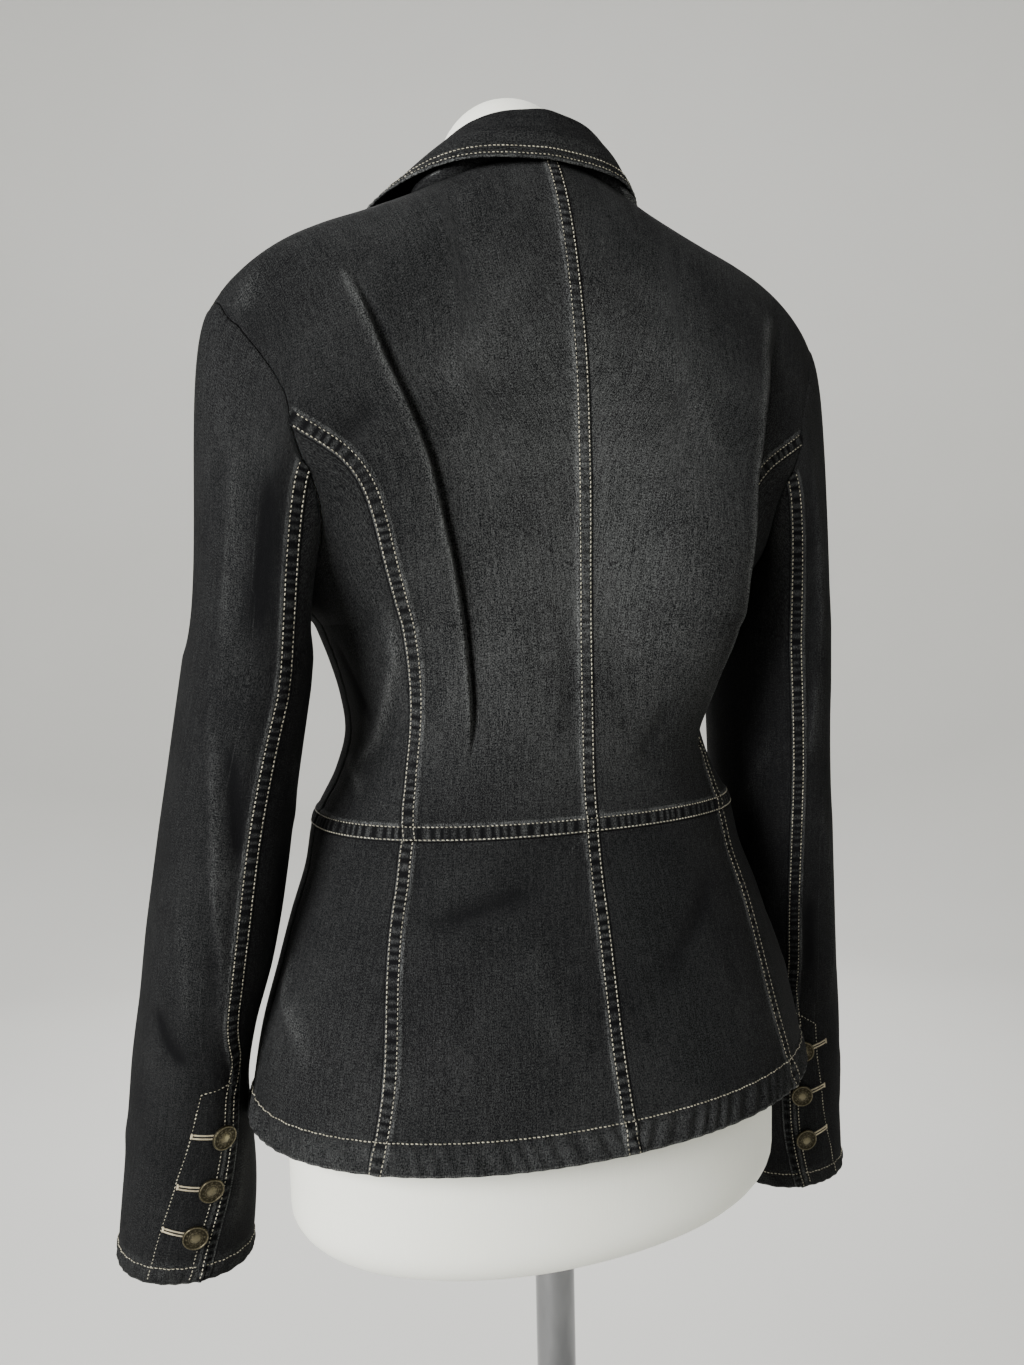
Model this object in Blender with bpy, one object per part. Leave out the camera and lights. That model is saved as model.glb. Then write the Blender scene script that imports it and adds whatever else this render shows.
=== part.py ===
"""Denim blazer on a limbless dress form with a chrome stand.

Metres, +Z up. The floor is z = 0, the pole's axis is x = y = 0, the blazer's front faces -Y and the
wearer's left is +X. The cloth is a thin wall on one torso surface and one tube for each sleeve.
A place on the torso is (turn, rise): turn is the angle round the body, 0 at the centre back and 180
degrees at the centre front, positive on the wearer's left. Up to CHEST, rise is the height. Above it,
rise - CHEST goes from 0 to 1 up and over to the shoulder line.
"""

import math

import bmesh
import bpy
import numpy as np
from mathutils import Vector

# Cloth and sewing
CLOTH = 0.0014
SEAM_GAP = 0.00042
LAYER_GAP = 0.0004
# Points closer than this are one point
WELD = 0.00001
# Step of turn, rise or share over which a surface's slope is read
SLOPE_STEP = 0.0004

# The right front over the left one: its lift, and where the lift starts and how wide its ramp is
OVERLAP_LIFT = 0.0024
OVERLAP_START = 0.066
OVERLAP_RAMP = 0.030

# Heights of the blazer above the floor
HEM = 0.846
WAIST = 1.044
CHEST = 1.175
TOP = CHEST + 1.0
BREAK_HEIGHT = 1.232
NECK_POINT_ACROSS = 0.080
SHOULDER_TIP_ACROSS = 0.2185

# The figure's middle plane lies in front of the pole
BODY_Y = -0.028
BACK_ROUNDING = 3.0
FRONT_ROUNDING = 2.1

BODY_RINGS = (
    # height, half_width, centre, back, front, squareness
    (0.700, 0.238, 0.010, 0.168, 0.150, 2.05),
    (0.846, 0.2075, 0.006, 0.143, 0.128, 2.1),
    (0.910, 0.1945, 0.004, 0.125, 0.123, 2.2),
    (0.945, 0.1835, 0.002, 0.119, 0.117, 2.2),
    (0.980, 0.1725, 0.000, 0.113, 0.112, 2.2),
    (1.010, 0.1615, -0.003, 0.108, 0.106, 2.2),
    (1.044, 0.1530, -0.006, 0.105, 0.102, 2.25),
    (1.075, 0.1355, -0.008, 0.1035, 0.099, 2.3),
    (1.100, 0.1275, -0.008, 0.103, 0.101, 2.35),
    (1.125, 0.1295, -0.008, 0.103, 0.106, 2.4),
    (1.150, 0.1360, -0.008, 0.103, 0.1125, 2.45),
    (1.175, 0.1450, -0.008, 0.103, 0.1185, 2.5),
)
UPPER_RINGS = (
    # climb, half_width, centre, back, front, squareness
    (0.00, 0.145, -0.008, 0.103, 0.1185, 2.5),
    (0.12, 0.170, -0.008, 0.104, 0.1235, 2.7),
    (0.33, 0.202, -0.008, 0.106, 0.1195, 3.2),
    (0.50, 0.224, -0.008, 0.107, 0.110, 3.6),
    (0.75, 0.232, -0.008, 0.104, 0.096, 3.3),
    (1.00, 0.238, -0.008, 0.100, 0.090, 3.0),
)
SHOULDER_LINE = (
    # across, height, depth
    (0.000, 1.495, 0.012),
    (0.040, 1.479, 0.014),
    (0.080, 1.457, 0.018),
    (0.120, 1.439, 0.021),
    (0.150, 1.427, 0.023),
    (0.170, 1.417, 0.025),
    (0.185, 1.407, 0.027),
    (0.200, 1.394, 0.029),
    (0.210, 1.383, 0.030),
    (0.218, 1.371, 0.031),
    (0.226, 1.357, 0.032),
)

# Seams and edges on the left half, as distance across from the middle at a height
BACK_PRINCESS = (
    # height, across
    (0.846, 0.1530),
    (0.900, 0.1400),
    (0.960, 0.1318),
    (1.000, 0.1235),
    (1.044, 0.1140),
    (1.071, 0.1097),
    (1.098, 0.1053),
    (1.125, 0.1044),
    (1.153, 0.1068),
    (1.175, 0.1105),
    (1.199, 0.1189),
    (1.2226, 0.1262),
    (1.243, 0.1321),
    (1.266, 0.1420),
    (1.279, 0.1530),
    (1.288, 0.1655),
    (1.299, 0.1825),
)
ARMHOLE_BACK = (
    # height, across: from the princess seam up to the shoulder
    (1.2990, 0.1825),
    (1.3120, 0.1845),
    (1.3240, 0.1890),
    (1.3380, 0.1962),
    (1.3550, 0.2062),
    (1.3640, 0.2125),
)
ARMHOLE_LOW_BACK = (
    # height, across: from the princess seam down
    (1.2990, 0.1825),
    (1.2880, 0.1805),
    (1.2770, 0.1765),
    (1.2660, 0.1710),
    (1.2550, 0.1665),
    (1.2420, 0.1635),
    (1.2300, 0.1625),
)
UNDERARM = (
    # share, height: 0 at the back's low end, 1 at the side seam, 2 at the front's low end
    (0.35, 1.2080),
    (0.65, 1.1930),
    (1.00, 1.1850),
    (1.35, 1.1900),
    (1.70, 1.2040),
)
ARMHOLE_LOW_FRONT = (
    # height, across: up to the front princess seam
    (1.2230, 0.1610),
    (1.2400, 0.1610),
    (1.2620, 0.1635),
    (1.2850, 0.1690),
)
FRONT_PRINCESS = (
    # height, across
    (0.846, 0.1480),
    (0.900, 0.1360),
    (0.960, 0.1220),
    (1.000, 0.1120),
    (1.044, 0.1000),
    (1.100, 0.0900),
    (1.150, 0.0950),
    (1.190, 0.1040),
    (1.225, 0.1180),
    (1.255, 0.1380),
    (1.275, 0.1570),
    (1.285, 0.1690),
)
ARMHOLE_FRONT = (
    # height, across
    (1.2850, 0.1690),
    (1.3000, 0.1730),
    (1.3200, 0.1835),
    (1.3450, 0.2000),
    (1.3600, 0.2110),
)
FRONT_EDGE = (
    # height, across (negative is past the middle)
    (0.846, 0.0620),
    (0.870, 0.0480),
    (0.920, 0.0250),
    (0.980, 0.0030),
    (1.044, -0.0150),
    (1.120, -0.0160),
    (1.210, -0.0160),
    (1.232, -0.0140),
)
ROLL_LINE = (
    # height, across
    (1.232, -0.0140),
    (1.290, 0.0130),
    (1.350, 0.0380),
    (1.405, 0.0590),
    (1.436, 0.0710),
    (1.457, 0.0800),
)
BACK_NECKLINE = (
    # across, height
    (0.000, 1.4850),
    (0.020, 1.4820),
    (0.040, 1.4735),
    (0.058, 1.4655),
    (0.072, 1.4595),
)
LAPEL_EDGE = (
    # height, across
    (1.262, 0.0360),
    (1.300, 0.0790),
    (1.335, 0.1060),
    (1.354, 0.1170),
)
LAPEL_START = {
    # side: (height, across) at the roll line and at the edge; the left one starts above the right front
    1: ((1.2720, 0.0045), (1.2520, 0.0170)),
    -1: ((1.2395, -0.0095), (1.2400, -0.0060)),
}
# Room between the lapel's start and the roll line's next row
LAPEL_START_ROOM = 0.005
GORGE = (
    # height, across; from the roll line to the lapel's tip
    (1.398, 0.0620),
    (1.381, 0.0910),
    (1.354, 0.1170),
)
LAPEL_PUFF = 0.0022

# The two deep folds of the back, along their crests
FOLD_LEFT = (
    # height, across
    (1.400, 0.1500),
    (1.368, 0.1370),
    (1.336, 0.1275),
    (1.309, 0.1165),
    (1.278, 0.1045),
    (1.244, 0.0955),
    (1.209, 0.0870),
    (1.174, 0.0800),
    (1.141, 0.0768),
    (1.100, 0.0760),
)
FOLD_RIGHT = (
    # height, across
    (1.410, 0.1680),
    (1.370, 0.1610),
    (1.310, 0.1540),
    (1.240, 0.1490),
    (1.205, 0.1480),
    (1.165, 0.1400),
    (1.137, 0.1290),
    (1.100, 0.1150),
    (1.080, 0.1080),
)
FOLD_RANGE = (1.085, 1.135, 1.330, 1.405)
# Of each fold, in metres: crest height, trough depth, steep side, far slope, near slope
FOLD_LEFT_FORM = (0.0044, 0.0044, 0.0070, 0.0420, 0.0320)
FOLD_RIGHT_FORM = (0.0078, 0.0062, 0.0110, 0.0340, 0.0520)
# Metres across a fold for each radian of turn, and where across the back its range is measured
FOLD_REACH = 0.12
FOLD_ACROSS = 0.12
CENTRE_BACK_HEIGHTS = (WAIST, 1.09, 1.13, CHEST, 1.23, 1.29, 1.35, 1.40, 1.44, 1.47, 1.485)

SLEEVE_RINGS = (
    # height, centre_x, half_width, half_depth, squareness
    (1.158, 0.1995, 0.0385, 0.0600, 2.2),
    (1.080, 0.2095, 0.0398, 0.0580, 2.2),
    (1.030, 0.2160, 0.0412, 0.0560, 2.2),
    (0.975, 0.2234, 0.0409, 0.0540, 2.2),
    (0.920, 0.2318, 0.0375, 0.0520, 2.2),
    (0.875, 0.2370, 0.0385, 0.0500, 2.2),
    (0.850, 0.2375, 0.0405, 0.0490, 2.2),
    (0.800, 0.2383, 0.0447, 0.0460, 2.1),
    (0.742, 0.2430, 0.0460, 0.0430, 2.1),
)
SLEEVE_SWING = {
    # side: (cuff drop, (height, centre_y, shift_x) rows)
    1: (0.004, ((1.158, 0.012, 0.0), (1.080, -0.006, 0.0), (1.000, -0.020, 0.0), (0.900, -0.042, 0.0015),
                (0.742, -0.064, 0.0010))),
    -1: (0.034, ((1.158, 0.012, -0.0040), (1.080, -0.002, -0.0030), (0.975, -0.019, 0.0000),
                 (0.900, -0.031, 0.0055), (0.742, -0.042, 0.0085))),
}
BACK_SLEEVE_SEAM = {
    # side: (height, angle round the sleeve from its outer side towards the back) rows
    1: ((1.158, 106.0), (1.120, 101.0), (1.070, 98.5), (1.010, 99.0), (0.970, 101.0), (0.935, 107.0),
        (0.895, 124.0), (0.860, 124.0), (0.822, 115.0), (0.780, 102.0), (0.742, 94.0)),
    -1: ((1.158, 110.0), (1.120, 108.0), (1.070, 107.0), (1.010, 110.0), (0.970, 114.0), (0.935, 119.0),
         (0.895, 126.0), (0.860, 127.0), (0.822, 124.0), (0.780, 118.0), (0.742, 109.0)),
}
FRONT_SLEEVE_SEAM = 238.0
CAP_OUT = 0.58
CAP_OUT_POWER = 0.5
CAP_CLEAR = 0.0004
CAP_START = 0.45
CAP_END = 0.8
# Steps of column and share over which the sleeve's slope is read, and of height over which its axis is
SLEEVE_SLOPE_STEPS = (0.01, 0.002)
SLEEVE_AXIS_STEP = 0.01

COLLAR_STATIONS = (
    # share, fold_x, fold_y, fold_z, edge_x, edge_y, edge_z
    (0.00, 0.000, 0.0490, 1.507, 0.000, 0.0620, 1.4735),
    (0.16, 0.024, 0.0450, 1.504, 0.034, 0.0580, 1.4725),
    (0.32, 0.042, 0.0340, 1.498, 0.064, 0.0480, 1.4690),
    (0.46, 0.050, 0.0150, 1.490, 0.085, 0.0240, 1.4640),
    (0.60, 0.055, -0.0100, 1.474, 0.101, -0.0060, 1.4550),
    (0.75, 0.059, -0.0340, 1.450, 0.113, -0.0340, 1.4350),
    (0.88, 0.061, -0.0500, 1.426, 0.117, -0.0520, 1.4110),
    (1.00, 0.062, -0.0640, 1.404, 0.111, -0.0680, 1.3800),
)
COLLAR_SHIFT = 0.003
# The fold's two rounding points beyond the stand's top: (outward, up)
COLLAR_FOLD = ((0.0008, 0.0018), (0.0058, 0.0012))
COLLAR_BELLY = 0.0025
STAND_SHARES = (0.0, 0.5, 1.0)
FALL_SHARES = (0.25, 0.5, 0.75, 1.0)
# Share of the collar's half length that sits on the back neckline, and share of the roll line under the rest
COLLAR_TURNOVER = 0.44
COLLAR_ON_ROLL = 0.40
COLLAR_CLEARANCE = 0.0022
COLLAR_SEAM_LIFT = 0.0020
# Seating the collar's fall: counts of torso samples round and up, passes, and smoothing passes of the moves
SEAT_TURNS = 240
SEAT_RISES = 160
SEAT_PASSES = 2
SEAT_SMOOTHING = 12

BUTTON_RADIUS = 0.0087
BUTTON_HEIGHT = 0.0032
BUTTON_SIDES = 16
BUTTON_SMOOTH_DEGREES = 30.0
BUTTON_PROFILE = (
    # share of the radius, height
    (0.0, 0.0),
    (0.86, 0.0),
    (1.0, 0.0009),
    (1.0, 0.0019),
    (0.80, BUTTON_HEIGHT),
    (0.0, BUTTON_HEIGHT * 0.92),
)
BUTTON_CLEAR = 0.0008
FRONT_BUTTON_CLEAR = 0.0005
CUFF_BUTTONS = {
    # side: (height, angle round the sleeve) rows
    1: ((0.850, 110.0), (0.813, 97.5), (0.780, 86.0)),
    -1: ((0.857, 112.0), (0.821, 110.0), (0.785, 104.0)),
}
FRONT_BUTTON_HEIGHTS = (1.215, 1.132, 1.050)
FRONT_BUTTON_ACROSS = 0.0004

# Dress form: how far its skin lies inside the cloth's outer face, by height
FORM_EASE = (
    # height, inset
    (0.757, 0.044),
    (0.846, 0.026),
    (0.910, 0.019),
    (0.980, 0.012),
    (1.044, 0.010),
    (1.100, 0.014),
    (1.250, 0.017),
    (1.340, 0.0135),
    (1.400, 0.0085),
    (1.430, 0.0070),
    (1.500, 0.0065),
)
FORM_TOP_CLEAR = 0.0034
FORM_BOTTOM = 0.757
FORM_BOTTOM_ROUND = 0.028
FORM_ARM_PLATE = 0.184
FORM_BOTTOM_STEPS = 4
FORM_BOTTOM_REACH = 0.15
FORM_SQUARENESS = 2.6
# Nearest that a section's climb comes to the shoulder line, largest share of the depth taken by the inset,
# and step by which the half-width is drawn in
FORM_TOP_SHARE = 0.9995
FORM_INSET_SHARE = 0.8
FORM_REACH_STEP = 0.0005
FORM_HEIGHTS = (0.81, 0.85, 0.89, 0.93, 0.97, 1.01, 1.05, 1.09, 1.13, CHEST, 1.195, 1.22, 1.25, 1.29,
                1.325, 1.355, 1.38, 1.40, 1.415, 1.43, 1.442, 1.4525)
NECK_RADIUS_X = 0.0480
NECK_RADIUS_Y = 0.0470
NECK_X = 0.006
NECK_Y = -0.002
NECK_ROWS = (
    # height, share of the neck's radius
    (1.460, 0.975),
    (1.470, 0.945),
    (1.490, 0.945),
    (1.502, 0.934),
    (1.512, 0.823),
    (1.520, 0.676),
    (1.526, 0.505),
    (1.530, 0.320),
    (1.5322, 0.110),
)

# Stand
POLE_RADIUS = 0.014
BASE_RADIUS = 0.170
BASE_EDGE = 0.006
BASE_HEIGHT = 0.016
HUB_RADIUS = 0.032
HUB_HEIGHT = 0.036
BASE_PROFILE = (
    # radius, height
    (0.0, 0.0),
    (BASE_RADIUS, 0.0),
    (BASE_RADIUS, BASE_EDGE),
    (BASE_RADIUS - 0.010, BASE_EDGE + 0.004),
    (HUB_RADIUS + 0.006, BASE_HEIGHT),
    (HUB_RADIUS, BASE_HEIGHT + 0.006),
    (HUB_RADIUS - 0.003, HUB_HEIGHT),
    (0.0, HUB_HEIGHT),
)

# Grid counts; the armhole's four parts have the same count on the panels and on the sleeve
LOW_ROWS = 12
BREAK_ROW = 8
ARMHOLE_STEPS = 6
PEPLUM_ROWS = 6
EDGE_REACH = 3
NECK_COLUMNS = 4
BACK_SHARES = (0.0, 0.14, 0.28, 0.42, 0.54, 0.62, 0.69, 0.76, 0.84, 0.92, 1.0)
SHOULDER_SHARES = BACK_SHARES[:NECK_COLUMNS - 1:-1]
FRONT_SHARES = tuple((1 - share) / (1 - BACK_SHARES[NECK_COLUMNS]) for share in SHOULDER_SHARES)
SLEEVE_CAP_ROWS = 8
SLEEVE_ROWS = 14
COLLAR_COLUMNS = 26
LAPEL_ROWS = 12
LAPEL_COLUMNS = 5
FORM_SIDES = 28
FORM_SMOOTH_DEGREES = 60.0
POLE_SIDES = 32
BASE_SIDES = 40

# Columns of the sleeve where its back and front seams start, counted round the armhole from the shoulder
BACK_SEAM_COLUMN = 7
FRONT_SEAM_COLUMN = 16


def smooth_table(rows):
    """Return a function that reads a table's later columns smoothly at a value of its first."""
    rows = np.array(rows, float)
    rows = rows[np.argsort(rows[:, 0])]
    keys, values = rows[:, 0], rows[:, 1:]
    steps = np.diff(keys)[:, None]
    slopes = np.diff(values, axis=0) / steps
    tangents = np.empty_like(values)
    tangents[0], tangents[-1] = slopes[0], slopes[-1]
    tangents[1:-1] = (slopes[:-1] * steps[1:] + slopes[1:] * steps[:-1]) / (steps[1:] + steps[:-1])

    def read(key):
        key = np.clip(np.asarray(key, float), keys[0], keys[-1])
        i = np.clip(np.searchsorted(keys, key, side="right") - 1, 0, len(keys) - 2)
        step = (keys[i + 1] - keys[i])[..., None]
        t = (key[..., None] - keys[i][..., None]) / step
        return ((1 + 2 * t) * (1 - t) ** 2 * values[i] + t * (1 - t) ** 2 * step * tangents[i]
                + t * t * (3 - 2 * t) * values[i + 1] + t * t * (t - 1) * step * tangents[i + 1])

    return read


body_ring = smooth_table(BODY_RINGS)
upper_ring = smooth_table(UPPER_RINGS)
shoulder_line = smooth_table(SHOULDER_LINE)


def ease(value):
    """Smooth step from 0 to 1."""
    value = np.clip(value, 0.0, 1.0)
    return value * value * (3 - 2 * value)


def rounded(angle, squareness):
    """Sine and cosine pushed out to a rounded square of the given exponent."""
    sine, cosine = np.sin(angle), np.cos(angle)
    scale = (np.abs(sine) ** squareness + np.abs(cosine) ** squareness) ** (-1 / squareness)
    return sine * scale, cosine * scale


def rounding(turn):
    """How square the way over the shoulder is, at the back and at the front."""
    back = ease((np.cos(turn) + 0.2) / 0.4)
    return FRONT_ROUNDING + (BACK_ROUNDING - FRONT_ROUNDING) * back


def torso(turn, rise):
    """Point of the torso surface, without folds."""
    turn, rise = np.broadcast_arrays(np.asarray(turn, float), np.asarray(rise, float))
    way_up = np.clip(rise - CHEST, 0, 1)
    climb, shut = rounded(way_up * math.pi / 2, rounding(turn))
    upper = (rise > CHEST)[..., None]
    ring = np.where(upper, upper_ring(climb), body_ring(np.minimum(rise, CHEST)))
    half_width, centre, back, front, squareness = [ring[..., i] for i in range(5)]
    side, along = rounded(turn, squareness)
    x = half_width * side
    y = centre + np.where(along > 0, back, front) * along
    line = shoulder_line(np.abs(x))
    y = np.where(rise > CHEST, line[..., 1] + (y - line[..., 1]) * shut, y)
    z = np.where(rise > CHEST, CHEST + climb * (line[..., 0] - CHEST), rise)
    return np.stack([x, y + BODY_Y, z], -1)


def place(across, height, front=False):
    """(turn, rise) of the torso point at a distance across from the middle and a height."""
    top = float(shoulder_line(abs(across))[0])
    if height <= CHEST:
        rise, ring = height, body_ring(height)
    else:
        rounding_here = FRONT_ROUNDING if front else BACK_ROUNDING
        climb = min((height - CHEST) / (top - CHEST), 1.0)
        shut = max(1 - climb ** rounding_here, 0.0) ** (1 / rounding_here)
        rise = CHEST + math.atan2(climb, shut) / (math.pi / 2)
        ring = upper_ring(climb)
    half_width, squareness = float(ring[0]), float(ring[4])
    share = min(abs(across) / half_width, 1.0)
    turn = math.copysign(math.atan2(share, (1 - share ** squareness) ** (1 / squareness)), across)
    return (math.pi - turn if front else turn), rise


def smooth_normal(surface, turn, rise):
    """Outward unit normal of a surface of (turn, rise)."""
    high = np.minimum(rise + SLOPE_STEP, TOP)
    low = high - 2 * SLOPE_STEP
    round_way = surface(turn + SLOPE_STEP, rise) - surface(turn - SLOPE_STEP, rise)
    up_way = surface(turn, high) - surface(turn, low)
    normal = np.cross(up_way, round_way)
    return normal / np.linalg.norm(normal, axis=-1, keepdims=True)


def fold_path(rows, side):
    """Turn of a fold's line at a rise."""
    return smooth_table([(rise, side * turn) for turn, rise in (place(a, h) for h, a in rows)])


fold_left = fold_path(FOLD_LEFT, 1)
fold_right = fold_path(FOLD_RIGHT, -1)


def fold_fade(rise):
    """Share of a fold's depth at a rise: full in the middle of its length, none past its ends."""
    low_end, low_full, high_full, high_end = [place(FOLD_ACROSS, height)[1] for height in FOLD_RANGE]
    return ease((rise - low_end) / (low_full - low_end)) * ease((high_end - rise) / (high_end - high_full))


def fold_shape(away, form):
    """Height of a fold across its crest line; away is positive on its trough's side."""
    crest, trough, steep, far, near = form
    step = ease(away / steep)
    high = crest * np.where(away < 0, ease(1 + away / near), 1)
    low = trough * ease(1 - np.maximum(away - steep, 0) / far)
    return high * (1 - step) - low * step


def fold_height(turn, rise):
    """How far the cloth lies outside (+) or inside (-) the plain torso surface."""
    left = (fold_left(rise)[..., 0] - turn) * FOLD_REACH
    right = (fold_right(rise)[..., 0] - turn) * FOLD_REACH
    return (fold_shape(left, FOLD_LEFT_FORM) + fold_shape(right, FOLD_RIGHT_FORM)) * fold_fade(rise)


def cloth(turn, rise):
    """Outer face of the bodice and peplum, folds included."""
    turn, rise = np.broadcast_arrays(np.asarray(turn, float), np.asarray(rise, float))
    height = fold_height(turn, rise)
    return torso(turn, rise) + smooth_normal(torso, turn, rise) * height[..., None]


class Curve:
    """Curve of (turn, rise) places, read at a share from 0 to 1."""

    def __init__(self, places, shares=None):
        places = np.array(places, float)
        if shares is None:
            lengths = np.linalg.norm(np.diff(torso(places[:, 0], places[:, 1]), axis=0), axis=1)
            shares = np.concatenate([[0], np.cumsum(lengths)]) / lengths.sum()
        self.read = smooth_table(np.column_stack([shares, places]))

    def __call__(self, share):
        return self.read(np.asarray(share, float))


def joined(first, second, share):
    """One curve made of two that meet, with the meeting point at a share."""

    def read(t):
        t = np.asarray(t, float)
        low = first(np.minimum(t / share, 1))
        high = second(np.clip((t - share) / (1 - share), 0, 1))
        return np.where((t <= share)[..., None], low, high)

    return read


def patch(bottom, top, left, right, rows, columns):
    """Grid of (turn, rise) places between four edge curves; columns is a count or the columns' shares."""
    shares = np.linspace(0, 1, columns + 1) if isinstance(columns, int) else np.array(columns)
    s = shares[None, :, None]
    t = np.linspace(0, 1, rows + 1)[:, None, None]
    low, high = bottom(shares)[None], top(shares)[None]
    near, far = left(t[:, 0, 0])[:, None], right(t[:, 0, 0])[:, None]
    near_line = near[:1] * (1 - t) + near[-1:] * t
    far_line = far[:1] * (1 - t) + far[-1:] * t
    low_line = low[:, :1] * (1 - s) + low[:, -1:] * s
    high_line = high[:, :1] * (1 - s) + high[:, -1:] * s
    return (near * (1 - s) + far * s + (low - low_line) * (1 - t) ** EDGE_REACH
            + (high - high_line) * t ** EDGE_REACH)


def trimmed(points, gaps):
    """Pull a grid's edges in by a distance each, square to the edge: gaps is (bottom, top, left, right)."""
    moved = points.copy()
    every = slice(None)
    edges = ((0, every), (-1, every), (every, 0), (every, -1))
    inners = ((1, every), (-2, every), (every, 1), (every, -2))
    for gap, edge, inner in zip(gaps, edges, inners):
        if not gap:
            continue
        along = np.gradient(points[edge], axis=0)
        along = along / np.maximum(np.linalg.norm(along, axis=-1, keepdims=True), 1e-9)
        way = points[inner] - points[edge]
        way = way - along * (way * along).sum(-1, keepdims=True)
        moved[edge] += way / np.maximum(np.linalg.norm(way, axis=-1, keepdims=True), 1e-9) * gap
    return moved


def material(name, colour, roughness, metallic=0.0):
    """Principled material of one colour."""
    made = bpy.data.materials.new(name)
    made.use_nodes = True
    shader = made.node_tree.nodes["Principled BSDF"]
    shader.inputs["Base Color"].default_value = (*colour, 1.0)
    shader.inputs["Roughness"].default_value = roughness
    shader.inputs["Metallic"].default_value = metallic
    made.diffuse_color = (*colour, 1.0)
    return made


def finish(name, mesh_builder, look, smooth_degrees=40.0):
    """Turn a bmesh into a named object with its material."""
    bmesh.ops.recalc_face_normals(mesh_builder, faces=mesh_builder.faces)
    if mesh_builder.calc_volume(signed=True) < 0:
        bmesh.ops.reverse_faces(mesh_builder, faces=mesh_builder.faces)
    mesh = bpy.data.meshes.new(name)
    mesh_builder.to_mesh(mesh)
    mesh_builder.free()
    mesh.materials.append(look)
    mesh.shade_smooth()
    mesh.set_sharp_from_angle(angle=math.radians(smooth_degrees))
    made = bpy.data.objects.new(name, mesh)
    bpy.context.scene.collection.objects.link(made)
    return made


def wall(name, outer, inner, look):
    """Closed wall between two grids of points, made by extruding a grid's faces."""
    rows, columns = outer.shape[0], outer.shape[1]
    builder = bmesh.new()
    bmesh.ops.create_grid(builder, x_segments=columns - 1, y_segments=rows - 1, size=1.0)
    number = builder.verts.layers.int.new("number")
    ordered = sorted(builder.verts, key=lambda v: (round(v.co.y, 5), round(v.co.x, 5)))
    flat_outer, flat_inner = outer.reshape(-1, 3), inner.reshape(-1, 3)
    for index, vertex in enumerate(ordered):
        vertex[number] = index
    grown = bmesh.ops.extrude_face_region(builder, geom=builder.faces[:], use_keep_orig=True)
    extruded = {item for item in grown["geom"] if isinstance(item, bmesh.types.BMVert)}
    for vertex in builder.verts:
        points = flat_inner if vertex in extruded else flat_outer
        vertex.co = Vector(points[vertex[number]])
    bmesh.ops.triangulate(builder, faces=builder.faces, quad_method="BEAUTY")
    return finish(name, builder, look)


def torso_wall(name, places, gaps, look, lift=None):
    """Cloth panel on the torso: its outer face at the places, its wall towards the body."""
    turn, rise = places[..., 0], places[..., 1]
    rise = np.minimum(rise, TOP)
    normal = smooth_normal(cloth, turn, rise)
    outer = cloth(turn, rise)
    if lift is not None:
        outer = outer + normal * lift[..., None]
    outer = trimmed(outer, gaps)
    return wall(name, outer, outer - normal * CLOTH, look)


def level(start, end, rise):
    """Curve at one rise between two turns."""
    return lambda share: np.stack([start + (end - start) * np.asarray(share, float),
                                   np.full(np.shape(share), rise)], -1)


def seam(rows, low, high, front=False):
    """Seam curve between two heights, from rows of (height, across)."""
    table = smooth_table(rows)
    heights = [low] + [row[0] for row in rows if low < row[0] < high] + [high]
    return Curve([place(float(table(height)[0]), height, front) for height in heights])


def seam_turn(rows, height, front=False):
    """Turn of a seam at a height."""
    return place(float(smooth_table(rows)(height)[0]), height, front)[0]


SIDE_TURN = math.radians(92.0)
BACK_JOIN_HEIGHT = ARMHOLE_BACK[0][0]
FRONT_JOIN_HEIGHT = ARMHOLE_FRONT[0][0]
BACK_TIP = (place(SHOULDER_TIP_ACROSS, 2.0)[0], TOP)
FRONT_TIP = (place(SHOULDER_TIP_ACROSS, 2.0, True)[0], TOP)


def place_at_turn(turn, height, across):
    """Place of the torso at a turn and a height, near a distance across."""
    climb = (height - CHEST) / (float(shoulder_line(across)[0]) - CHEST)
    power = float(rounding(turn))
    return turn, CHEST + math.atan2(climb, (1 - climb ** power) ** (1 / power)) / (math.pi / 2)


def armhole_parts():
    """The armhole as four curves: shoulder to back princess, to side, to front princess, to shoulder."""
    back = [place(across, height) for height, across in ARMHOLE_BACK] + [BACK_TIP]
    front = [place(across, height, True) for height, across in ARMHOLE_FRONT] + [FRONT_TIP]
    low_back = [place(across, height) for height, across in ARMHOLE_LOW_BACK]
    low_front = [place(across, height, True) for height, across in ARMHOLE_LOW_FRONT]
    under = []
    for share, height in UNDERARM:
        turn = float(np.interp(share, (0, 1, 2), (low_back[-1][0], SIDE_TURN, low_front[0][0])))
        under.append(place_at_turn(turn, height, ARMHOLE_LOW_BACK[-1][1]))
    middle = [share for share, _ in UNDERARM].index(1.0)
    low_back_curve = Curve(low_back + under[:middle + 1])
    low_front_curve = Curve(under[middle:] + low_front)
    return Curve(back[::-1]), low_back_curve, low_front_curve, Curve(front)


ARMHOLE_PARTS = armhole_parts()
NECK_POINT = place(NECK_POINT_ACROSS, 2.0)
NECK_POINT_FRONT = (place(NECK_POINT_ACROSS, 2.0, True)[0], TOP)


def backwards(curve):
    """The same curve, read from its other end."""
    return lambda share: curve(1 - np.asarray(share, float))


def back_top():
    """Top edge of the back: neckline, then the shoulder seam."""
    neck = Curve([place(a, h) for a, h in BACK_NECKLINE] + [(NECK_POINT[0], TOP)])
    shoulder = level(NECK_POINT[0], BACK_TIP[0], TOP)
    return neck, joined(neck, shoulder, BACK_SHARES[NECK_COLUMNS])


BACK_NECK_CURVE, BACK_TOP_CURVE = back_top()


def mirrored(places, side):
    """Places on the wearer's left (1) or right (-1)."""
    places = places.copy()
    places[..., 0] *= side
    return places


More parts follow.
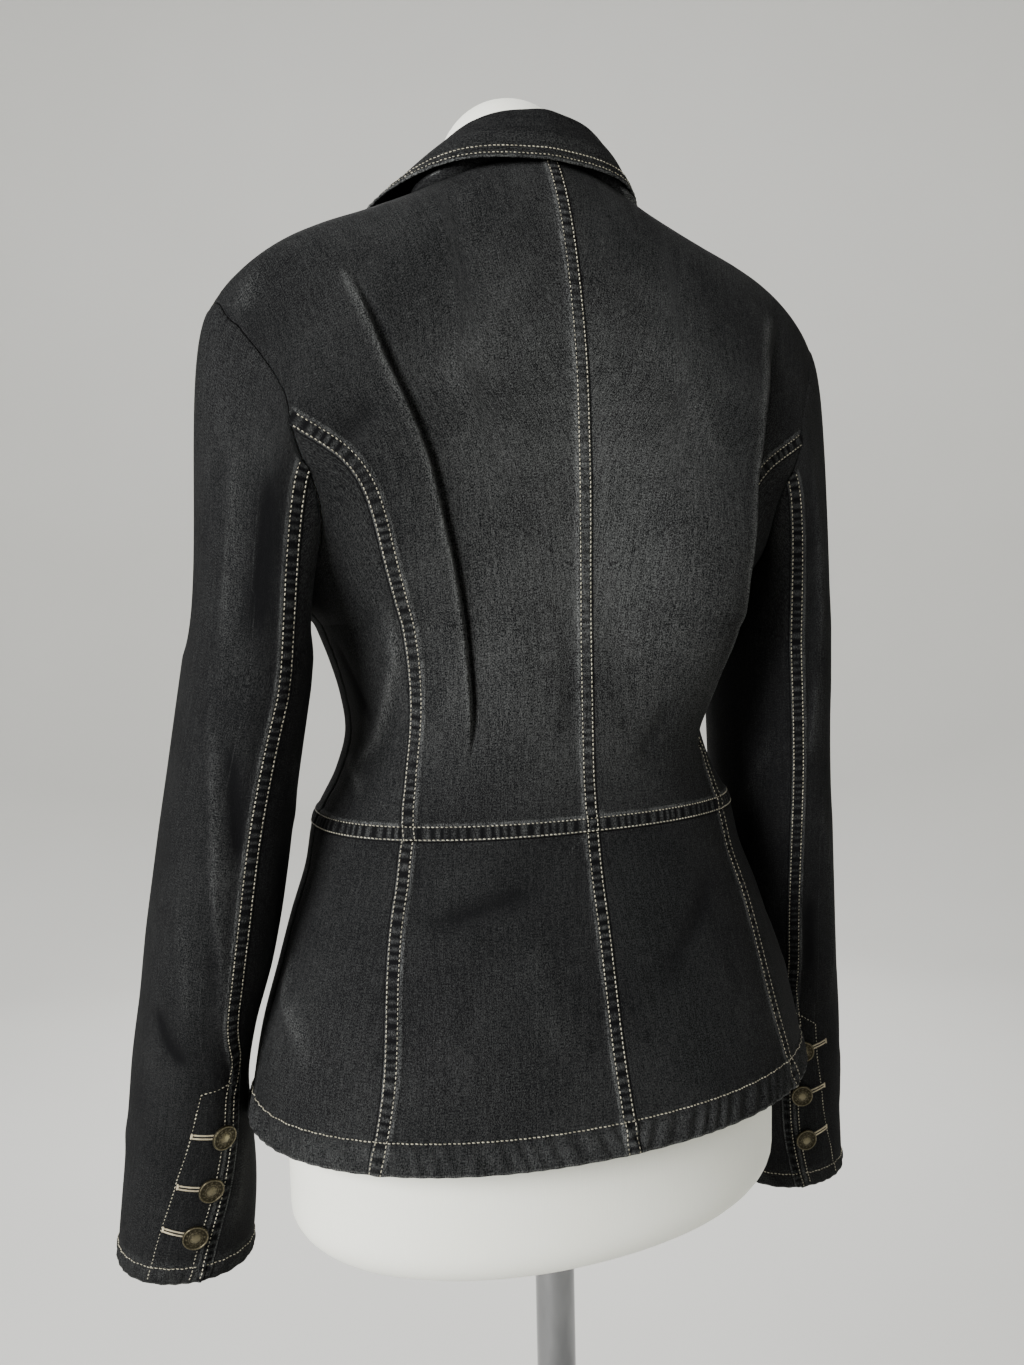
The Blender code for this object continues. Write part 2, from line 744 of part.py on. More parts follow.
def side_seam(low, high):
    """Side seam between two rises."""
    return Curve([(SIDE_TURN, low + (high - low) * step / 4) for step in range(5)])


def bodice(side, label, denim):
    """The four bodice panels of one side."""
    gaps = (SEAM_GAP / 2,) * 4
    rows = LOW_ROWS + ARMHOLE_STEPS
    join = LOW_ROWS / rows
    to_back, back_low, front_low, to_front = ARMHOLE_PARTS

    princess = seam(BACK_PRINCESS, WAIST, BACK_JOIN_HEIGHT)
    centre = Curve([place(0, height) for height in CENTRE_BACK_HEIGHTS])
    back = patch(level(0, seam_turn(BACK_PRINCESS, WAIST), WAIST), BACK_TOP_CURVE, centre,
                 joined(princess, backwards(to_back), join), rows, BACK_SHARES)
    torso_wall("back_" + label, mirrored(back, side), gaps, denim)

    side_line = side_seam(WAIST, float(back_low(1.0)[1]))
    side_back = patch(level(seam_turn(BACK_PRINCESS, WAIST), SIDE_TURN, WAIST), back_low, princess, side_line,
                      LOW_ROWS, ARMHOLE_STEPS)
    torso_wall("side_back_" + label, mirrored(side_back, side), gaps, denim)

    front_princess = seam(FRONT_PRINCESS, WAIST, FRONT_JOIN_HEIGHT, True)
    side_front = patch(level(SIDE_TURN, seam_turn(FRONT_PRINCESS, WAIST, True), WAIST), front_low, side_line,
                       front_princess, LOW_ROWS, ARMHOLE_STEPS)
    torso_wall("side_front_" + label, mirrored(side_front, side), gaps, denim)

    opening = joined(seam(FRONT_EDGE, WAIST, BREAK_HEIGHT, True), roll_line(), BREAK_ROW / rows)
    waist = level(seam_turn(FRONT_PRINCESS, WAIST, True), seam_turn(FRONT_EDGE, WAIST, True), WAIST)
    shoulder = level(FRONT_TIP[0], NECK_POINT_FRONT[0], TOP)
    front = patch(waist, shoulder, joined(front_princess, to_front, join), opening, rows, FRONT_SHARES)
    front = mirrored(front, side)
    torso_wall("front_" + label, front, gaps, denim, overlap_lift(front, side))


def roll_line():
    """Line where the front folds back into the lapel."""
    return Curve([place(a, h, True) for h, a in ROLL_LINE[:-1]] + [NECK_POINT_FRONT])


def overlap_lift(places, side):
    """The wearer's right front laps over the left one: it lifts near the middle."""
    if side > 0:
        return np.zeros(places.shape[:2])
    points = torso(places[..., 0], places[..., 1])
    return OVERLAP_LIFT * ease((points[..., 0] + OVERLAP_START) / OVERLAP_RAMP)


def peplum(side, label, denim):
    """The four panels below the waist seam, on one side."""
    centre = Curve([(0, HEM + (WAIST - HEM) * step / 4) for step in range(5)])
    princess = seam(BACK_PRINCESS, HEM, WAIST)
    side_line = side_seam(HEM, WAIST)
    front_princess = seam(FRONT_PRINCESS, HEM, WAIST, True)
    edge = seam(FRONT_EDGE, HEM, WAIST, True)
    for name, left, right, columns in (("peplum_back_", centre, princess, BACK_SHARES),
                                       ("peplum_side_back_", princess, side_line, ARMHOLE_STEPS),
                                       ("peplum_side_front_", side_line, front_princess, ARMHOLE_STEPS),
                                       ("peplum_front_", front_princess, edge, FRONT_SHARES)):
        places = patch(level(left(0.0)[0], right(0.0)[0], HEM), level(left(1.0)[0], right(1.0)[0], WAIST),
                       left, right, PEPLUM_ROWS, columns)
        places = mirrored(places, side)
        lift = overlap_lift(places, side) if name == "peplum_front_" else None
        torso_wall(name + label, places, (SEAM_GAP / 2,) * 4, denim, lift)


def seated(points, clearance):
    """Move points out so that they stay at least a clearance above the plain torso."""
    turn = np.radians(np.linspace(-179, 179, SEAT_TURNS))[None, :]
    rise = np.linspace(CHEST, TOP, SEAT_RISES)[:, None]
    surface = torso(turn, rise).reshape(-1, 3)
    turns, rises = np.broadcast_arrays(turn, rise)
    normals = smooth_normal(torso, turns, rises).reshape(-1, 3)
    flat = points.reshape(-1, 3).copy()
    clear = np.broadcast_to(clearance, points.shape[:-1]).reshape(-1)
    for i in range(len(flat)):
        for _ in range(SEAT_PASSES):
            nearest = np.argmin(((surface - flat[i]) ** 2).sum(1))
            above = (flat[i] - surface[nearest]) @ normals[nearest]
            if above < clear[i]:
                flat[i] += normals[nearest] * (clear[i] - above)
    moves = flat.reshape(points.shape) - points
    for _ in range(SEAT_SMOOTHING):
        moves[1:-1] = (moves[:-2] + 2 * moves[1:-1] + moves[2:]) / 4
    return points + moves


def lapel(side, label, denim):
    """Lapel: the front's turned-back top, lying on the front panel."""
    start = [place(a, h, True) for h, a in LAPEL_START[side]]
    edge = Curve([start[1]] + [place(a, h, True) for h, a in LAPEL_EDGE])
    gorge_points = [place(a, h, True) for h, a in GORGE]
    lowest = LAPEL_START[side][0][0] + LAPEL_START_ROOM
    roll_rows = [row for row in ROLL_LINE if lowest < row[0] < GORGE[0][0]]
    roll = Curve([start[0]] + [place(a, h, True) for h, a in roll_rows] + [gorge_points[0]])
    gorge = Curve(gorge_points)
    places = mirrored(patch(Curve(start), gorge, roll, edge, LAPEL_ROWS, LAPEL_COLUMNS), side)
    turn, rise = places[..., 0], places[..., 1]
    base = overlap_lift(places, side)
    normal = smooth_normal(cloth, turn, rise)
    spread = np.linspace(0, 1, places.shape[1])[None, :]
    puff = LAPEL_PUFF * np.sin(math.pi * spread) * np.linspace(0, 1, places.shape[0])[:, None]
    inner = cloth(turn, rise) + normal * (base + LAYER_GAP + puff + LAYER_GAP * (1 - spread))[..., None]
    wall("lapel_" + label, inner + normal * CLOTH, inner, denim)


def collar(denim):
    """Collar in one piece: up from the neck seam, over the fold and down over the shoulders."""
    stations = smooth_table(COLLAR_STATIONS)
    rows = []
    for share in np.linspace(-1, 1, COLLAR_COLUMNS + 1):
        side = -1 if share < 0 else 1
        values = stations(abs(share))
        fold = values[:3] * (side, 1, 1) + (COLLAR_SHIFT, BODY_Y, 0)
        edge = values[3:] * (side, 1, 1) + (COLLAR_SHIFT, BODY_Y, 0)
        seam_point = neck_seam(share)
        outward = (edge - fold) * (1, 1, 0)
        outward = outward / np.linalg.norm(outward)
        stand = [seam_point + (fold - seam_point) * t for t in STAND_SHARES]
        top_in, top_out = [fold + outward * out + np.array([0, 0, up]) for out, up in COLLAR_FOLD]
        belly = (outward + np.array([0, 0, 1])) * COLLAR_BELLY
        way = edge - top_out
        fall = [top_out + way * t + belly * math.sin(math.pi * t) for t in FALL_SHARES]
        rows.append(stand + [top_in, top_out] + fall)
    outer = np.array(rows)
    first_fall = len(STAND_SHARES) + len(COLLAR_FOLD)
    outer[:, first_fall:] = seated(outer[:, first_fall:], COLLAR_CLEARANCE + CLOTH)
    along = np.gradient(outer, axis=0)
    across = np.gradient(outer, axis=1)
    normal = np.cross(along, across)
    normal = normal / np.linalg.norm(normal, axis=-1, keepdims=True)
    if normal[COLLAR_COLUMNS // 2, -2, 1] < 0:
        normal = -normal
    wall("collar", outer, outer - normal * CLOTH, denim)


def neck_seam(share):
    """Start of the collar's stand: just above the necklines of back and front."""
    size = abs(share)
    side = -1 if share < 0 else 1
    if size <= COLLAR_TURNOVER:
        turn, rise = BACK_NECK_CURVE(size / COLLAR_TURNOVER)
    else:
        turn, rise = roll_line()(1 - COLLAR_ON_ROLL * (size - COLLAR_TURNOVER) / (1 - COLLAR_TURNOVER))
    place_here = np.array(side * turn), np.array(min(float(rise), TOP))
    return torso(*place_here) + smooth_normal(torso, *place_here) * COLLAR_SEAM_LIFT


def sleeve_centre(side, height):
    """Centre of a sleeve at a height of the left sleeve."""
    drop, rows = SLEEVE_SWING[side]
    share = ease((SLEEVE_RINGS[0][0] - height) / (SLEEVE_RINGS[0][0] - SLEEVE_RINGS[-1][0]))
    x = smooth_table(SLEEVE_RINGS)(height)[..., 0]
    swing = smooth_table(rows)(height)
    return np.stack([side * (x + swing[..., 1]), swing[..., 0] + BODY_Y, height - drop * share], -1)


def armhole_place(column):
    """Place on the torso at a column round the armhole: 0 at the shoulder, then back, side and front."""
    column = np.asarray(column, float) % (4 * ARMHOLE_STEPS)
    part = np.minimum((column // ARMHOLE_STEPS).astype(int), 3)
    share = column / ARMHOLE_STEPS - part
    places = np.zeros(column.shape + (2,))
    for index, curve in enumerate(ARMHOLE_PARTS):
        places = np.where((part == index)[..., None], curve(np.clip(share, 0, 1)), places)
    return places


def column_angle(column, back_seam):
    """Angle round the sleeve of a column, with the back seam at the given angle."""
    column = np.asarray(column, float) % (4 * ARMHOLE_STEPS)
    front_seam = math.radians(FRONT_SLEEVE_SEAM)
    top_columns = 4 * ARMHOLE_STEPS - FRONT_SEAM_COLUMN + BACK_SEAM_COLUMN
    on_top = (column <= BACK_SEAM_COLUMN) | (column >= FRONT_SEAM_COLUMN)
    steps = np.where(column >= FRONT_SEAM_COLUMN, column - 4 * ARMHOLE_STEPS, column) - BACK_SEAM_COLUMN
    top = back_seam + steps * (back_seam + 2 * math.pi - front_seam) / top_columns
    under = back_seam + ((column - BACK_SEAM_COLUMN) * (front_seam - back_seam)
                         / (FRONT_SEAM_COLUMN - BACK_SEAM_COLUMN))
    return np.where(on_top, top, under)


def sleeve_ring(side, angle, height):
    """Outer face of a sleeve below the armpit."""
    sizes = smooth_table(SLEEVE_RINGS)(height)
    out, back = rounded(np.asarray(angle, float) + math.pi / 2, sizes[..., 3])
    centre = sleeve_centre(side, height)
    axis = sleeve_centre(side, height + SLEEVE_AXIS_STEP) - sleeve_centre(side, height - SLEEVE_AXIS_STEP)
    dx = side * sizes[..., 1] * out
    dy = -sizes[..., 2] * back
    lean = -(axis[..., 0] * dx + axis[..., 1] * dy) / axis[..., 2]
    return centre + np.stack([dx, dy, lean], -1)


def sleeve_point(side, column, share):
    """Sleeve surface: share 0 at the armhole, 1 at the end of the cap, 2 at the cuff."""
    column, share = np.broadcast_arrays(np.asarray(column, float), np.asarray(share, float))
    first, last = SLEEVE_RINGS[0][0], SLEEVE_RINGS[-1][0]
    angle = column_angle(column, back_seam_angle(side, share))
    low = sleeve_ring(side, angle, first + (last - first) * np.clip(share - 1, 0, 1))
    places = mirrored(armhole_place(column), side)
    start = cloth(places[..., 0], np.minimum(places[..., 1], TOP))
    facing = smooth_normal(cloth, places[..., 0], np.minimum(places[..., 1], TOP))
    end_angle = column_angle(column, back_seam_angle(side, np.array(1.0)))
    end = sleeve_ring(side, end_angle, first)
    end_way = sleeve_ring(side, end_angle, first - SLEEVE_AXIS_STEP) - end
    end_way = end_way / np.linalg.norm(end_way, axis=-1, keepdims=True)
    outward = CAP_OUT * np.abs(np.cos(column * math.pi / (4 * ARMHOLE_STEPS))) ** CAP_OUT_POWER
    start_way = np.stack([side * outward, 0 * outward, -np.sqrt(1 - outward ** 2)], -1)
    length = np.linalg.norm(end - start, axis=-1, keepdims=True)
    start = start + (start_way + facing) * CAP_CLEAR
    t = np.clip(share, 0, 1)[..., None]
    cap = ((1 + 2 * t) * (1 - t) ** 2 * start + t * (1 - t) ** 2 * length * CAP_START * start_way
           + t * t * (3 - 2 * t) * end + t * t * (t - 1) * length * CAP_END * end_way)
    return np.where((share > 1)[..., None], low, cap)


def sleeve_normal(side, column, share):
    """Outward unit normal of a sleeve."""
    step, share_step = SLEEVE_SLOPE_STEPS
    low = np.clip(share - share_step, 0, 2)
    high = np.clip(share + share_step, 0, 2)
    round_way = sleeve_point(side, column + step, share) - sleeve_point(side, column - step, share)
    down_way = sleeve_point(side, column, high) - sleeve_point(side, column, low)
    normal = np.cross(down_way, round_way) * side
    return normal / np.linalg.norm(normal, axis=-1, keepdims=True)


def back_seam_angle(side, share):
    """Angle of a sleeve's back seam at a share of its length."""
    first, last = SLEEVE_RINGS[0][0], SLEEVE_RINGS[-1][0]
    height = first + (last - first) * np.maximum(share - 1, 0)
    return np.radians(smooth_table(BACK_SLEEVE_SEAM[side])(height)[..., 0])


def sleeve(side, label, denim):
    """Top sleeve and under sleeve of one arm."""
    cap_shares = np.linspace(0, 1, SLEEVE_CAP_ROWS + 1)
    low_shares = 1 + np.linspace(0, 1, SLEEVE_ROWS + 1)[1:]
    shares = np.concatenate([cap_shares, low_shares])
    for name, start, end in (("top_sleeve_", FRONT_SEAM_COLUMN - 4 * ARMHOLE_STEPS, BACK_SEAM_COLUMN),
                             ("under_sleeve_", BACK_SEAM_COLUMN, FRONT_SEAM_COLUMN)):
        column, share = np.meshgrid(np.arange(start, end + 1.0), shares)
        outer = sleeve_point(side, column, share)
        normal = sleeve_normal(side, column, share)
        outer = trimmed(outer, (0, 0, SEAM_GAP / 2, SEAM_GAP / 2))
        wall(name + label, outer, outer - normal * CLOTH, denim)


def cuff_place(side, degrees, height):
    """Column and share of a sleeve point at an angle and a height."""
    first, last = SLEEVE_RINGS[0][0], SLEEVE_RINGS[-1][0]
    share = 1 + (first - height) / (first - last)
    back_seam = float(back_seam_angle(side, np.array(share)))
    front_seam = math.radians(FRONT_SLEEVE_SEAM)
    top_columns = 4 * ARMHOLE_STEPS - FRONT_SEAM_COLUMN + BACK_SEAM_COLUMN
    behind = math.radians(degrees) - back_seam
    if behind <= 0:
        column = BACK_SEAM_COLUMN + behind / (back_seam + 2 * math.pi - front_seam) * top_columns
    else:
        column = BACK_SEAM_COLUMN + behind / (front_seam - back_seam) * (FRONT_SEAM_COLUMN - BACK_SEAM_COLUMN)
    return np.array(column), np.array(share)


def button(name, spot, facing, brass):
    """Round metal button with a domed face, sitting just clear of the cloth."""
    builder = bmesh.new()
    verts = [builder.verts.new((share * BUTTON_RADIUS, 0, height)) for share, height in BUTTON_PROFILE]
    edges = [builder.edges.new(pair) for pair in zip(verts, verts[1:])]
    bmesh.ops.spin(builder, geom=verts + edges, axis=(0, 0, 1), cent=(0, 0, 0), angle=2 * math.pi,
                   steps=BUTTON_SIDES, use_merge=True)
    bmesh.ops.remove_doubles(builder, verts=builder.verts, dist=WELD)
    made = finish(name, builder, brass, BUTTON_SMOOTH_DEGREES)
    made.location = Vector(spot)
    made.rotation_euler = Vector(facing).to_track_quat("Z", "Y").to_euler()
    return made


def cuff_buttons(side, label, brass):
    """Three buttons up the cuff vent."""
    for number, (height, degrees) in enumerate(CUFF_BUTTONS[side], start=1):
        column, share = cuff_place(side, degrees, height)
        facing = sleeve_normal(side, column, share)
        spot = sleeve_point(side, column, share) + facing * BUTTON_CLEAR
        button("cuff_button_%s_%d" % (label, number), spot, facing, brass)


def front_buttons(brass):
    """Three buttons down the centre front."""
    for number, height in enumerate(FRONT_BUTTON_HEIGHTS, start=1):
        turn, rise = place(FRONT_BUTTON_ACROSS, height, True)
        facing = smooth_normal(torso, np.array(turn), np.array(rise))
        spot = torso(turn, rise) + facing * (OVERLAP_LIFT + FRONT_BUTTON_CLEAR)
        button("front_button_%d" % number, spot, facing, brass)


def room_inside(reach, height):
    """Half-width of the cloth at a height above the chest, for a shoulder point's distance across."""
    climb = (height - CHEST) / (float(shoulder_line(reach)[0]) - CHEST)
    return float(upper_ring(min(max(climb, 0.0), 1.0))[0])


def form_section(height, sides):
    """Cross-section of the dress form at a height."""
    inset = float(smooth_table(FORM_EASE)(height)[0])
    angles = np.linspace(0, 2 * math.pi, sides + 1)[:-1]
    if height <= CHEST:
        ring = body_ring(height)
        half_width, centre, back, front, squareness = [float(v) for v in ring]
        side, along = rounded(angles, squareness)
        x = (half_width - inset) * side
        y = centre + np.where(along > 0, back - inset, front - inset) * along
        x = np.clip(x, -FORM_ARM_PLATE, FORM_ARM_PLATE)
        return np.stack([x, y + BODY_Y, np.full(sides, height)], -1)
    cover = height + CLOTH + FORM_TOP_CLEAR
    reach = FORM_ARM_PLATE
    while float(shoulder_line(reach)[0]) < cover or reach > room_inside(reach, cover) - inset:
        reach -= FORM_REACH_STEP
    points = []
    for angle in angles:
        side, along = rounded(np.array(angle), FORM_SQUARENESS)
        x = reach * float(side)
        line = shoulder_line(abs(x))
        top, middle = float(line[0]), float(line[1])
        climb = min(max((cover - CHEST) / (top - CHEST), 0.0), FORM_TOP_SHARE)
        power = BACK_ROUNDING if along > 0 else FRONT_ROUNDING
        shut = (1 - climb ** power) ** (1 / power)
        ring = upper_ring(climb)
        half_width, centre, back, front, squareness = [float(v) for v in ring]
        share = min(abs(x) / half_width, 1.0)
        depth = (1 - share ** squareness) ** (1 / squareness)
        full = centre + depth * (back if along > 0 else -front)
        wall_y = middle + (full - middle) * shut
        inset_here = min(inset, abs(wall_y - middle) * FORM_INSET_SHARE)
        limit = wall_y - math.copysign(inset_here, wall_y - middle)
        points.append((x, middle + (limit - middle) * min(1.0, abs(float(along))) + BODY_Y, height))
    return np.array(points)


def form_rings():
    """All sections of the dress form, from its rounded bottom to the top of its neck."""
    rings = []
    lowest = form_section(FORM_BOTTOM + FORM_BOTTOM_ROUND, FORM_SIDES)
    centre = lowest.mean(0)
    for step in range(FORM_BOTTOM_STEPS + 1):
        angle = math.pi / 2 * step / FORM_BOTTOM_STEPS
        height = FORM_BOTTOM + FORM_BOTTOM_ROUND * (1 - math.cos(angle))
        shrink = 1 - FORM_BOTTOM_ROUND * (1 - math.sin(angle)) / FORM_BOTTOM_REACH
        section = centre + (lowest - centre) * np.array([shrink, shrink, 0])
        section[:, 2] = height
        rings.append(section)
    for height in FORM_HEIGHTS:
        rings.append(form_section(height, FORM_SIDES))
    angles = np.linspace(0, 2 * math.pi, FORM_SIDES + 1)[:-1]
    for height, scale in NECK_ROWS:
        x = NECK_X + NECK_RADIUS_X * scale * np.sin(angles)
        y = NECK_Y + BODY_Y + NECK_RADIUS_Y * scale * np.cos(angles)
        rings.append(np.stack([x, y, np.full(FORM_SIDES, height)], -1))
    return rings


def form_body(jersey):
    """Dress form: torso and neck in one smooth closed body."""
    rings = form_rings()
    builder = bmesh.new()
    loops = []
    for section in rings:
        verts = [builder.verts.new(Vector(point)) for point in section]
        loops.append([builder.edges.new((verts[i - 1], verts[i])) for i in range(len(verts))])
    for low, high in zip(loops, loops[1:]):
        bmesh.ops.bridge_loops(builder, edges=low + high)
    for loop in (loops[0], loops[-1]):
        bmesh.ops.holes_fill(builder, edges=loop, sides=0)
    bmesh.ops.triangulate(builder, faces=[face for face in builder.faces if len(face.verts) > 4])
    return finish("form_body", builder, jersey, FORM_SMOOTH_DEGREES)


def turned(name, profile, look, sides, degrees=35.0):
    """Round solid turned about the pole's axis from a profile of (radius, height) points."""
    builder = bmesh.new()
    verts = [builder.verts.new((radius, 0, height)) for radius, height in profile]
    edges = [builder.edges.new(pair) for pair in zip(verts, verts[1:])]
    bmesh.ops.spin(builder, geom=verts + edges, axis=(0, 0, 1), cent=(0, 0, 0), angle=2 * math.pi,
                   steps=sides, use_merge=True)
    bmesh.ops.remove_doubles(builder, verts=builder.verts, dist=WELD)
    return finish(name, builder, look, degrees)


def stand(chrome):
    """Pole and round base plate with its hub."""
    turned("stand_base", BASE_PROFILE, chrome, BASE_SIDES)
    bottom = HUB_HEIGHT + LAYER_GAP
    top = FORM_BOTTOM - LAYER_GAP
    pole = ((0.0, bottom), (POLE_RADIUS, bottom), (POLE_RADIUS, top), (0.0, top))
    turned("stand_pole", pole, chrome, POLE_SIDES)


def main():
    """Build every piece."""
    for old in list(bpy.data.objects):
        bpy.data.objects.remove(old, do_unlink=True)
    denim = material("washed_black_denim", (0.045, 0.047, 0.054), 0.85)
    jersey = material("white_jersey", (0.82, 0.83, 0.80), 0.75)
    chrome = material("chrome", (0.78, 0.78, 0.80), 0.12, 1.0)
    brass = material("aged_brass", (0.30, 0.24, 0.15), 0.35, 1.0)
    for side, label in ((1, "left"), (-1, "right")):
        bodice(side, label, denim)
        peplum(side, label, denim)
        lapel(side, label, denim)
        sleeve(side, label, denim)
        cuff_buttons(side, label, brass)
    collar(denim)
    front_buttons(brass)
    form_body(jersey)
    stand(chrome)


main()
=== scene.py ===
"""Looks of the denim blazer on its limbless dress form.

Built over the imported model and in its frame: metres, +Z up, the blazer's front facing -Y, the wearer's left
on +X, and the pole's axis on x = y = 0. Each cloth panel is a thin shell on the form of its solid, cut finer,
with the seams, puckers and creases that a solid leaves out. The sewing lies on the shells as threads.
"""

from __future__ import annotations

import logging
import math
from dataclasses import dataclass, field
from enum import Enum
from typing import Callable, Sequence

import bmesh
import bpy
import numpy as np
from mathutils import Matrix, Vector

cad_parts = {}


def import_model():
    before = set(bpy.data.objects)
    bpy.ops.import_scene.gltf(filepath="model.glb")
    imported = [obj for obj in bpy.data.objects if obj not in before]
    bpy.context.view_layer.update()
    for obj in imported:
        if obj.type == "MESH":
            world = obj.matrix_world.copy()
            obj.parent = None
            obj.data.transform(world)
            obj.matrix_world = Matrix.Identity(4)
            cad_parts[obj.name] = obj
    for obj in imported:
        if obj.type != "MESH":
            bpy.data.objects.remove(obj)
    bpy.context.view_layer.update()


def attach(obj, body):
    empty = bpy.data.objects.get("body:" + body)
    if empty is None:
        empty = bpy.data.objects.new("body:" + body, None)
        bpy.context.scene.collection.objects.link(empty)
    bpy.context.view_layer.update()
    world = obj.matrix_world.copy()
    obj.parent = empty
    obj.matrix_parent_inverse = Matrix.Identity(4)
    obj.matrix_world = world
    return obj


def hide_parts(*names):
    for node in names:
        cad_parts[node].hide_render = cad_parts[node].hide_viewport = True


LOG = logging.getLogger("blazer")
Array = np.ndarray
Reader = Callable[[Array], Array]
Rows = Sequence[Sequence[float]]
Color = tuple[float, float, float]
MM = 0.001
# Twill lines of the denim, in radians a metre along and across
TWILL = 5200.0
# Puckers bunch and stretch over this many of their pitches, by this many radians
SWELL_LENGTH, SWELL_LAG = 5.3, 1.7
# How far the waist seam goes on past the centre back
WAIST_REACH = 6 * MM


def path_run(points: Array) -> Array:
    """Distance from the start at each point of a path."""
    return np.concatenate([[0], np.cumsum(np.linalg.norm(np.diff(points, axis=0), axis=-1))])


def straight(at: Array, keys: Array, values: Array) -> Array:
    """Columns of values read between their keys along straight lines."""
    return np.stack([np.interp(at, keys, column) for column in np.asarray(values).T], -1)


def hermite(t: Array, start: Array, start_way: Array, end: Array, end_way: Array) -> Array:
    """Point at a share of a cubic curve, from its ends and the ways it leaves and reaches them."""
    return ((1 + 2 * t) * (1 - t) ** 2 * start + t * (1 - t) ** 2 * start_way
            + t * t * (3 - 2 * t) * end + t * t * (t - 1) * end_way)


def smooth_table(rows: Rows) -> Reader:
    """Make a reader of a table.

    Args:
        rows: Rows of numbers; the first column is the key.

    Returns:
        A function that gives the later columns smoothly at a key.
    """
    table = np.array(rows, float)
    table = table[np.argsort(table[:, 0])]
    keys, values = table[:, 0], table[:, 1:]
    steps = np.diff(keys)[:, None]
    slopes = np.diff(values, axis=0) / steps
    tangents = np.empty_like(values)
    tangents[0], tangents[-1] = slopes[0], slopes[-1]
    tangents[1:-1] = (slopes[:-1] * steps[1:] + slopes[1:] * steps[:-1]) / (steps[1:] + steps[:-1])

    def read(key: Array) -> Array:
        """Read the table at a key.

        Args:
            key: One key or an array of them.

        Returns:
            The values, as the last axis.
        """
        key = np.clip(np.asarray(key, float), keys[0], keys[-1])
        i = np.clip(np.searchsorted(keys, key, side="right") - 1, 0, len(keys) - 2)
        step = (keys[i + 1] - keys[i])[..., None]
        t = (key[..., None] - keys[i][..., None]) / step
        return hermite(t, values[i], step * tangents[i], values[i + 1], step * tangents[i + 1])

    return read


def fitted(places: Rows, count: int) -> Array:
    """Smooth path of a number of places through a few evenly spaced ones."""
    return smooth_table(np.column_stack([np.linspace(0, 1, len(places)), places]))(np.linspace(0, 1, count))


def ease(value: Array) -> Array:
    """Smooth step from 0 to 1."""
    value = np.clip(value, 0.0, 1.0)
    return value * value * (3 - 2 * value)


def hump(value: Array, width: float) -> Array:
    """Soft bump of height 1 round zero."""
    return np.exp(-(value / width) ** 2)


def rounded(angle: Array, squareness: Array) -> tuple[Array, Array]:
    """Push a circle's sine and cosine out to a rounded square.

    Args:
        angle: Angle in radians.
        squareness: Exponent; 2 is a circle.

    Returns:
        Sine and cosine of the rounded square.
    """
    sine, cosine = np.sin(angle), np.cos(angle)
    scale = (np.abs(sine) ** squareness + np.abs(cosine) ** squareness) ** (-1 / squareness)
    return sine * scale, cosine * scale


def unit(vectors: Array) -> Array:
    """Vectors brought to length 1."""
    return vectors / np.maximum(np.linalg.norm(vectors, axis=-1, keepdims=True), 1e-12)


class Side(Enum):
    """A side of the wearer."""

    LEFT = 1
    RIGHT = -1

    @property
    def label(self) -> str:
        """The side's name as the nodes spell it."""
        return self.name.lower()


class Lie(Enum):
    """How a panel lies at a seam."""

    OVER = "over"
    UNDER = "under"
    PLAIN = "plain"
    EDGE = "edge"
    ROW = "row"


class Surface:
    """A surface read at places of two numbers, with the creases that lie on it."""

    steps = (0.0004, 0.0004)
    creases: Sequence[Crease] = ()

    def plain(self, places: Array) -> Array:
        """Points of the bare surface."""
        raise NotImplementedError

    def height(self, places: Array) -> Array:
        """How far creases and folds lift the cloth off the bare surface."""
        points = self.plain(places)
        return sum((crease.lift * crease.shape(points) for crease in self.creases),
                   np.zeros(places.shape[:-1]))

    def wear_light_and_shade(self, places: Array) -> Array:
        """Paleness where creases rub, with a painted highlight on their ridges; below 0, painted shade in
        their troughs.
        """
        points = self.plain(places)
        return sum((crease.rub * crease.shape(points) for crease in self.creases),
                   np.zeros(places.shape[:-1]))

    def fade(self, places: Array) -> Array:
        """Paleness of the wash and of painted highlights, from 0 to 1."""
        raise NotImplementedError

    def _slopes(self, places: Array) -> list[Array]:
        """Change of the point with each of the two numbers.

        Args:
            places: Where to measure.

        Returns:
            The two changes.
        """
        slopes = []
        for step in np.diag(self.steps):
            slopes.append((self.plain(places + step) - self.plain(places - step)) / (2 * step.sum()))
        return slopes

    def normal(self, places: Array) -> Array:
        """Outward unit normals of the bare surface."""
        first, second = self._slopes(places)
        return unit(np.cross(second, first))

    def settle(self, target: Array, places: Array) -> Array:
        """Find places near some points.

        Args:
            target: Points close to the surface.
            places: Places to start from.

        Returns:
            Places whose points lie closest to the target.
        """
        places = np.array(places, float)
        for _ in range(4):
            miss = target - self.plain(places)
            first, second = self._slopes(places)
            aa, bb, ab = (first * first).sum(-1), (second * second).sum(-1), (first * second).sum(-1)
            am, bm = (first * miss).sum(-1), (second * miss).sum(-1)
            det = np.maximum(aa * bb - ab * ab, 1e-18)
            places[..., 0] += (am * bb - bm * ab) / det
            places[..., 1] += (bm * aa - am * ab) / det
        return places


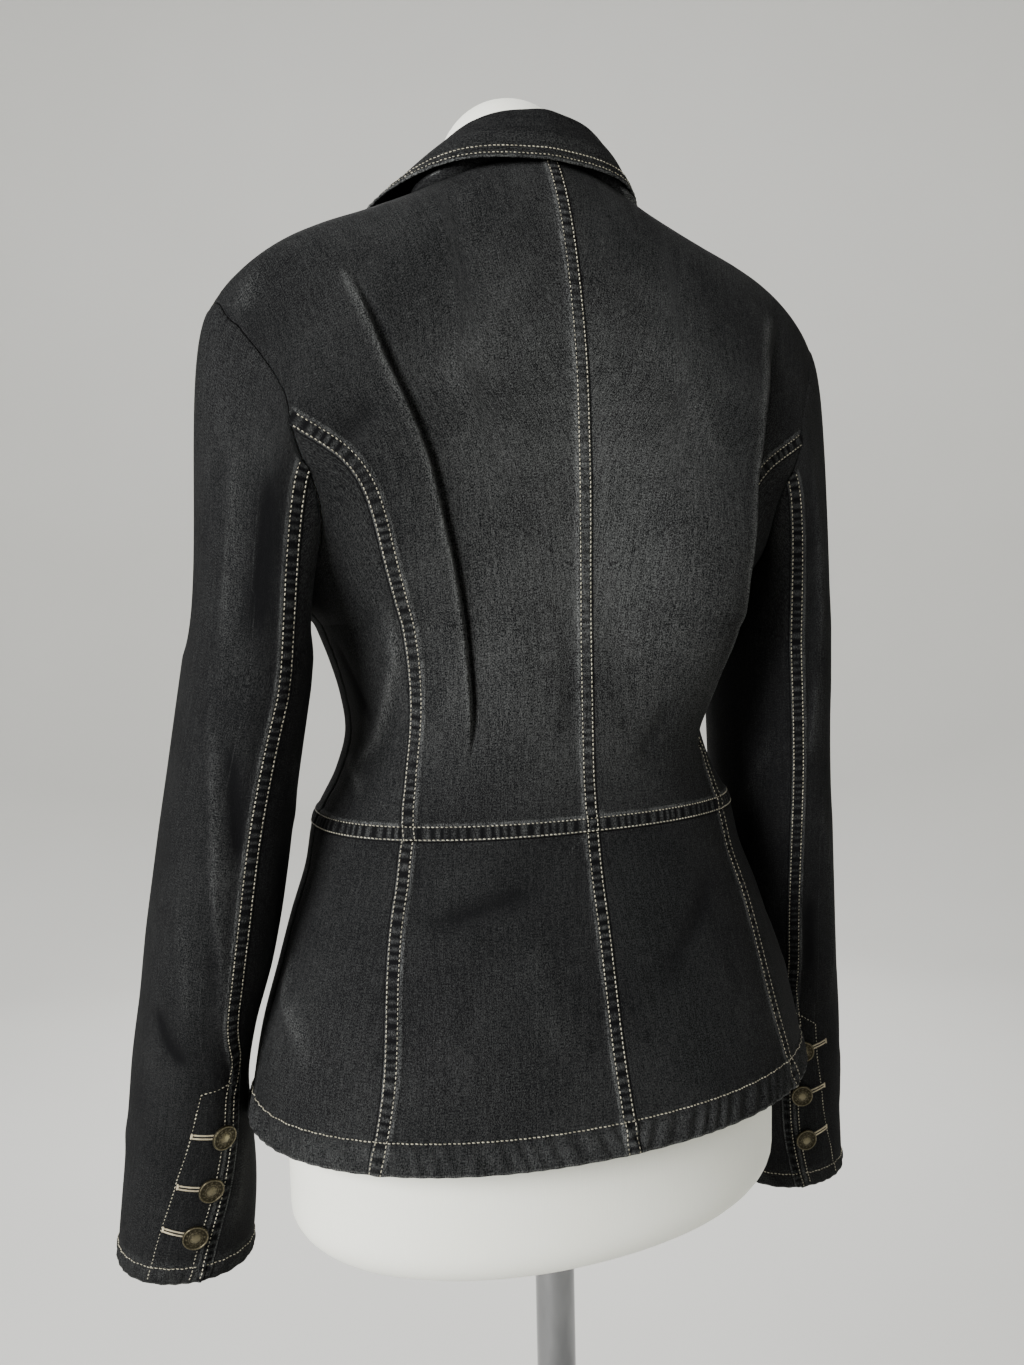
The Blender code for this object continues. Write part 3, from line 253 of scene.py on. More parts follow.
class Line:
    """A line on a surface, cut into short even steps."""

    SPACING = 1.2 * MM
    # Points further off in depth than this count as past the line
    DEEP = 3.5 * MM
    # Points measured at once, to keep memory low
    BATCH = 4000

    def __init__(self, surface: Surface, places: Array, reach: float = 0.0) -> None:
        """Lay the line.

        Args:
            surface: What the line lies on.
            places: The line's places, in order.
            reach: How far the line goes on past its start.
        """
        places = np.array(places, float)
        if reach:
            points = surface.plain(places[:2])
            way = unit(points[0] - points[1])
            places = np.concatenate([surface.settle((points[0] + way * reach)[None], places[:1]), places])
        run = path_run(surface.plain(places))
        self.length = float(run[-1])
        self.along = np.linspace(0, self.length, max(int(self.length / self.SPACING), 4) + 1)
        self.places = straight(self.along, run, places)
        self.points = surface.plain(self.places)
        self.normals = surface.normal(self.places)
        self.ways = unit(np.gradient(self.points, axis=0))
        self.across = unit(np.cross(self.normals, self.ways))
        self.surface = surface

    def near(self, points: Array) -> tuple[Array, Array, Array]:
        """Measure points against the line.

        Args:
            points: Points on or near the surface.

        Returns:
            For each point, how far across the line it lies, how far along, and how far past the ends.
        """
        flat = points.reshape(-1, 3)
        own = (self.points ** 2).sum(1)
        nearest = np.concatenate([np.argmin(own - 2 * flat[start:start + self.BATCH] @ self.points.T, axis=1)
                                  for start in range(0, len(flat), self.BATCH)])
        away = flat - self.points[nearest]
        across, run, deep = [(away * way[nearest]).sum(1) for way in (self.across, self.ways, self.normals)]
        at_end = (nearest == 0) | (nearest == len(self.points) - 1)
        past = np.maximum(np.where(at_end, np.abs(run), 0.0), np.abs(deep) - self.DEEP)
        return tuple(values.reshape(points.shape[:-1]) for values in (across, self.along[nearest] + run,
                                                                      past))

    def row(self, offset: Array, start: float, stop: float) -> Array:
        """Places of a line beside this one.

        Args:
            offset: Distance across at each step.
            start: Length left out at the start.
            stop: Length left out at the end.

        Returns:
            Places, in order.
        """
        kept = (self.along >= start) & (self.along <= self.length - stop)
        target = self.points[kept] + self.across[kept] * offset[kept, None]
        return self.surface.settle(target, self.places[kept])


def swell(along: Array, pitch: float) -> Array:
    """Uneven puckers along a seam, from -1 to 1."""
    turn = 2 * math.pi * along / pitch
    return np.sin(turn + SWELL_LAG * np.sin(turn / SWELL_LENGTH))


@dataclass(frozen=True)
class Sewing:
    """How a seam or an edge is sewn."""

    rows: tuple[float, ...] = (-3.5 * MM, 3.5 * MM)
    strip: float = 4.6 * MM
    height: float = 1.1 * MM
    press: float = 0.40 * MM
    pucker: float = 0.45 * MM
    pitch: float = 6.3 * MM
    slant: float = 0.0

    # Half width of the dent under a row, and of the slopes beside a seam
    DENT = 0.8 * MM
    SLOPE = 5.0 * MM

    def relief(self, lie: Lie, beyond: Array, along: Array, rows: Array, strip: Array) -> Array:
        """Lift of the cloth at a seam.

        Args:
            lie: How the panel lies there.
            beyond: Distance past the seam; negative on the panel's own side.
            along: Distance along the seam.
            rows: Offsets of the stitch rows at each point, as the last axis.
            strip: Width past the seam of the upper panel at each point.

        Returns:
            Lift in metres.
        """
        waves = swell(along + self.slant * beyond, self.pitch)
        if lie is Lie.PLAIN:
            return -0.7 * MM * hump(beyond, 1.6 * MM) + 0.16 * MM * waves * hump(beyond, 6 * MM)
        if lie is Lie.UNDER:
            sunk = -0.5 * MM * ease((beyond + strip + 0.1 * MM) / (0.6 * MM))
            return sunk + 0.12 * MM * waves * hump(beyond + strip, 7 * MM)
        pressed = -self.press * hump(beyond[..., None] - rows, self.DENT).sum(-1)
        if lie is Lie.ROW:
            return pressed + 0.10 * MM * waves * hump(beyond, self.SLOPE)
        if lie is Lie.EDGE:
            width = -rows.min(-1)
            inside = ease((beyond + width + 1.2 * MM) / (1.5 * MM))
            lifted = self.height * inside * ease(-beyond / (1.1 * MM))
            middle = hump((beyond + 0.45 * width) / width, 0.62)
            sunk = 0.3 * MM * (1 - inside) * hump(beyond + width, self.SLOPE)
            return lifted + pressed + self.pucker * waves * middle - sunk
        raised = self.height * ease((beyond + strip + 3.2 * MM) / (3.0 * MM))
        rolled = -0.55 * MM * ease((beyond - strip + self.DENT) / self.DENT) ** 2
        between = hump((beyond - rows.mean(-1)) / (np.ptp(rows, axis=-1) / 2 + 1e-9), 0.9)
        return raised + rolled + pressed + self.pucker * waves * between


FELLED = Sewing()
WAIST_SEWING = Sewing(rows=(-4.0 * MM, 4.0 * MM), strip=5.1 * MM, pucker=0.26 * MM, pitch=5.0 * MM)
PLAIN_SEAM = Sewing(rows=(), strip=0.0, pucker=0.1 * MM, pitch=11 * MM)
HEM_SEWING = Sewing(rows=(-19.5 * MM,), strip=0.0, height=1.0 * MM, pucker=1.15 * MM, pitch=12.5 * MM,
                    slant=0.45)
CUFF_SEWING = Sewing(rows=(-12.5 * MM,), strip=0.0, height=0.8 * MM, pucker=0.7 * MM, pitch=10 * MM,
                     slant=0.35)
EDGE_SEWING = Sewing(rows=(-2.4 * MM, -8.0 * MM), strip=0.0, height=0.5 * MM, pucker=0.12 * MM, pitch=8 * MM)
ONE_ROW = Sewing(rows=(0.0,), strip=0.0, press=0.35 * MM)
SHOULDER_SEWING = Sewing(rows=(-2.2 * MM, -8.6 * MM), strip=0.0)
GORGE_SEWING = Sewing(rows=(-2.4 * MM,), strip=0.0, height=0.3 * MM, pucker=0.1 * MM, pitch=8 * MM)
COLLAR_SEWING = Sewing(rows=(-3.0 * MM, -7.4 * MM), strip=0.0, height=0.8 * MM, pucker=0.3 * MM, pitch=7 * MM)


@dataclass
class Seam:
    """A line with its sewing."""

    line: Line
    sewing: Sewing
    rows: Array | None = None
    strips: Array | None = None

    def __post_init__(self) -> None:
        """Fill the offsets that stay the same all along."""
        count = len(self.line.along)
        if self.rows is None:
            self.rows = np.tile(np.array(self.sewing.rows or (0.0,), float), (count, 1))
        if self.strips is None:
            self.strips = np.full(count, self.sewing.strip)

    def read(self, along: Array) -> tuple[Array, Array]:
        """Row offsets and strip width at distances along the seam."""
        return straight(along, self.line.along, self.rows), np.interp(along, self.line.along, self.strips)


@dataclass
class Crease:
    """A soft ridge or trough along a line."""

    line: Line
    lift: float
    low_width: float
    high_width: float
    power: float
    # Paleness of the ridge as wear with a painted highlight; below 0, painted shade in the trough
    rub: float

    # Share of the length over which each end fades, and how far past its line a crease still shows
    END = 0.3
    PAST = 8 * MM

    @classmethod
    def laid(cls, surface: Surface, places: Rows, lift: float, low_width: float, high_width: float,
             power: float,
             rub: float) -> Crease:
        """Lay a crease through a few places.

        Args:
            surface: What it lies on.
            places: Where it goes, in order.
            lift: Height in millimetres, negative for a trough.
            low_width: Width on its near side in millimetres.
            high_width: Width on its far side in millimetres.
            power: How sharp its foot is; 2 is a bell.
            rub: How pale its ridge is worn and painted lit; below 0, how dark its trough is painted as shade.

        Returns:
            The crease.
        """
        return cls(Line(surface, fitted(places, 80)), lift * MM, low_width * MM, high_width * MM, power, rub)

    def shape(self, points: Array) -> Array:
        """Share of the crease's lift at points.

        Args:
            points: Points on the bare surface.

        Returns:
            Shares from 0 to 1.
        """
        across, along, past = self.line.near(points)
        width = np.where(across < 0, self.low_width, self.high_width)
        form = np.exp(-(np.abs(across) / width) ** self.power)
        end = self.END * self.line.length
        return form * ease(along / end) * ease((self.line.length - along) / end) * hump(past, self.PAST)


def patch(bottom: Reader, top: Reader, left: Reader, right: Reader, rows: Array, columns: Array) -> Array:
    """Grid of places between four edge curves.

    Args:
        bottom: Lower edge, read at shares from 0 to 1.
        top: Upper edge.
        left: First edge at the sides.
        right: Second edge at the sides.
        rows: Shares of the rows.
        columns: Shares of the columns.

    Returns:
        Places, rows by columns.
    """
    reach = 3
    s, t = columns[None, :, None], rows[:, None, None]
    low, high = bottom(columns)[None], top(columns)[None]
    near, far = left(rows)[:, None], right(rows)[:, None]
    ends = np.array([0.0, 1.0])
    low_ends, high_ends = bottom(ends), top(ends)
    low_line = low_ends[0] * (1 - s) + low_ends[1] * s
    high_line = high_ends[0] * (1 - s) + high_ends[1] * s
    return near * (1 - s) + far * s + (low - low_line) * (1 - t) ** reach + (high - high_line) * t ** reach


def spread(count: int, spots: Rows = ()) -> Array:
    """Shares from 0 to 1 that lie closer together at some spots.

    Args:
        count: Number of steps.
        spots: (share, how many times closer, half width) for each spot.

    Returns:
        count + 1 shares.
    """
    fine = np.linspace(0, 1, 4001)
    density = np.ones_like(fine)
    for centre, times, width in spots:
        density += (times - 1) * np.exp(-((fine - centre) / width) ** 2)
    run = np.concatenate([[0], np.cumsum((density[1:] + density[:-1]) / 2)])
    return np.interp(np.linspace(0, 1, count + 1), run / run[-1], fine)


@dataclass
class TorsoForm(Surface):
    """The torso that bodice, peplum and lapels lie on.

    A place is (turn, rise): turn is the angle round the body, 0 at the centre back and positive on the
    wearer's left. Up to the chest, rise is the height; above it, it grows by 1 up to the shoulder line.
    """

    hem: float = 0.846
    waist: float = 1.044
    chest: float = 1.175
    middle: float = -0.028
    # How near the chest the two halves' normals are blended, as a rise
    chest_blend: float = 0.06
    rounding_back: float = 3.0
    rounding_front: float = 2.1
    body_rings: Rows = (
        # height, half width, centre, back, front, squareness
        (0.700, 0.238, 0.010, 0.168, 0.150, 2.05), (0.846, 0.2075, 0.006, 0.143, 0.128, 2.1),
        (0.910, 0.1945, 0.004, 0.125, 0.123, 2.2), (0.945, 0.1835, 0.002, 0.119, 0.117, 2.2),
        (0.980, 0.1725, 0.000, 0.113, 0.112, 2.2), (1.010, 0.1615, -0.003, 0.108, 0.106, 2.2),
        (1.044, 0.1530, -0.006, 0.105, 0.102, 2.25), (1.075, 0.1355, -0.008, 0.1035, 0.099, 2.3),
        (1.100, 0.1275, -0.008, 0.103, 0.101, 2.35), (1.125, 0.1295, -0.008, 0.103, 0.106, 2.4),
        (1.150, 0.1360, -0.008, 0.103, 0.1125, 2.45), (1.175, 0.1450, -0.008, 0.103, 0.1185, 2.5))
    upper_rings: Rows = (
        # climb, half width, centre, back, front, squareness
        (0.00, 0.145, -0.008, 0.103, 0.1185, 2.5), (0.12, 0.170, -0.008, 0.104, 0.1235, 2.7),
        (0.33, 0.202, -0.008, 0.106, 0.1195, 3.2), (0.50, 0.224, -0.008, 0.107, 0.110, 3.6),
        (0.75, 0.232, -0.008, 0.104, 0.096, 3.3), (1.00, 0.238, -0.008, 0.100, 0.090, 3.0))
    shoulder_line: Rows = (
        # across, height, depth
        (0.000, 1.495, 0.012), (0.040, 1.479, 0.014), (0.080, 1.457, 0.018), (0.120, 1.439, 0.021),
        (0.150, 1.427, 0.023), (0.170, 1.417, 0.025), (0.185, 1.407, 0.027), (0.200, 1.394, 0.029),
        (0.210, 1.383, 0.030), (0.218, 1.371, 0.031), (0.226, 1.357, 0.032))
    fold_left: Rows = (
        # height, across
        (1.400, 0.1500), (1.368, 0.1370), (1.336, 0.1275), (1.309, 0.1165), (1.278, 0.1045), (1.244, 0.0955),
        (1.209, 0.0870), (1.174, 0.0800), (1.141, 0.0768), (1.100, 0.0760))
    fold_right: Rows = (
        # height, across
        (1.410, 0.1720), (1.385, 0.1625), (1.346, 0.1465), (1.306, 0.1345), (1.274, 0.1270), (1.241, 0.1160),
        (1.208, 0.1090), (1.185, 0.1040), (1.168, 0.1005), (1.140, 0.0970), (1.110, 0.0970), (1.090, 0.0990),
        (1.070, 0.1020))
    right_lift: Rows = (
        # height, how far the right fold's crest stands out
        (1.000, 0.0), (1.070, 0.0), (1.090, 0.002), (1.110, 0.009), (1.140, 0.019), (1.168, 0.0265),
        (1.208, 0.0270), (1.241, 0.0230), (1.274, 0.0120), (1.306, 0.0090), (1.346, 0.0055), (1.385, 0.0015),
        (1.420, 0.0))
    # Heights where each fold starts, is full, is full still and ends
    left_range: tuple[float, ...] = (1.085, 1.135, 1.330, 1.405)
    right_range: tuple[float, ...] = (1.075, 1.115, 1.215, 1.425)
    left_lift: float = 0.0030
    # Of each fold, in metres: trough depth, steep side, far slope, near slope
    left_form: tuple[float, ...] = (0.0034, 0.0022, 0.0300, 0.0220)
    right_form: tuple[float, ...] = (0.0080, 0.0060, 0.0340, 0.0760)
    # Metres across a fold for one radian of turn
    fold_reach: float = 0.12
    # Depth and width of the groove at a fold's foot
    groove: tuple[float, float] = (0.0046, 0.0015)
    # Painted highlight along a fold's crest: its paleness, its shift and its width
    crest_highlight: tuple[float, float, float] = (0.22, 0.0006, 0.0016)
    # Distance from the middle where the folds' heights become rises
    fold_across: float = 0.12

    def __post_init__(self) -> None:
        """Make the tables' readers."""
        self.top = self.chest + 1.0
        self.body_ring = smooth_table(self.body_rings)
        self.upper_ring = smooth_table(self.upper_rings)
        self.shoulder = smooth_table(self.shoulder_line)
        self.crest_left = self._fold_path(self.fold_left, 1)
        self.crest_right = self._fold_path(self.fold_right, -1)
        self.left_rises = [self.place(self.fold_across, height)[1] for height in self.left_range]
        self.right_rises = [self.place(self.fold_across, height)[1] for height in self.right_range]
        self.right_crest = smooth_table([(self.place(self.fold_across, height)[1], lift)
                                         for height, lift in self.right_lift])

    def rounding(self, turn: Array) -> Array:
        """How square the way over the shoulder is."""
        back = ease((np.cos(turn) + 0.2) / 0.4)
        return self.rounding_front + (self.rounding_back - self.rounding_front) * back

    def plain(self, places: Array) -> Array:
        """Points of the torso without folds.

        Args:
            places: Where to read.

        Returns:
            The points.
        """
        turn, rise = places[..., 0], np.minimum(places[..., 1], self.top)
        way_up = np.clip(rise - self.chest, 0, 1)
        climb, shut = rounded(way_up * math.pi / 2, self.rounding(turn))
        upper = (rise > self.chest)[..., None]
        ring = np.where(upper, self.upper_ring(climb), self.body_ring(np.minimum(rise, self.chest)))
        half_width, centre, back, front, squareness = [ring[..., i] for i in range(5)]
        side, along = rounded(turn, squareness)
        x = half_width * side
        y = centre + np.where(along > 0, back, front) * along
        line = self.shoulder(np.abs(x))
        y = np.where(rise > self.chest, line[..., 1] + (y - line[..., 1]) * shut, y)
        z = np.where(rise > self.chest, self.chest + climb * (line[..., 0] - self.chest), rise)
        return np.stack([x, y + self.middle, z], -1)

    def normal(self, places: Array) -> Array:
        """Outward unit normals, also at the shoulder line.

        Args:
            places: Where to read.

        Returns:
            The normals.
        """
        kept = places.copy()
        kept[..., 1] = np.minimum(kept[..., 1], self.top - self.steps[1])
        normals = super().normal(kept)
        reach = self.chest_blend - np.abs(kept[..., 1] - self.chest)
        near = reach > 0
        if near.any():
            total = normals[near]
            for way in (-1.0, -0.5, 0.5, 1.0):
                moved = kept[near]
                moved[:, 1] += way * reach[near]
                total = total + super().normal(moved)
            normals[near] = unit(total)
        return normals

    def place(self, across: float, height: float, front: bool = False) -> tuple[float, float]:
        """Find a place.

        Args:
            across: Distance from the middle.
            height: Height above the floor.
            front: Whether it lies on the front.

        Returns:
            Turn and rise.
        """
        top = float(self.shoulder(abs(across))[0])
        if height <= self.chest:
            rise, ring = height, self.body_ring(height)
        else:
            power = self.rounding_front if front else self.rounding_back
            climb = min((height - self.chest) / (top - self.chest), 1.0)
            shut = max(1 - climb ** power, 0.0) ** (1 / power)
            rise = self.chest + math.atan2(climb, shut) / (math.pi / 2)
            ring = self.upper_ring(climb)
        half_width, squareness = float(ring[0]), float(ring[4])
        share = min(abs(across) / half_width, 1.0)
        turn = math.copysign(math.atan2(share, (1 - share ** squareness) ** (1 / squareness)), across)
        return (math.pi - turn if front else turn), rise

    def places(self, rows: Rows, front: bool = False) -> list[tuple[float, float]]:
        """Places of (height, across) rows."""
        return [self.place(across, height, front) for height, across in rows]

    def place_at_turn(self, turn: float, height: float, across: float) -> tuple[float, float]:
        """Place at a turn and a height, near a distance across.

        Args:
            turn: Angle round the body.
            height: Height above the floor.
            across: Distance from the middle, about.

        Returns:
            Turn and rise.
        """
        climb = (height - self.chest) / (float(self.shoulder(across)[0]) - self.chest)
        power = float(self.rounding(turn))
        return turn, self.chest + math.atan2(climb, (1 - climb ** power) ** (1 / power)) / (math.pi / 2)

    def _fold_path(self, rows: Rows, side: int) -> Reader:
        """Turn of a fold's crest at a rise."""
        return smooth_table([(rise, side * turn) for turn, rise in self.places(rows)])

    def _fold(self, away: Array, form: tuple[float, ...], crest: Array, share: Array) -> Array:
        """Height of a fold across its crest; away is positive on its trough's side.

        Args:
            away: Distance from the crest.
            form: Trough depth, steep side, far slope, near slope.
            crest: Height of the crest.
            share: How full the fold is.

        Returns:
            Height in metres.
        """
        trough, steep, far, near = form
        step = ease(away / steep)
        high = crest * np.where(away < 0, ease(1 + away / near), 1)
        low = trough * share * ease(1 - np.maximum(away - steep, 0) / far)
        depth, width = self.groove
        return high * (1 - step) - low * step - depth * share * hump(away - steep * 0.95, width)

    def folds(self, places: Array) -> Array:
        """Height of the two deep folds.

        Args:
            places: Where to read.

        Returns:
            Height in metres.
        """
        turn, rise = places[..., 0], places[..., 1]
        left, right = [
            ease((rise - low_end) / (low_full - low_end)) * ease((high_end - rise) / (high_end - high_full))
            for low_end, low_full, high_full, high_end in (self.left_rises, self.right_rises)]
        left_away = (self.crest_left(rise)[..., 0] - turn) * self.fold_reach
        right_away = (self.crest_right(rise)[..., 0] - turn) * self.fold_reach
        right_lift = np.maximum(self.right_crest(rise)[..., 0], 0)
        return (self._fold(left_away, self.left_form, self.left_lift * left, left)
                + self._fold(right_away, self.right_form, right_lift, right))

    def height(self, places: Array) -> Array:
        """Folds and creases together."""
        return self.folds(places) + super().height(places)

    def wear_light_and_shade(self, places: Array) -> Array:
        """Paleness where creases rub, with painted highlights on their ridges and on the lit crests of the
        deep folds, and painted shade in the creases' troughs.

        Args:
            places: Where to read.

        Returns:
            Paleness.
        """
        # Crease wear with painted highlight and painted shade, then a painted highlight on each deep fold's
        # crest
        rubbed, rise = super().wear_light_and_shade(places), places[..., 1]
        strength, shift, width = self.crest_highlight
        inside = ease((rise - self.left_rises[0]) / 0.05) * ease((self.left_rises[3] - rise) / 0.08)
        # Painted highlight along the crest of each deep fold
        for crest in (self.crest_left, self.crest_right):
            away = (crest(rise)[..., 0] - places[..., 0]) * self.fold_reach
            rubbed = rubbed + strength * hump(away + shift, width) * inside
        return rubbed

    def fade(self, places: Array) -> Array:
        """The washed zones, strongest over the centre back, and a painted highlight over the shoulders.

        Args:
            places: Where to read.

        Returns:
            Paleness from 0 to 1.
        """
        points = self.plain(places)
        x, y, z = points[..., 0], points[..., 1], points[..., 2]
        back = ease((y - self.middle) / 0.06)
        zone = hump(x + 0.004, 0.105) * ease((z - 1.02) / 0.14) * ease((1.45 - z) / 0.13)
        # Wash over the centre back and low down; the term above 1.36 m is a painted highlight over the
        # shoulders
        return 0.13 + 0.66 * zone * back + 0.14 * ease((z - 1.36) / 0.08) + 0.06 * ease((1.0 - z) / 0.1)

    def cloth(self, places: Array) -> Array:
        """Points of the cloth with its folds and creases."""
        return self.plain(places) + self.normal(places) * self.height(places)[..., None]


class Curve:
    """Curve of torso places, read at a share from 0 to 1."""

    def __init__(self, torso: TorsoForm, places: Rows) -> None:
        """Lay the curve through places, spaced by their distances."""
        run = path_run(torso.plain(np.array(places, float)))
        self.read = smooth_table(np.column_stack([run / run[-1], places]))

    def __call__(self, share: Array) -> Array:
        """Places at shares."""
        return self.read(np.asarray(share, float))


def joined(first: Reader, second: Reader, share: float) -> Reader:
    """Join two curves at a share.

    Args:
        first: The curve up to the share.
        second: The curve after it.
        share: Where they meet.

    Returns:
        One curve, read from 0 to 1.
    """

    def read(t: Array) -> Array:
        """Read whichever curve holds the share.

        Args:
            t: Share of the way.

        Returns:
            Places.
        """
        t = np.asarray(t, float)
        low, high = first(np.minimum(t / share, 1)), second(np.clip((t - share) / (1 - share), 0, 1))
        return np.where((t <= share)[..., None], low, high)

    return read


def backwards(curve: Reader) -> Reader:
    """The same curve, read from its other end."""
    return lambda share: curve(1 - np.asarray(share, float))


def level(start: float, end: float, rise: float) -> Reader:
    """Curve at one rise between two turns."""
    return lambda share: np.stack([start + (end - start) * np.asarray(share, float),
                                   np.full(np.shape(share), rise)], -1)


def mirrored(places: Array, side: Side) -> Array:
    """Places of the left half moved to a side.

    Args:
        places: Places of the left half.
        side: Where they go.

    Returns:
        The moved places.
    """
    places = np.array(places, float)
    places[..., 0] *= side.value
    return places


@dataclass
class Cut:
    """Seams and edges of the pattern on the left half."""

    torso: TorsoForm
    back_princess: Rows = (
        # height, across
        (0.846, 0.1530), (0.900, 0.1400), (0.960, 0.1318), (1.000, 0.1235), (1.044, 0.1140), (1.071, 0.1097),
        (1.098, 0.1053), (1.125, 0.1044), (1.153, 0.1068), (1.175, 0.1105), (1.199, 0.1189), (1.2226, 0.1262),
        (1.243, 0.1321), (1.266, 0.1420), (1.279, 0.1530), (1.288, 0.1655), (1.299, 0.1825))
    armhole_back: Rows = (
        (1.2990, 0.1825), (1.3120, 0.1845), (1.3240, 0.1890), (1.3380, 0.1962), (1.3550, 0.2062),
        (1.3640, 0.2125))
    armhole_low_back: Rows = (
        (1.2990, 0.1825), (1.2880, 0.1805), (1.2770, 0.1765), (1.2660, 0.1710), (1.2550, 0.1665),
        (1.2420, 0.1635), (1.2300, 0.1625))
    # Share, height: 0 at the back's low end, 1 at the side seam, 2 at the front's low end
    underarm: Rows = ((0.35, 1.2080), (0.65, 1.1930), (1.00, 1.1850), (1.35, 1.1900), (1.70, 1.2040))
    armhole_low_front: Rows = ((1.2230, 0.1610), (1.2400, 0.1610), (1.2620, 0.1635), (1.2850, 0.1690))
    front_princess: Rows = (
        (0.846, 0.1480), (0.900, 0.1360), (0.960, 0.1220), (1.000, 0.1120), (1.044, 0.1000), (1.100, 0.0900),
        (1.150, 0.0950), (1.190, 0.1040), (1.225, 0.1180), (1.255, 0.1380), (1.275, 0.1570), (1.285, 0.1690))
    armhole_front: Rows = ((1.2850, 0.1690), (1.3000, 0.1730), (1.3200, 0.1835), (1.3450, 0.2000),
                           (1.3600, 0.2110))
    front_edge: Rows = (
        (0.846, 0.0620), (0.870, 0.0480), (0.920, 0.0250), (0.980, 0.0030), (1.044, -0.0150),
        (1.120, -0.0160),
        (1.210, -0.0160), (1.232, -0.0140))
    roll: Rows = (
        (1.232, -0.0140), (1.290, 0.0130), (1.350, 0.0380), (1.405, 0.0590), (1.436, 0.0710), (1.457, 0.0800))
    back_neckline: Rows = ((1.4850, 0.000), (1.4820, 0.020), (1.4735, 0.040), (1.4655, 0.058),
                           (1.4595, 0.072))
    centre_back: tuple[float, ...] = (1.044, 1.09, 1.13, 1.175, 1.23, 1.29, 1.35, 1.40, 1.44, 1.47, 1.485)
    side_turn: float = math.radians(92.0)
    neck_point: float = 0.080
    shoulder_tip: float = 0.2185
    break_height: float = 1.232
    neck_share: float = 0.54
    low_share: float = 12 / 18
    break_share: float = 8 / 18
    overlap_lift: float = 0.0024
    overlap_start: float = 0.066
    overlap_ramp: float = 0.030

    def __post_init__(self) -> None:
        """Lay the curves that several panels share."""
        torso = self.torso
        self.neck = torso.place(self.neck_point, 2.0)
        self.neck_front = (torso.place(self.neck_point, 2.0, True)[0], torso.top)
        self.back_tip = (torso.place(self.shoulder_tip, 2.0)[0], torso.top)
        self.front_tip = (torso.place(self.shoulder_tip, 2.0, True)[0], torso.top)
        self.back_neck = Curve(torso, torso.places(self.back_neckline) + [(self.neck[0], torso.top)])
        self.roll_line = Curve(torso, torso.places(self.roll[:-1], True) + [self.neck_front])
        back = torso.places(self.armhole_back) + [self.back_tip]
        front = torso.places(self.armhole_front, True) + [self.front_tip]
        low_back = torso.places(self.armhole_low_back)
        low_front = torso.places(self.armhole_low_front, True)
        turns = (low_back[-1][0], self.side_turn, low_front[0][0])
        under = [torso.place_at_turn(float(np.interp(share, (0, 1, 2), turns)), height,
                                     self.armhole_low_back[-1][1])
                 for share, height in self.underarm]
        middle = [share for share, _ in self.underarm].index(1.0)
        self.armhole = (Curve(torso, back[::-1]), Curve(torso, low_back + under[:middle + 1]),
                        Curve(torso, under[middle:] + low_front), Curve(torso, front))

    def seam(self, rows: Rows, low: float, high: float, front: bool = False) -> Curve:
        """Seam curve between two heights.

        Args:
            rows: (height, across) rows.
            low: Lower height.
            high: Upper height.
            front: Whether it lies on the front.

        Returns:
            The curve.
        """
        table = smooth_table(rows)
        heights = [low] + [row[0] for row in rows if low < row[0] < high] + [high]
        return Curve(self.torso,
                     [self.torso.place(float(table(height)[0]), height, front) for height in heights])

    def turn(self, rows: Rows, height: float, front: bool = False) -> float:
        """Turn of a seam at a height."""
        return self.torso.place(float(smooth_table(rows)(height)[0]), height, front)[0]

    def side_seam(self, low: float, high: float) -> Curve:
        """Side seam between two rises."""
        return Curve(self.torso, [(self.side_turn, low + (high - low) * step / 4) for step in range(5)])

    def overlap(self, places: Array) -> Array:
        """Lift of the wearer's right front, which laps over the left one."""
        x = self.torso.plain(places)[..., 0]
        return self.overlap_lift * ease((x + self.overlap_start) / self.overlap_ramp)


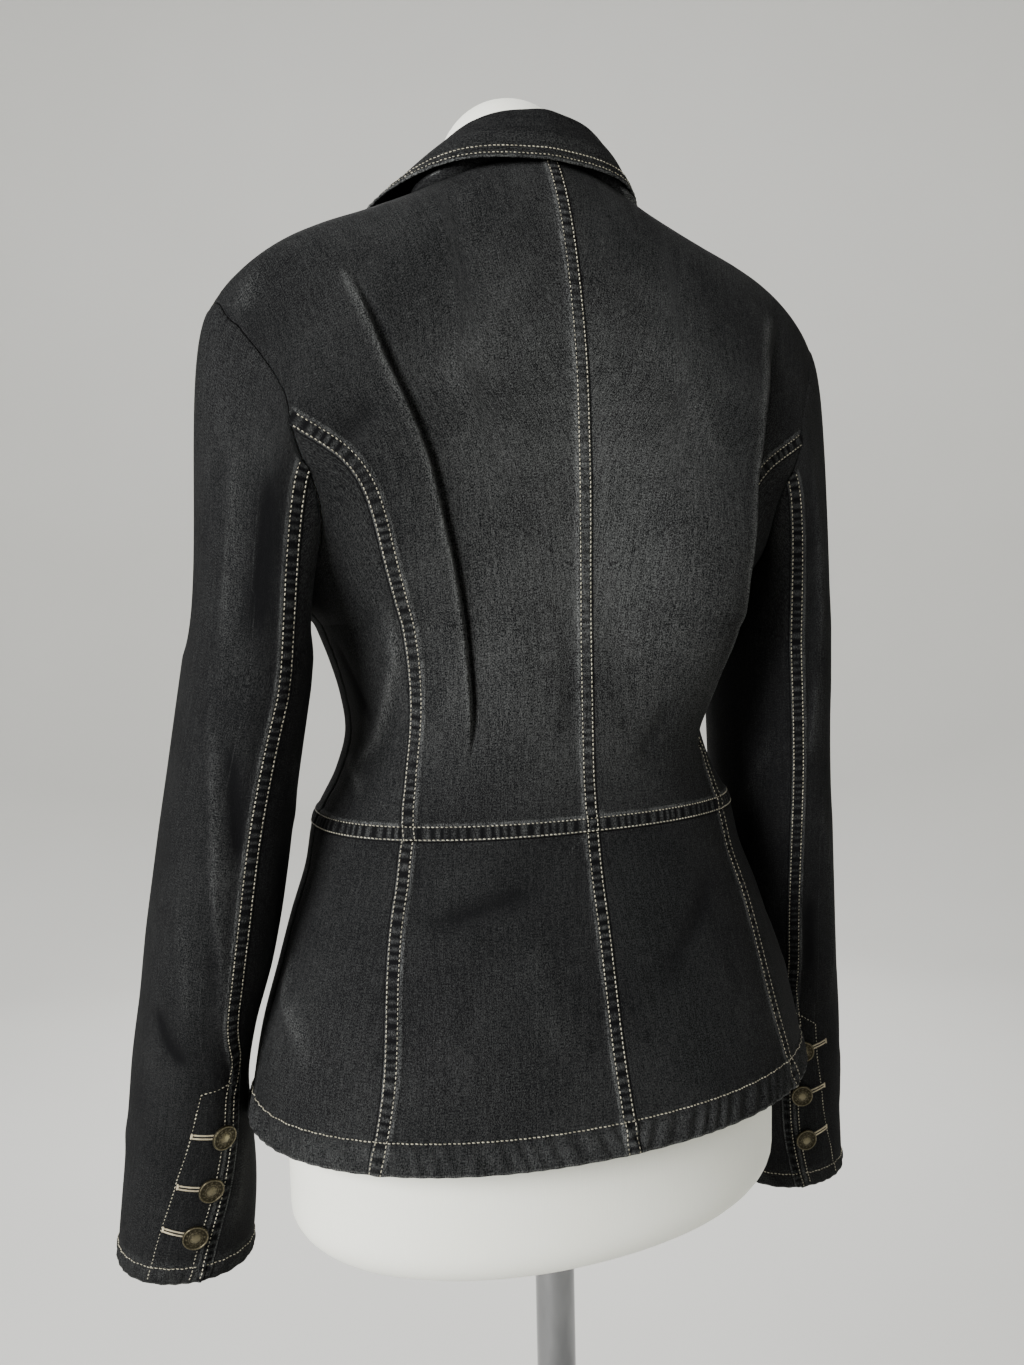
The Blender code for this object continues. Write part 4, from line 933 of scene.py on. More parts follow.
@dataclass
class SleeveForm(Surface):
    """One sleeve; a place is (column round the armhole, share of the length: 0 armhole, 1 armpit, 2 cuff)."""

    side: Side
    cut: Cut
    steps: tuple[float, float] = (0.01, 0.002)
    rings: Rows = (
        # height, centre x, half width, half depth, squareness
        (1.158, 0.1995, 0.0385, 0.0600, 2.2), (1.080, 0.2095, 0.0398, 0.0580, 2.2),
        (1.030, 0.2160, 0.0412, 0.0560, 2.2), (0.975, 0.2234, 0.0409, 0.0540, 2.2),
        (0.920, 0.2318, 0.0375, 0.0520, 2.2), (0.875, 0.2370, 0.0385, 0.0500, 2.2),
        (0.850, 0.2375, 0.0405, 0.0490, 2.2), (0.800, 0.2383, 0.0447, 0.0460, 2.1),
        (0.742, 0.2430, 0.0460, 0.0430, 2.1))
    front_seam: float = math.radians(238.0)
    columns: int = 24
    back_column: int = 7
    front_column: int = 16
    cap_out: float = 0.58
    cap_clear: float = 0.0004
    cap_start: float = 0.45
    cap_end: float = 0.8

    # (cuff drop, (height, centre y, shift x) rows) of each side
    SWINGS = {
        Side.LEFT: (0.004, ((1.158, 0.012, 0.0), (1.080, -0.006, 0.0), (1.000, -0.020, 0.0),
                            (0.900, -0.042, 0.0015), (0.742, -0.064, 0.0010))),
        Side.RIGHT: (0.034, ((1.158, 0.012, -0.0040), (1.080, -0.002, -0.0030), (0.975, -0.019, 0.0000),
                             (0.900, -0.031, 0.0055), (0.742, -0.042, 0.0085))),
    }
    # (height, angle from the sleeve's outer side towards the back) rows of each side
    BACK_SEAMS = {
        Side.LEFT: ((1.158, 106.0), (1.120, 101.0), (1.070, 98.5), (1.010, 99.0), (0.970, 101.0),
                    (0.935, 107.0),
                    (0.895, 124.0), (0.860, 124.0), (0.822, 115.0), (0.780, 102.0), (0.742, 94.0)),
        Side.RIGHT: ((1.158, 110.0), (1.120, 108.0), (1.070, 107.0), (1.010, 110.0), (0.970, 114.0),
                     (0.935, 119.0),
                     (0.895, 126.0), (0.860, 127.0), (0.822, 124.0), (0.780, 118.0), (0.742, 109.0)),
    }

    def __post_init__(self) -> None:
        """Make the tables' readers."""
        self.drop, swing = self.SWINGS[self.side]
        self.ring_table = smooth_table(self.rings)
        self.swing_table = smooth_table(swing)
        self.seam_table = smooth_table(self.BACK_SEAMS[self.side])
        self.first, self.last = self.rings[0][0], self.rings[-1][0]
        # Columns of the top sleeve
        self.top_columns = self.columns - self.front_column + self.back_column

    def level(self, share: Array) -> Array:
        """Height below the armpit at a share of the length."""
        return self.first + (self.last - self.first) * np.clip(share - 1, 0, 1)

    def centre(self, height: Array) -> Array:
        """Centre of the sleeve at a height.

        Args:
            height: Height before the cuff drops.

        Returns:
            The points.
        """
        share = ease((self.first - height) / (self.first - self.last))
        swing = self.swing_table(height)
        x = self.ring_table(height)[..., 0] + swing[..., 1]
        return np.stack([self.side.value * x, swing[..., 0] + self.cut.torso.middle,
                         height - self.drop * share], -1)

    def armhole_place(self, column: Array) -> Array:
        """Torso place at a column round the armhole, which starts at the shoulder and goes down the back.

        Args:
            column: Column round the armhole.

        Returns:
            The torso's places.
        """
        column = np.asarray(column, float) % self.columns
        steps = self.columns // 4
        part = np.minimum((column // steps).astype(int), 3)
        share = np.clip(column / steps - part, 0, 1)
        places = np.zeros(column.shape + (2,))
        for index, curve in enumerate(self.cut.armhole):
            places = np.where((part == index)[..., None], curve(share), places)
        return mirrored(places, self.side)

    def back_seam(self, share: Array) -> Array:
        """Angle of the back seam at a share of the length."""
        return np.radians(self.seam_table(self.level(share))[..., 0])

    def angle(self, column: Array, back_seam: Array) -> Array:
        """Angle round the sleeve of a column.

        Args:
            column: Column round the armhole.
            back_seam: Angle of the back seam.

        Returns:
            The angles.
        """
        column = np.asarray(column, float) % self.columns
        on_top = (column <= self.back_column) | (column >= self.front_column)
        steps = np.where(column >= self.front_column, column - self.columns, column) - self.back_column
        top = back_seam + steps * (back_seam + 2 * math.pi - self.front_seam) / self.top_columns
        under = back_seam + ((column - self.back_column) * (self.front_seam - back_seam)
                             / (self.front_column - self.back_column))
        return np.where(on_top, top, under)

    def ring(self, angle: Array, height: Array) -> Array:
        """Points below the armpit.

        Args:
            angle: Angle round the sleeve.
            height: Height before the cuff drops.

        Returns:
            The points.
        """
        sizes = self.ring_table(height)
        out, back = rounded(np.asarray(angle, float) + math.pi / 2, sizes[..., 3])
        axis = self.centre(height + 0.01) - self.centre(height - 0.01)
        dx, dy = self.side.value * sizes[..., 1] * out, -sizes[..., 2] * back
        lean = -(axis[..., 0] * dx + axis[..., 1] * dy) / axis[..., 2]
        return self.centre(height) + np.stack([dx, dy, lean], -1)

    def plain(self, places: Array) -> Array:
        """Points of the sleeve without creases.

        Args:
            places: Where to read.

        Returns:
            The points.
        """
        column, share = places[..., 0], np.clip(places[..., 1], 0, 2)
        low = self.ring(self.angle(column, self.back_seam(share)), self.level(share))
        if np.all(share > 1):
            return low
        torso = self.cut.torso
        spots = self.armhole_place(column)
        facing = torso.normal(spots)
        start = torso.plain(spots) + facing * torso.folds(spots)[..., None]
        angle = self.angle(column, self.back_seam(np.array(1.0)))
        end = self.ring(angle, np.full(angle.shape, self.first))
        end_way = unit(self.ring(angle, np.full(angle.shape, self.first - 0.01)) - end)
        outward = self.cap_out * np.sqrt(np.abs(np.cos(column * math.pi / self.columns)))
        start_way = np.stack([self.side.value * outward, 0 * outward, -np.sqrt(1 - outward ** 2)], -1)
        length = np.linalg.norm(end - start, axis=-1, keepdims=True)
        start = start + (start_way + facing) * self.cap_clear
        t = np.clip(share, 0, 1)[..., None]
        cap = hermite(t, start, length * self.cap_start * start_way, end, length * self.cap_end * end_way)
        return np.where((share > 1)[..., None], low, cap)

    def normal(self, places: Array) -> Array:
        """Outward unit normals.

        Args:
            places: Where to read.

        Returns:
            The normals.
        """
        kept = places.copy()
        kept[..., 1] = np.clip(kept[..., 1], self.steps[1], 2 - self.steps[1])
        return super().normal(kept) * self.side.value

    def place(self, degrees: float, height: float) -> tuple[float, float]:
        """Place at an angle round the sleeve and a height below the armpit.

        Args:
            degrees: Angle from the outer side towards the back.
            height: The height.

        Returns:
            Column and share of the length.
        """
        share = 1 + (self.first - height) / (self.first - self.last)
        seam = float(self.back_seam(np.array(share)))
        behind = math.radians(degrees) - seam
        if behind <= 0:
            turned = behind / (seam + 2 * math.pi - self.front_seam)
            return self.back_column + turned * self.top_columns, share
        under = behind / (self.front_seam - seam) * (self.front_column - self.back_column)
        return self.back_column + under, share

    def fade(self, places: Array) -> Array:
        """Paler at the shoulder and down the back of the arm: partly wash, partly a painted highlight.

        Args:
            places: Where to read.

        Returns:
            Paleness from 0 to 1.
        """
        # Wash with a painted highlight: paler over the cap and down the back of the arm
        cap = ease((0.9 - places[..., 1]) / 0.9)
        back = hump(places[..., 0] - 3.5, 3.0)
        return 0.03 + 0.14 * cap + 0.06 * back


class GridSurface(Surface):
    """A surface through a fine grid of points; a place is (share of the columns, share of the rows)."""

    def __init__(self, points: Array, faded: float, way: float, spot: tuple[float, float]) -> None:
        """Keep the grid.

        Args:
            points: Grid, rows by columns.
            faded: Paleness of the wash.
            way: Sign of the y of the outward normal at the spot.
            spot: A place on it.
        """
        self.points, self.faded, self.turned = points, faded, 1.0
        self.counts = np.array([points.shape[1] - 1, points.shape[0] - 1])
        self.steps = tuple(1 / self.counts)
        self.turned = float(np.sign(self.normal(np.array([spot]))[0, 1]) * way)

    def normal(self, places: Array) -> Array:
        """Outward unit normals."""
        return super().normal(np.clip(places, 0.0, 1.0)) * self.turned

    def plain(self, places: Array) -> Array:
        """Points between the grid's own, carried on past its edges.

        Args:
            places: Where to read.

        Returns:
            The points.
        """
        at = places * self.counts
        cell = np.clip(np.floor(at).astype(int), 0, self.counts - 1)
        (i, j), (s, t) = np.moveaxis(cell, -1, 0), np.moveaxis(at - cell, -1, 0)[..., None]
        grid = self.points
        return ((grid[j, i] * (1 - s) + grid[j, i + 1] * s) * (1 - t)
                + (grid[j + 1, i] * (1 - s) + grid[j + 1, i + 1] * s) * t)

    def fade(self, places: Array) -> Array:
        """One paleness all over."""
        return np.full(places.shape[:-1], self.faded)


def extended(surface: Surface, places: Array, edge: str, widths: float | Array, steps: int = 4) -> Array:
    """Carry a grid of places on past one of its edges.

    Args:
        surface: What the places lie on.
        places: Grid of places.
        edge: "left", "right", "bottom" or "top".
        widths: How far, one number or one for each place of the edge.
        steps: Number of new rows or columns.

    Returns:
        The larger grid.
    """
    grid = places if edge in ("left", "right") else places.transpose(1, 0, 2)
    if edge in ("left", "bottom"):
        grid = grid[:, ::-1]
    base, inner = surface.plain(grid[:, -1]), surface.plain(grid[:, -2])
    along = unit(np.gradient(base, axis=0))
    way = base - inner
    way = unit(way - along * (way * along).sum(-1, keepdims=True))
    reach = np.broadcast_to(widths, len(base))[:, None]
    new = [surface.settle(base + way * reach * step / steps, grid[:, -1]) for step in range(1, steps + 1)]
    grid = np.concatenate([grid, np.stack(new, 1)], axis=1)
    if edge in ("left", "bottom"):
        grid = grid[:, ::-1]
    return grid if edge in ("left", "right") else grid.transpose(1, 0, 2)


def meshed(builder: bmesh.types.BMesh, name: str) -> bpy.types.Mesh:
    """Turn a bmesh into a smooth mesh.

    Args:
        builder: The bmesh, which is freed.
        name: The mesh's name.

    Returns:
        The mesh.
    """
    mesh = bpy.data.meshes.new(name)
    builder.to_mesh(mesh)
    builder.free()
    mesh.shade_smooth()
    return mesh


def link(name: str, data: bpy.types.ID) -> bpy.types.Object:
    """Put a mesh, a lamp or a camera in the scene as an object at the origin.

    Args:
        name: The object's name.
        data: What it shows.

    Returns:
        The object.
    """
    made = bpy.data.objects.new(name, data)
    bpy.context.scene.collection.objects.link(made)
    return made


def dressed(mesh: bpy.types.Mesh, finish: bpy.types.Material,
            node: str | None = None) -> bpy.types.Object:
    """Make a mesh a piece of the object.

    Args:
        mesh: The mesh, whose name the piece takes.
        finish: Its material.
        node: The CAD node that it stands for, if any.

    Returns:
        The piece.
    """
    mesh.materials.append(finish)
    made = link(mesh.name, mesh)
    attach(made, "root")
    if node is not None:
        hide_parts(node)
    LOG.info("%s: %d faces", mesh.name, len(mesh.polygons))
    return made


def turned(profile: Rows, steps: int) -> bmesh.types.BMesh:
    """Turn a profile about the z axis.

    Args:
        profile: (radius, height) rows.
        steps: Steps of the full turn.

    Returns:
        The shape, its faces outwards.
    """
    builder = bmesh.new()
    verts = [builder.verts.new((radius, 0, height)) for radius, height in profile]
    edges = [builder.edges.new(pair) for pair in zip(verts, verts[1:])]
    bmesh.ops.spin(builder, geom=verts + edges, axis=(0, 0, 1), cent=(0, 0, 0), angle=2 * math.pi,
                   steps=steps,
                   use_merge=True)
    bmesh.ops.remove_doubles(builder, verts=builder.verts, dist=1e-6)
    bmesh.ops.recalc_face_normals(builder, faces=builder.faces)
    return builder


def grid_mesh(name: str, points: Array, closed: bool = False) -> tuple[bpy.types.Mesh, Array, Array]:
    """Make a mesh by moving the vertices of a grid.

    Args:
        name: The mesh's name.
        points: Where the vertices go, rows by columns.
        closed: Whether the last column meets the first one, as round a tube.

    Returns:
        The mesh, and the row and the column of each vertex.
    """
    counts = np.array([points.shape[1] - 1, points.shape[0] - 1])
    builder = bmesh.new()
    bmesh.ops.create_grid(builder, x_segments=int(counts[0]), y_segments=int(counts[1]), size=1.0)
    mesh = meshed(builder, name)
    flat = np.empty(len(mesh.vertices) * 3)
    mesh.vertices.foreach_get("co", flat)
    column, row = np.rint((flat.reshape(-1, 3)[:, :2] + 1) / 2 * counts).astype(int).T
    mesh.vertices.foreach_set("co", points[row, column].ravel())
    mesh.update()
    if closed:
        builder = bmesh.new()
        builder.from_mesh(mesh)
        bmesh.ops.remove_doubles(builder, verts=builder.verts, dist=1e-7)
        bmesh.ops.recalc_face_normals(builder, faces=builder.faces)
        builder.to_mesh(mesh)
        builder.free()
    return mesh, row, column


def tubes(name: str, grids: Sequence[Array]) -> bpy.types.Mesh:
    """Join closed tubes in one mesh.

    Args:
        name: The mesh's name.
        grids: The ring points of each tube.

    Returns:
        The mesh.
    """
    builder = bmesh.new()
    for points in grids:
        mesh = grid_mesh("tube", points, closed=True)[0]
        builder.from_mesh(mesh)
        bpy.data.meshes.remove(mesh)
    return meshed(builder, name)


def ringed(centre: Array, side: Array, normal: Array, widths: Array, heights: Array, sides: int) -> Array:
    """Rings of points round a path.

    Args:
        centre: Middle of each ring.
        side: Direction of its width.
        normal: Direction of its height.
        widths: Half width of each ring.
        heights: Half height of each ring.
        sides: Number of sides.

    Returns:
        Points, rings by sides.
    """
    angles = np.linspace(0, 2 * math.pi, sides + 1)
    return (centre[:, None] + side[:, None] * (np.cos(angles) * widths[:, None])[..., None]
            + normal[:, None] * (np.sin(angles) * heights[:, None])[..., None])


@dataclass
class Panel:
    """One cut piece of cloth: a thin shell with its seams."""

    name: str
    surface: Surface
    places: Array
    seams: list[tuple[Seam, Lie]]
    thickness: float = 1.0 * MM
    lift: Callable[[Array], Array] | None = None
    held: str = "draped"
    rests_on: tuple[str, ...] = ("form_body",)

    # How far from a seam its relief reaches, and the ramp to it
    REACH, RAMP = 35 * MM, 10 * MM
    # How far past a seam's ends its relief fades, and its marks and its rows still count
    PAST, MARKED, SEWN = 4 * MM, 3 * MM, 1.5 * MM
    # Distances in millimetres that stand for no seam and no edge near
    NO_SEAM, NO_EDGE = 30.0, 60.0

    def __post_init__(self) -> None:
        """Find which side of each seam the panel lies on."""
        sample = self.surface.plain(self.places[2:-2:3, 2:-2:3])
        self.signs = [-np.sign(np.median(seam.line.near(sample)[0])) for seam, _ in self.seams]

    def raised(self, places: Array) -> Array:
        """Lift of the outer face off the bare surface.

        Args:
            places: Where to read.

        Returns:
            Lift in metres.
        """
        points = self.surface.plain(places)
        lifted = self.surface.height(places)
        if self.lift is not None:
            lifted = lifted + self.lift(places)
        for (seam, lie), sign in zip(self.seams, self.signs):
            across, along, past = seam.line.near(points)
            relief = seam.sewing.relief(lie, across * sign, along, *seam.read(along))
            near = ease(1 - past / self.PAST) * ease((self.REACH - np.abs(across)) / self.RAMP)
            lifted = lifted + relief * near
        return lifted

    def outer(self, places: Array) -> Array:
        """Points of the outer face."""
        return self.surface.plain(places) + self.surface.normal(places) * self.raised(places)[..., None]

    def _patterns(self, points: Array) -> dict[str, Array]:
        """Where the wash, the wear and the painted seam shadow go.

        Args:
            points: The grid on the bare surface.

        Returns:
            Values in millimetres at each point: distance across and along the nearest lapped seam, and the
            distance inside the nearest finished edge.
        """
        across_all = np.full(points.shape[:-1], self.NO_SEAM)
        along_all = np.zeros(points.shape[:-1])
        edge = np.full(points.shape[:-1], self.NO_EDGE)
        for (seam, lie), sign in zip(self.seams, self.signs):
            across, along, past = seam.line.near(points)
            beyond = across * sign * (-1 if lie is Lie.UNDER else 1) / MM
            if lie in (Lie.OVER, Lie.UNDER):
                closer = (np.abs(beyond) < np.abs(across_all)) & (past < self.MARKED)
                across_all = np.where(closer, beyond, across_all)
                along_all = np.where(closer, along / MM, along_all)
            elif lie is Lie.EDGE:
                edge = np.where((-beyond < edge) & (past < self.MARKED), -beyond, edge)
        return {"seam_across": across_all, "seam_along": along_all, "edge_gap": edge}

    def build(self, cloth: bpy.types.Material) -> bpy.types.Object:
        """Args:
            cloth: The cloth's material.

        Returns:
            The panel's object.
        """
        bare = self.surface.plain(self.places)
        mesh, row, column = grid_mesh(self.name + "_cloth", self.outer(self.places))
        normals = np.empty(len(mesh.vertices) * 3)
        mesh.vertices.foreach_get("normal", normals)
        if (normals.reshape(-1, 3) * self.surface.normal(self.places)[row, column]).sum() < 0:
            mesh.flip_normals()
        middle = bare.shape[1] // 2
        across = np.stack([path_run(line) for line in bare])
        across = across - across[:, middle:middle + 1]
        up = path_run(bare[:, middle])
        corners = np.empty(len(mesh.loops), np.int32)
        mesh.loops.foreach_get("vertex_index", corners)
        flat = np.stack([across[row, column], up[row]], -1)[corners]
        mesh.uv_layers.new(name="cut").data.foreach_set("uv", flat.astype(np.float32).ravel())
        patterns = self._patterns(bare)
        # Paleness for the material: wash and crease wear, with painted highlights, and painted shade in
        # crease troughs
        patterns |= {"fade": self.surface.fade(self.places), "rub": self.surface.wear_light_and_shade(self.places)}
        for label, values in patterns.items():
            mesh.attributes.new(label, "FLOAT", "POINT").data.foreach_set(
                "value", values[row, column].astype(np.float32))
        made = dressed(mesh, cloth, self.name)
        shell = made.modifiers.new("thickness", "SOLIDIFY")
        shell.thickness = self.thickness
        shell.offset = -1.0
        shell.use_quality_normals = True
        return made

    def rows(self) -> list[tuple[Array, Array]]:
        """Paths of the stitch rows along the seams that show on this panel.

        Returns:
            For each row, points on the cloth and outward normals.
        """
        points, paths = self.surface.plain(self.places), []
        for (seam, lie), sign in zip(self.seams, self.signs):
            if lie not in (Lie.OVER, Lie.EDGE, Lie.ROW):
                continue
            across, along, past = seam.line.near(points)
            reached = along[(np.abs(across) < self.MARKED) & (past < self.SEWN)]
            ends = max(float(reached.min()), 0.0), max(seam.line.length - float(reached.max()), 0.0)
            for offset in seam.rows.T:
                places = seam.line.row(offset * sign, *ends)
                if len(places) > 3:
                    paths.append((self.outer(places), self.surface.normal(places)))
        return paths


@dataclass
class Thread:
    """Topstitching: short beads of thread that dip into the cloth at the needle holes."""

    pitch: float = 2.9 * MM
    radius: float = 0.39 * MM
    sides: int = 4
    # How far a stitch may be off its place, as a share of the pitch
    uneven: float = 0.04
    # Along one stitch: share of the pitch, share of the radius, height above the cloth, sideways shift
    stations: Rows = ((0.03, 0.35, -0.42 * MM, -0.10 * MM), (0.22, 0.95, 0.10 * MM, -0.05 * MM),
                      (0.60, 0.98, 0.12 * MM, 0.05 * MM), (0.80, 0.35, -0.42 * MM, 0.10 * MM))

    def row(self, path: Array, normals: Array) -> Array:
        """Ring points of one row.

        Args:
            path: Points on the cloth.
            normals: Outward normals there.

        Returns:
            One closed tube whose width swells at each stitch.
        """
        run = path_run(path)
        count = max(int(run[-1] / self.pitch), 1)
        share, width, high, shifted = [np.tile(column, count) for column in np.array(self.stations).T]
        number = np.repeat(np.arange(count), len(self.stations))
        shift = np.random.default_rng(count).uniform(-self.uneven, self.uneven, count)
        at = np.clip((number + share + shift[number]) * self.pitch, 0, run[-1])
        centre, normal = straight(at, run, path), unit(straight(at, run, normals))
        side = unit(np.cross(unit(np.gradient(centre, axis=0)), normal))
        centre = centre + normal * high[:, None] + side * shifted[:, None]
        width[[0, -1]] = 0.0
        return ringed(centre, side, normal, width * self.radius, width * self.radius, self.sides)

    def sew(self, name: str, paths: list[tuple[Array, Array]],
            finish: bpy.types.Material) -> bpy.types.Object:
        """Join rows into one piece.

        Args:
            name: The piece's name.
            paths: Points and normals of each row.
            finish: The thread's material.

        Returns:
            The piece.
        """
        LOG.info("%s: %d rows", name, len(paths))
        return dressed(tubes(name, [self.row(*path) for path in paths]), finish)


@dataclass
class Garment:
    """What every part of the blazer is made with."""

    torso: TorsoForm
    cut: Cut
    denim: bpy.types.Material
    thread: bpy.types.Material
    stitch: Thread = field(default_factory=Thread)

    def seam(self, curve: Reader, side: Side, sewing: Sewing, reach: float = 0.0, samples: int = 400) -> Seam:
        """Sew along a curve of the left half, on a side of the wearer.

        Args:
            curve: The curve.
            side: The side.
            sewing: How it is sewn.
            reach: How far it goes on past its start.
            samples: Number of places along it.

        Returns:
            The seam.
        """
        return Seam(Line(self.torso, mirrored(curve(np.linspace(0, 1, samples)), side), reach), sewing)

    def panel(self, name: str, side: Side, edges: Sequence[Reader], shares: Sequence[Array],
              laps: Sequence[tuple[str, float | Array]], seams: list[tuple[Seam, Lie]],
              **options: object) -> Panel:
        """Cut a panel between edge curves of the left half.

        Args:
            name: Its name without the side.
            side: Side of the wearer.
            edges: Its lower, upper, first and second edge.
            shares: Shares of its rows and of its columns.
            laps: Edges that it is carried on past, and how far.
            seams: Its seams and how it lies there.
            options: Further fields of the panel.

        Returns:
            The panel.
        """
        places = mirrored(patch(*edges, *shares), side)
        for edge, widths in laps:
            places = extended(self.torso, places, edge, widths)
        return Panel(name + "_" + side.label, self.torso, places, seams, **options)

    def sew(self, name: str, panels: Sequence[Panel]) -> None:
        """Build panels and their topstitching.

        Args:
            name: The part's name.
            panels: Its panels.
        """
        for panel in panels:
            panel.build(self.denim)
        self.stitch.sew("topstitch_" + name, [path for panel in panels for path in panel.rows()], self.thread)


@dataclass
class Bodice(Garment):
    """The eight panels above the waist seam."""

    back_rows: int = 196
    back_columns: int = 84
    # Columns more for the crisp left fold
    fold_columns: int = 18
    side_rows: int = 130
    side_columns: int = 46
    side_front_rows: int = 110
    side_front_columns: int = 36
    front_rows: int = 140
    front_columns: int = 58
    # How far seams run on past the waist: lapped ones and plain ones
    lap_reach: float = 4.5 * MM
    plain_reach: float = 5.0 * MM
    # Strip past an armhole, which has none
    no_strip: float = 0.1 * MM
    # Where a back's columns lie closer: share, how many times, half width
    folds: dict[Side, tuple[float, float, float]] = field(default_factory=lambda: {
        Side.LEFT: (0.70, 4.4, 0.09), Side.RIGHT: (0.90, 3.2, 0.10)})

    def build(self, waists: dict[Side, Seam]) -> Panel:
        """Build all panels and their topstitching.

        Args:
            waists: Waist seam of each side.

        Returns:
            The right front, which laps over.
        """
        centre = Curve(self.torso, [self.torso.place(0, height) for height in self.cut.centre_back])
        middle = self.seam(centre, Side.LEFT, FELLED, self.lap_reach)
        for side in Side:
            plain = self.seam(self._side_line(), side, PLAIN_SEAM, self.plain_reach)
            panels = (self._back(side, centre, middle, plain, waists[side])
                      + self._front(side, plain, waists[side]))
            self.sew("bodice_" + side.label, panels)
        return panels[-1]

    def _side_line(self) -> Curve:
        """Side seam from the waist to the armpit."""
        return self.cut.side_seam(self.torso.waist, float(self.cut.armhole[1](1.0)[1]))

    def _bottom(self, *turns: float) -> Reader:
        """Waist edge between two turns."""
        return level(*turns, self.torso.waist)

    def _strips(self, rows: Array) -> Array:
        """Strip that a panel laps with up to the armhole."""
        return np.where(rows <= self.cut.low_share, FELLED.strip, self.no_strip)

    def _back(self, side: Side, centre: Curve, middle: Seam, plain: Seam, waist: Seam) -> list[Panel]:
        """Back and side back of one side.

        Args:
            side: Side of the wearer.
            centre: Centre back.
            middle: Centre back seam.
            plain: Side seam.
            waist: Waist seam.

        Returns:
            The two panels.
        """
        torso, cut = self.torso, self.cut
        to_back, back_low, _, _ = cut.armhole
        turn = cut.turn(cut.back_princess, torso.waist)
        princess = cut.seam(cut.back_princess, torso.waist, cut.armhole_back[0][0])
        seam = self.seam(princess, side, FELLED, self.lap_reach)
        top = joined(cut.back_neck, level(cut.neck[0], cut.back_tip[0], torso.top), cut.neck_share)
        left = side is Side.LEFT
        rows = np.linspace(0, 1, self.back_rows + 1)
        columns = spread(self.back_columns + self.fold_columns * left,
                         (self.folds[side], (0.0, 1.8, 0.04), (1.0, 1.8, 0.04)))
        laps = [("right", self._strips(rows)), ("left", FELLED.strip), ("bottom", WAIST_SEWING.strip)]
        back = self.panel(
            "back", side,
            (self._bottom(0, turn), top, centre, joined(princess, backwards(to_back), cut.low_share)),
            (rows, columns), laps if left else laps[::2],
            [(seam, Lie.OVER), (middle, Lie.OVER if left else Lie.UNDER), (waist, Lie.OVER)])
        side_back = self.panel(
            "side_back", side, (self._bottom(turn, cut.side_turn), back_low, princess, self._side_line()),
            (np.linspace(0, 1, self.side_rows + 1), spread(self.side_columns, ((0.0, 1.8, 0.1),))), laps[2:],
            [(seam, Lie.UNDER), (plain, Lie.PLAIN), (waist, Lie.OVER)])
        return [back, side_back]

    def _front(self, side: Side, plain: Seam, waist: Seam) -> list[Panel]:
        """Side front and front of one side.

        Args:
            side: Side of the wearer.
            plain: Side seam.
            waist: Waist seam.

        Returns:
            The two panels.
        """
        torso, cut = self.torso, self.cut
        _, _, front_low, to_front = cut.armhole
        turn = cut.turn(cut.front_princess, torso.waist, True)
        princess = cut.seam(cut.front_princess, torso.waist, cut.armhole_front[0][0], True)
        seam = self.seam(princess, side, FELLED, self.lap_reach)
        bottom_lap = ("bottom", WAIST_SEWING.strip)
        side_front = self.panel(
            "side_front", side, (self._bottom(cut.side_turn, turn), front_low, self._side_line(), princess),
            (np.linspace(0, 1, self.side_front_rows + 1),
             spread(self.side_front_columns, ((1.0, 1.8, 0.1),))),
            [bottom_lap], [(plain, Lie.PLAIN), (seam, Lie.UNDER), (waist, Lie.OVER)])
        low_edge = cut.seam(cut.front_edge, torso.waist, cut.break_height, True)
        shoulder = level(cut.front_tip[0], cut.neck_front[0], torso.top)
        rows = np.linspace(0, 1, self.front_rows + 1)
        edges = (self._bottom(turn, cut.turn(cut.front_edge, torso.waist, True)), shoulder,
                 joined(princess, to_front, cut.low_share), joined(low_edge, cut.roll_line, cut.break_share))
        front = self.panel(
            "front", side, edges, (rows, spread(self.front_columns, ((0.0, 1.8, 0.06), (1.0, 1.8, 0.06)))),
            [("left", self._strips(rows)), bottom_lap],
            [(seam, Lie.OVER), (waist, Lie.OVER), (self.seam(low_edge, side, EDGE_SEWING), Lie.EDGE),
             (self.seam(shoulder, side, SHOULDER_SEWING), Lie.ROW)],
            lift=cut.overlap if side is Side.RIGHT else None)
        return [side_front, front]


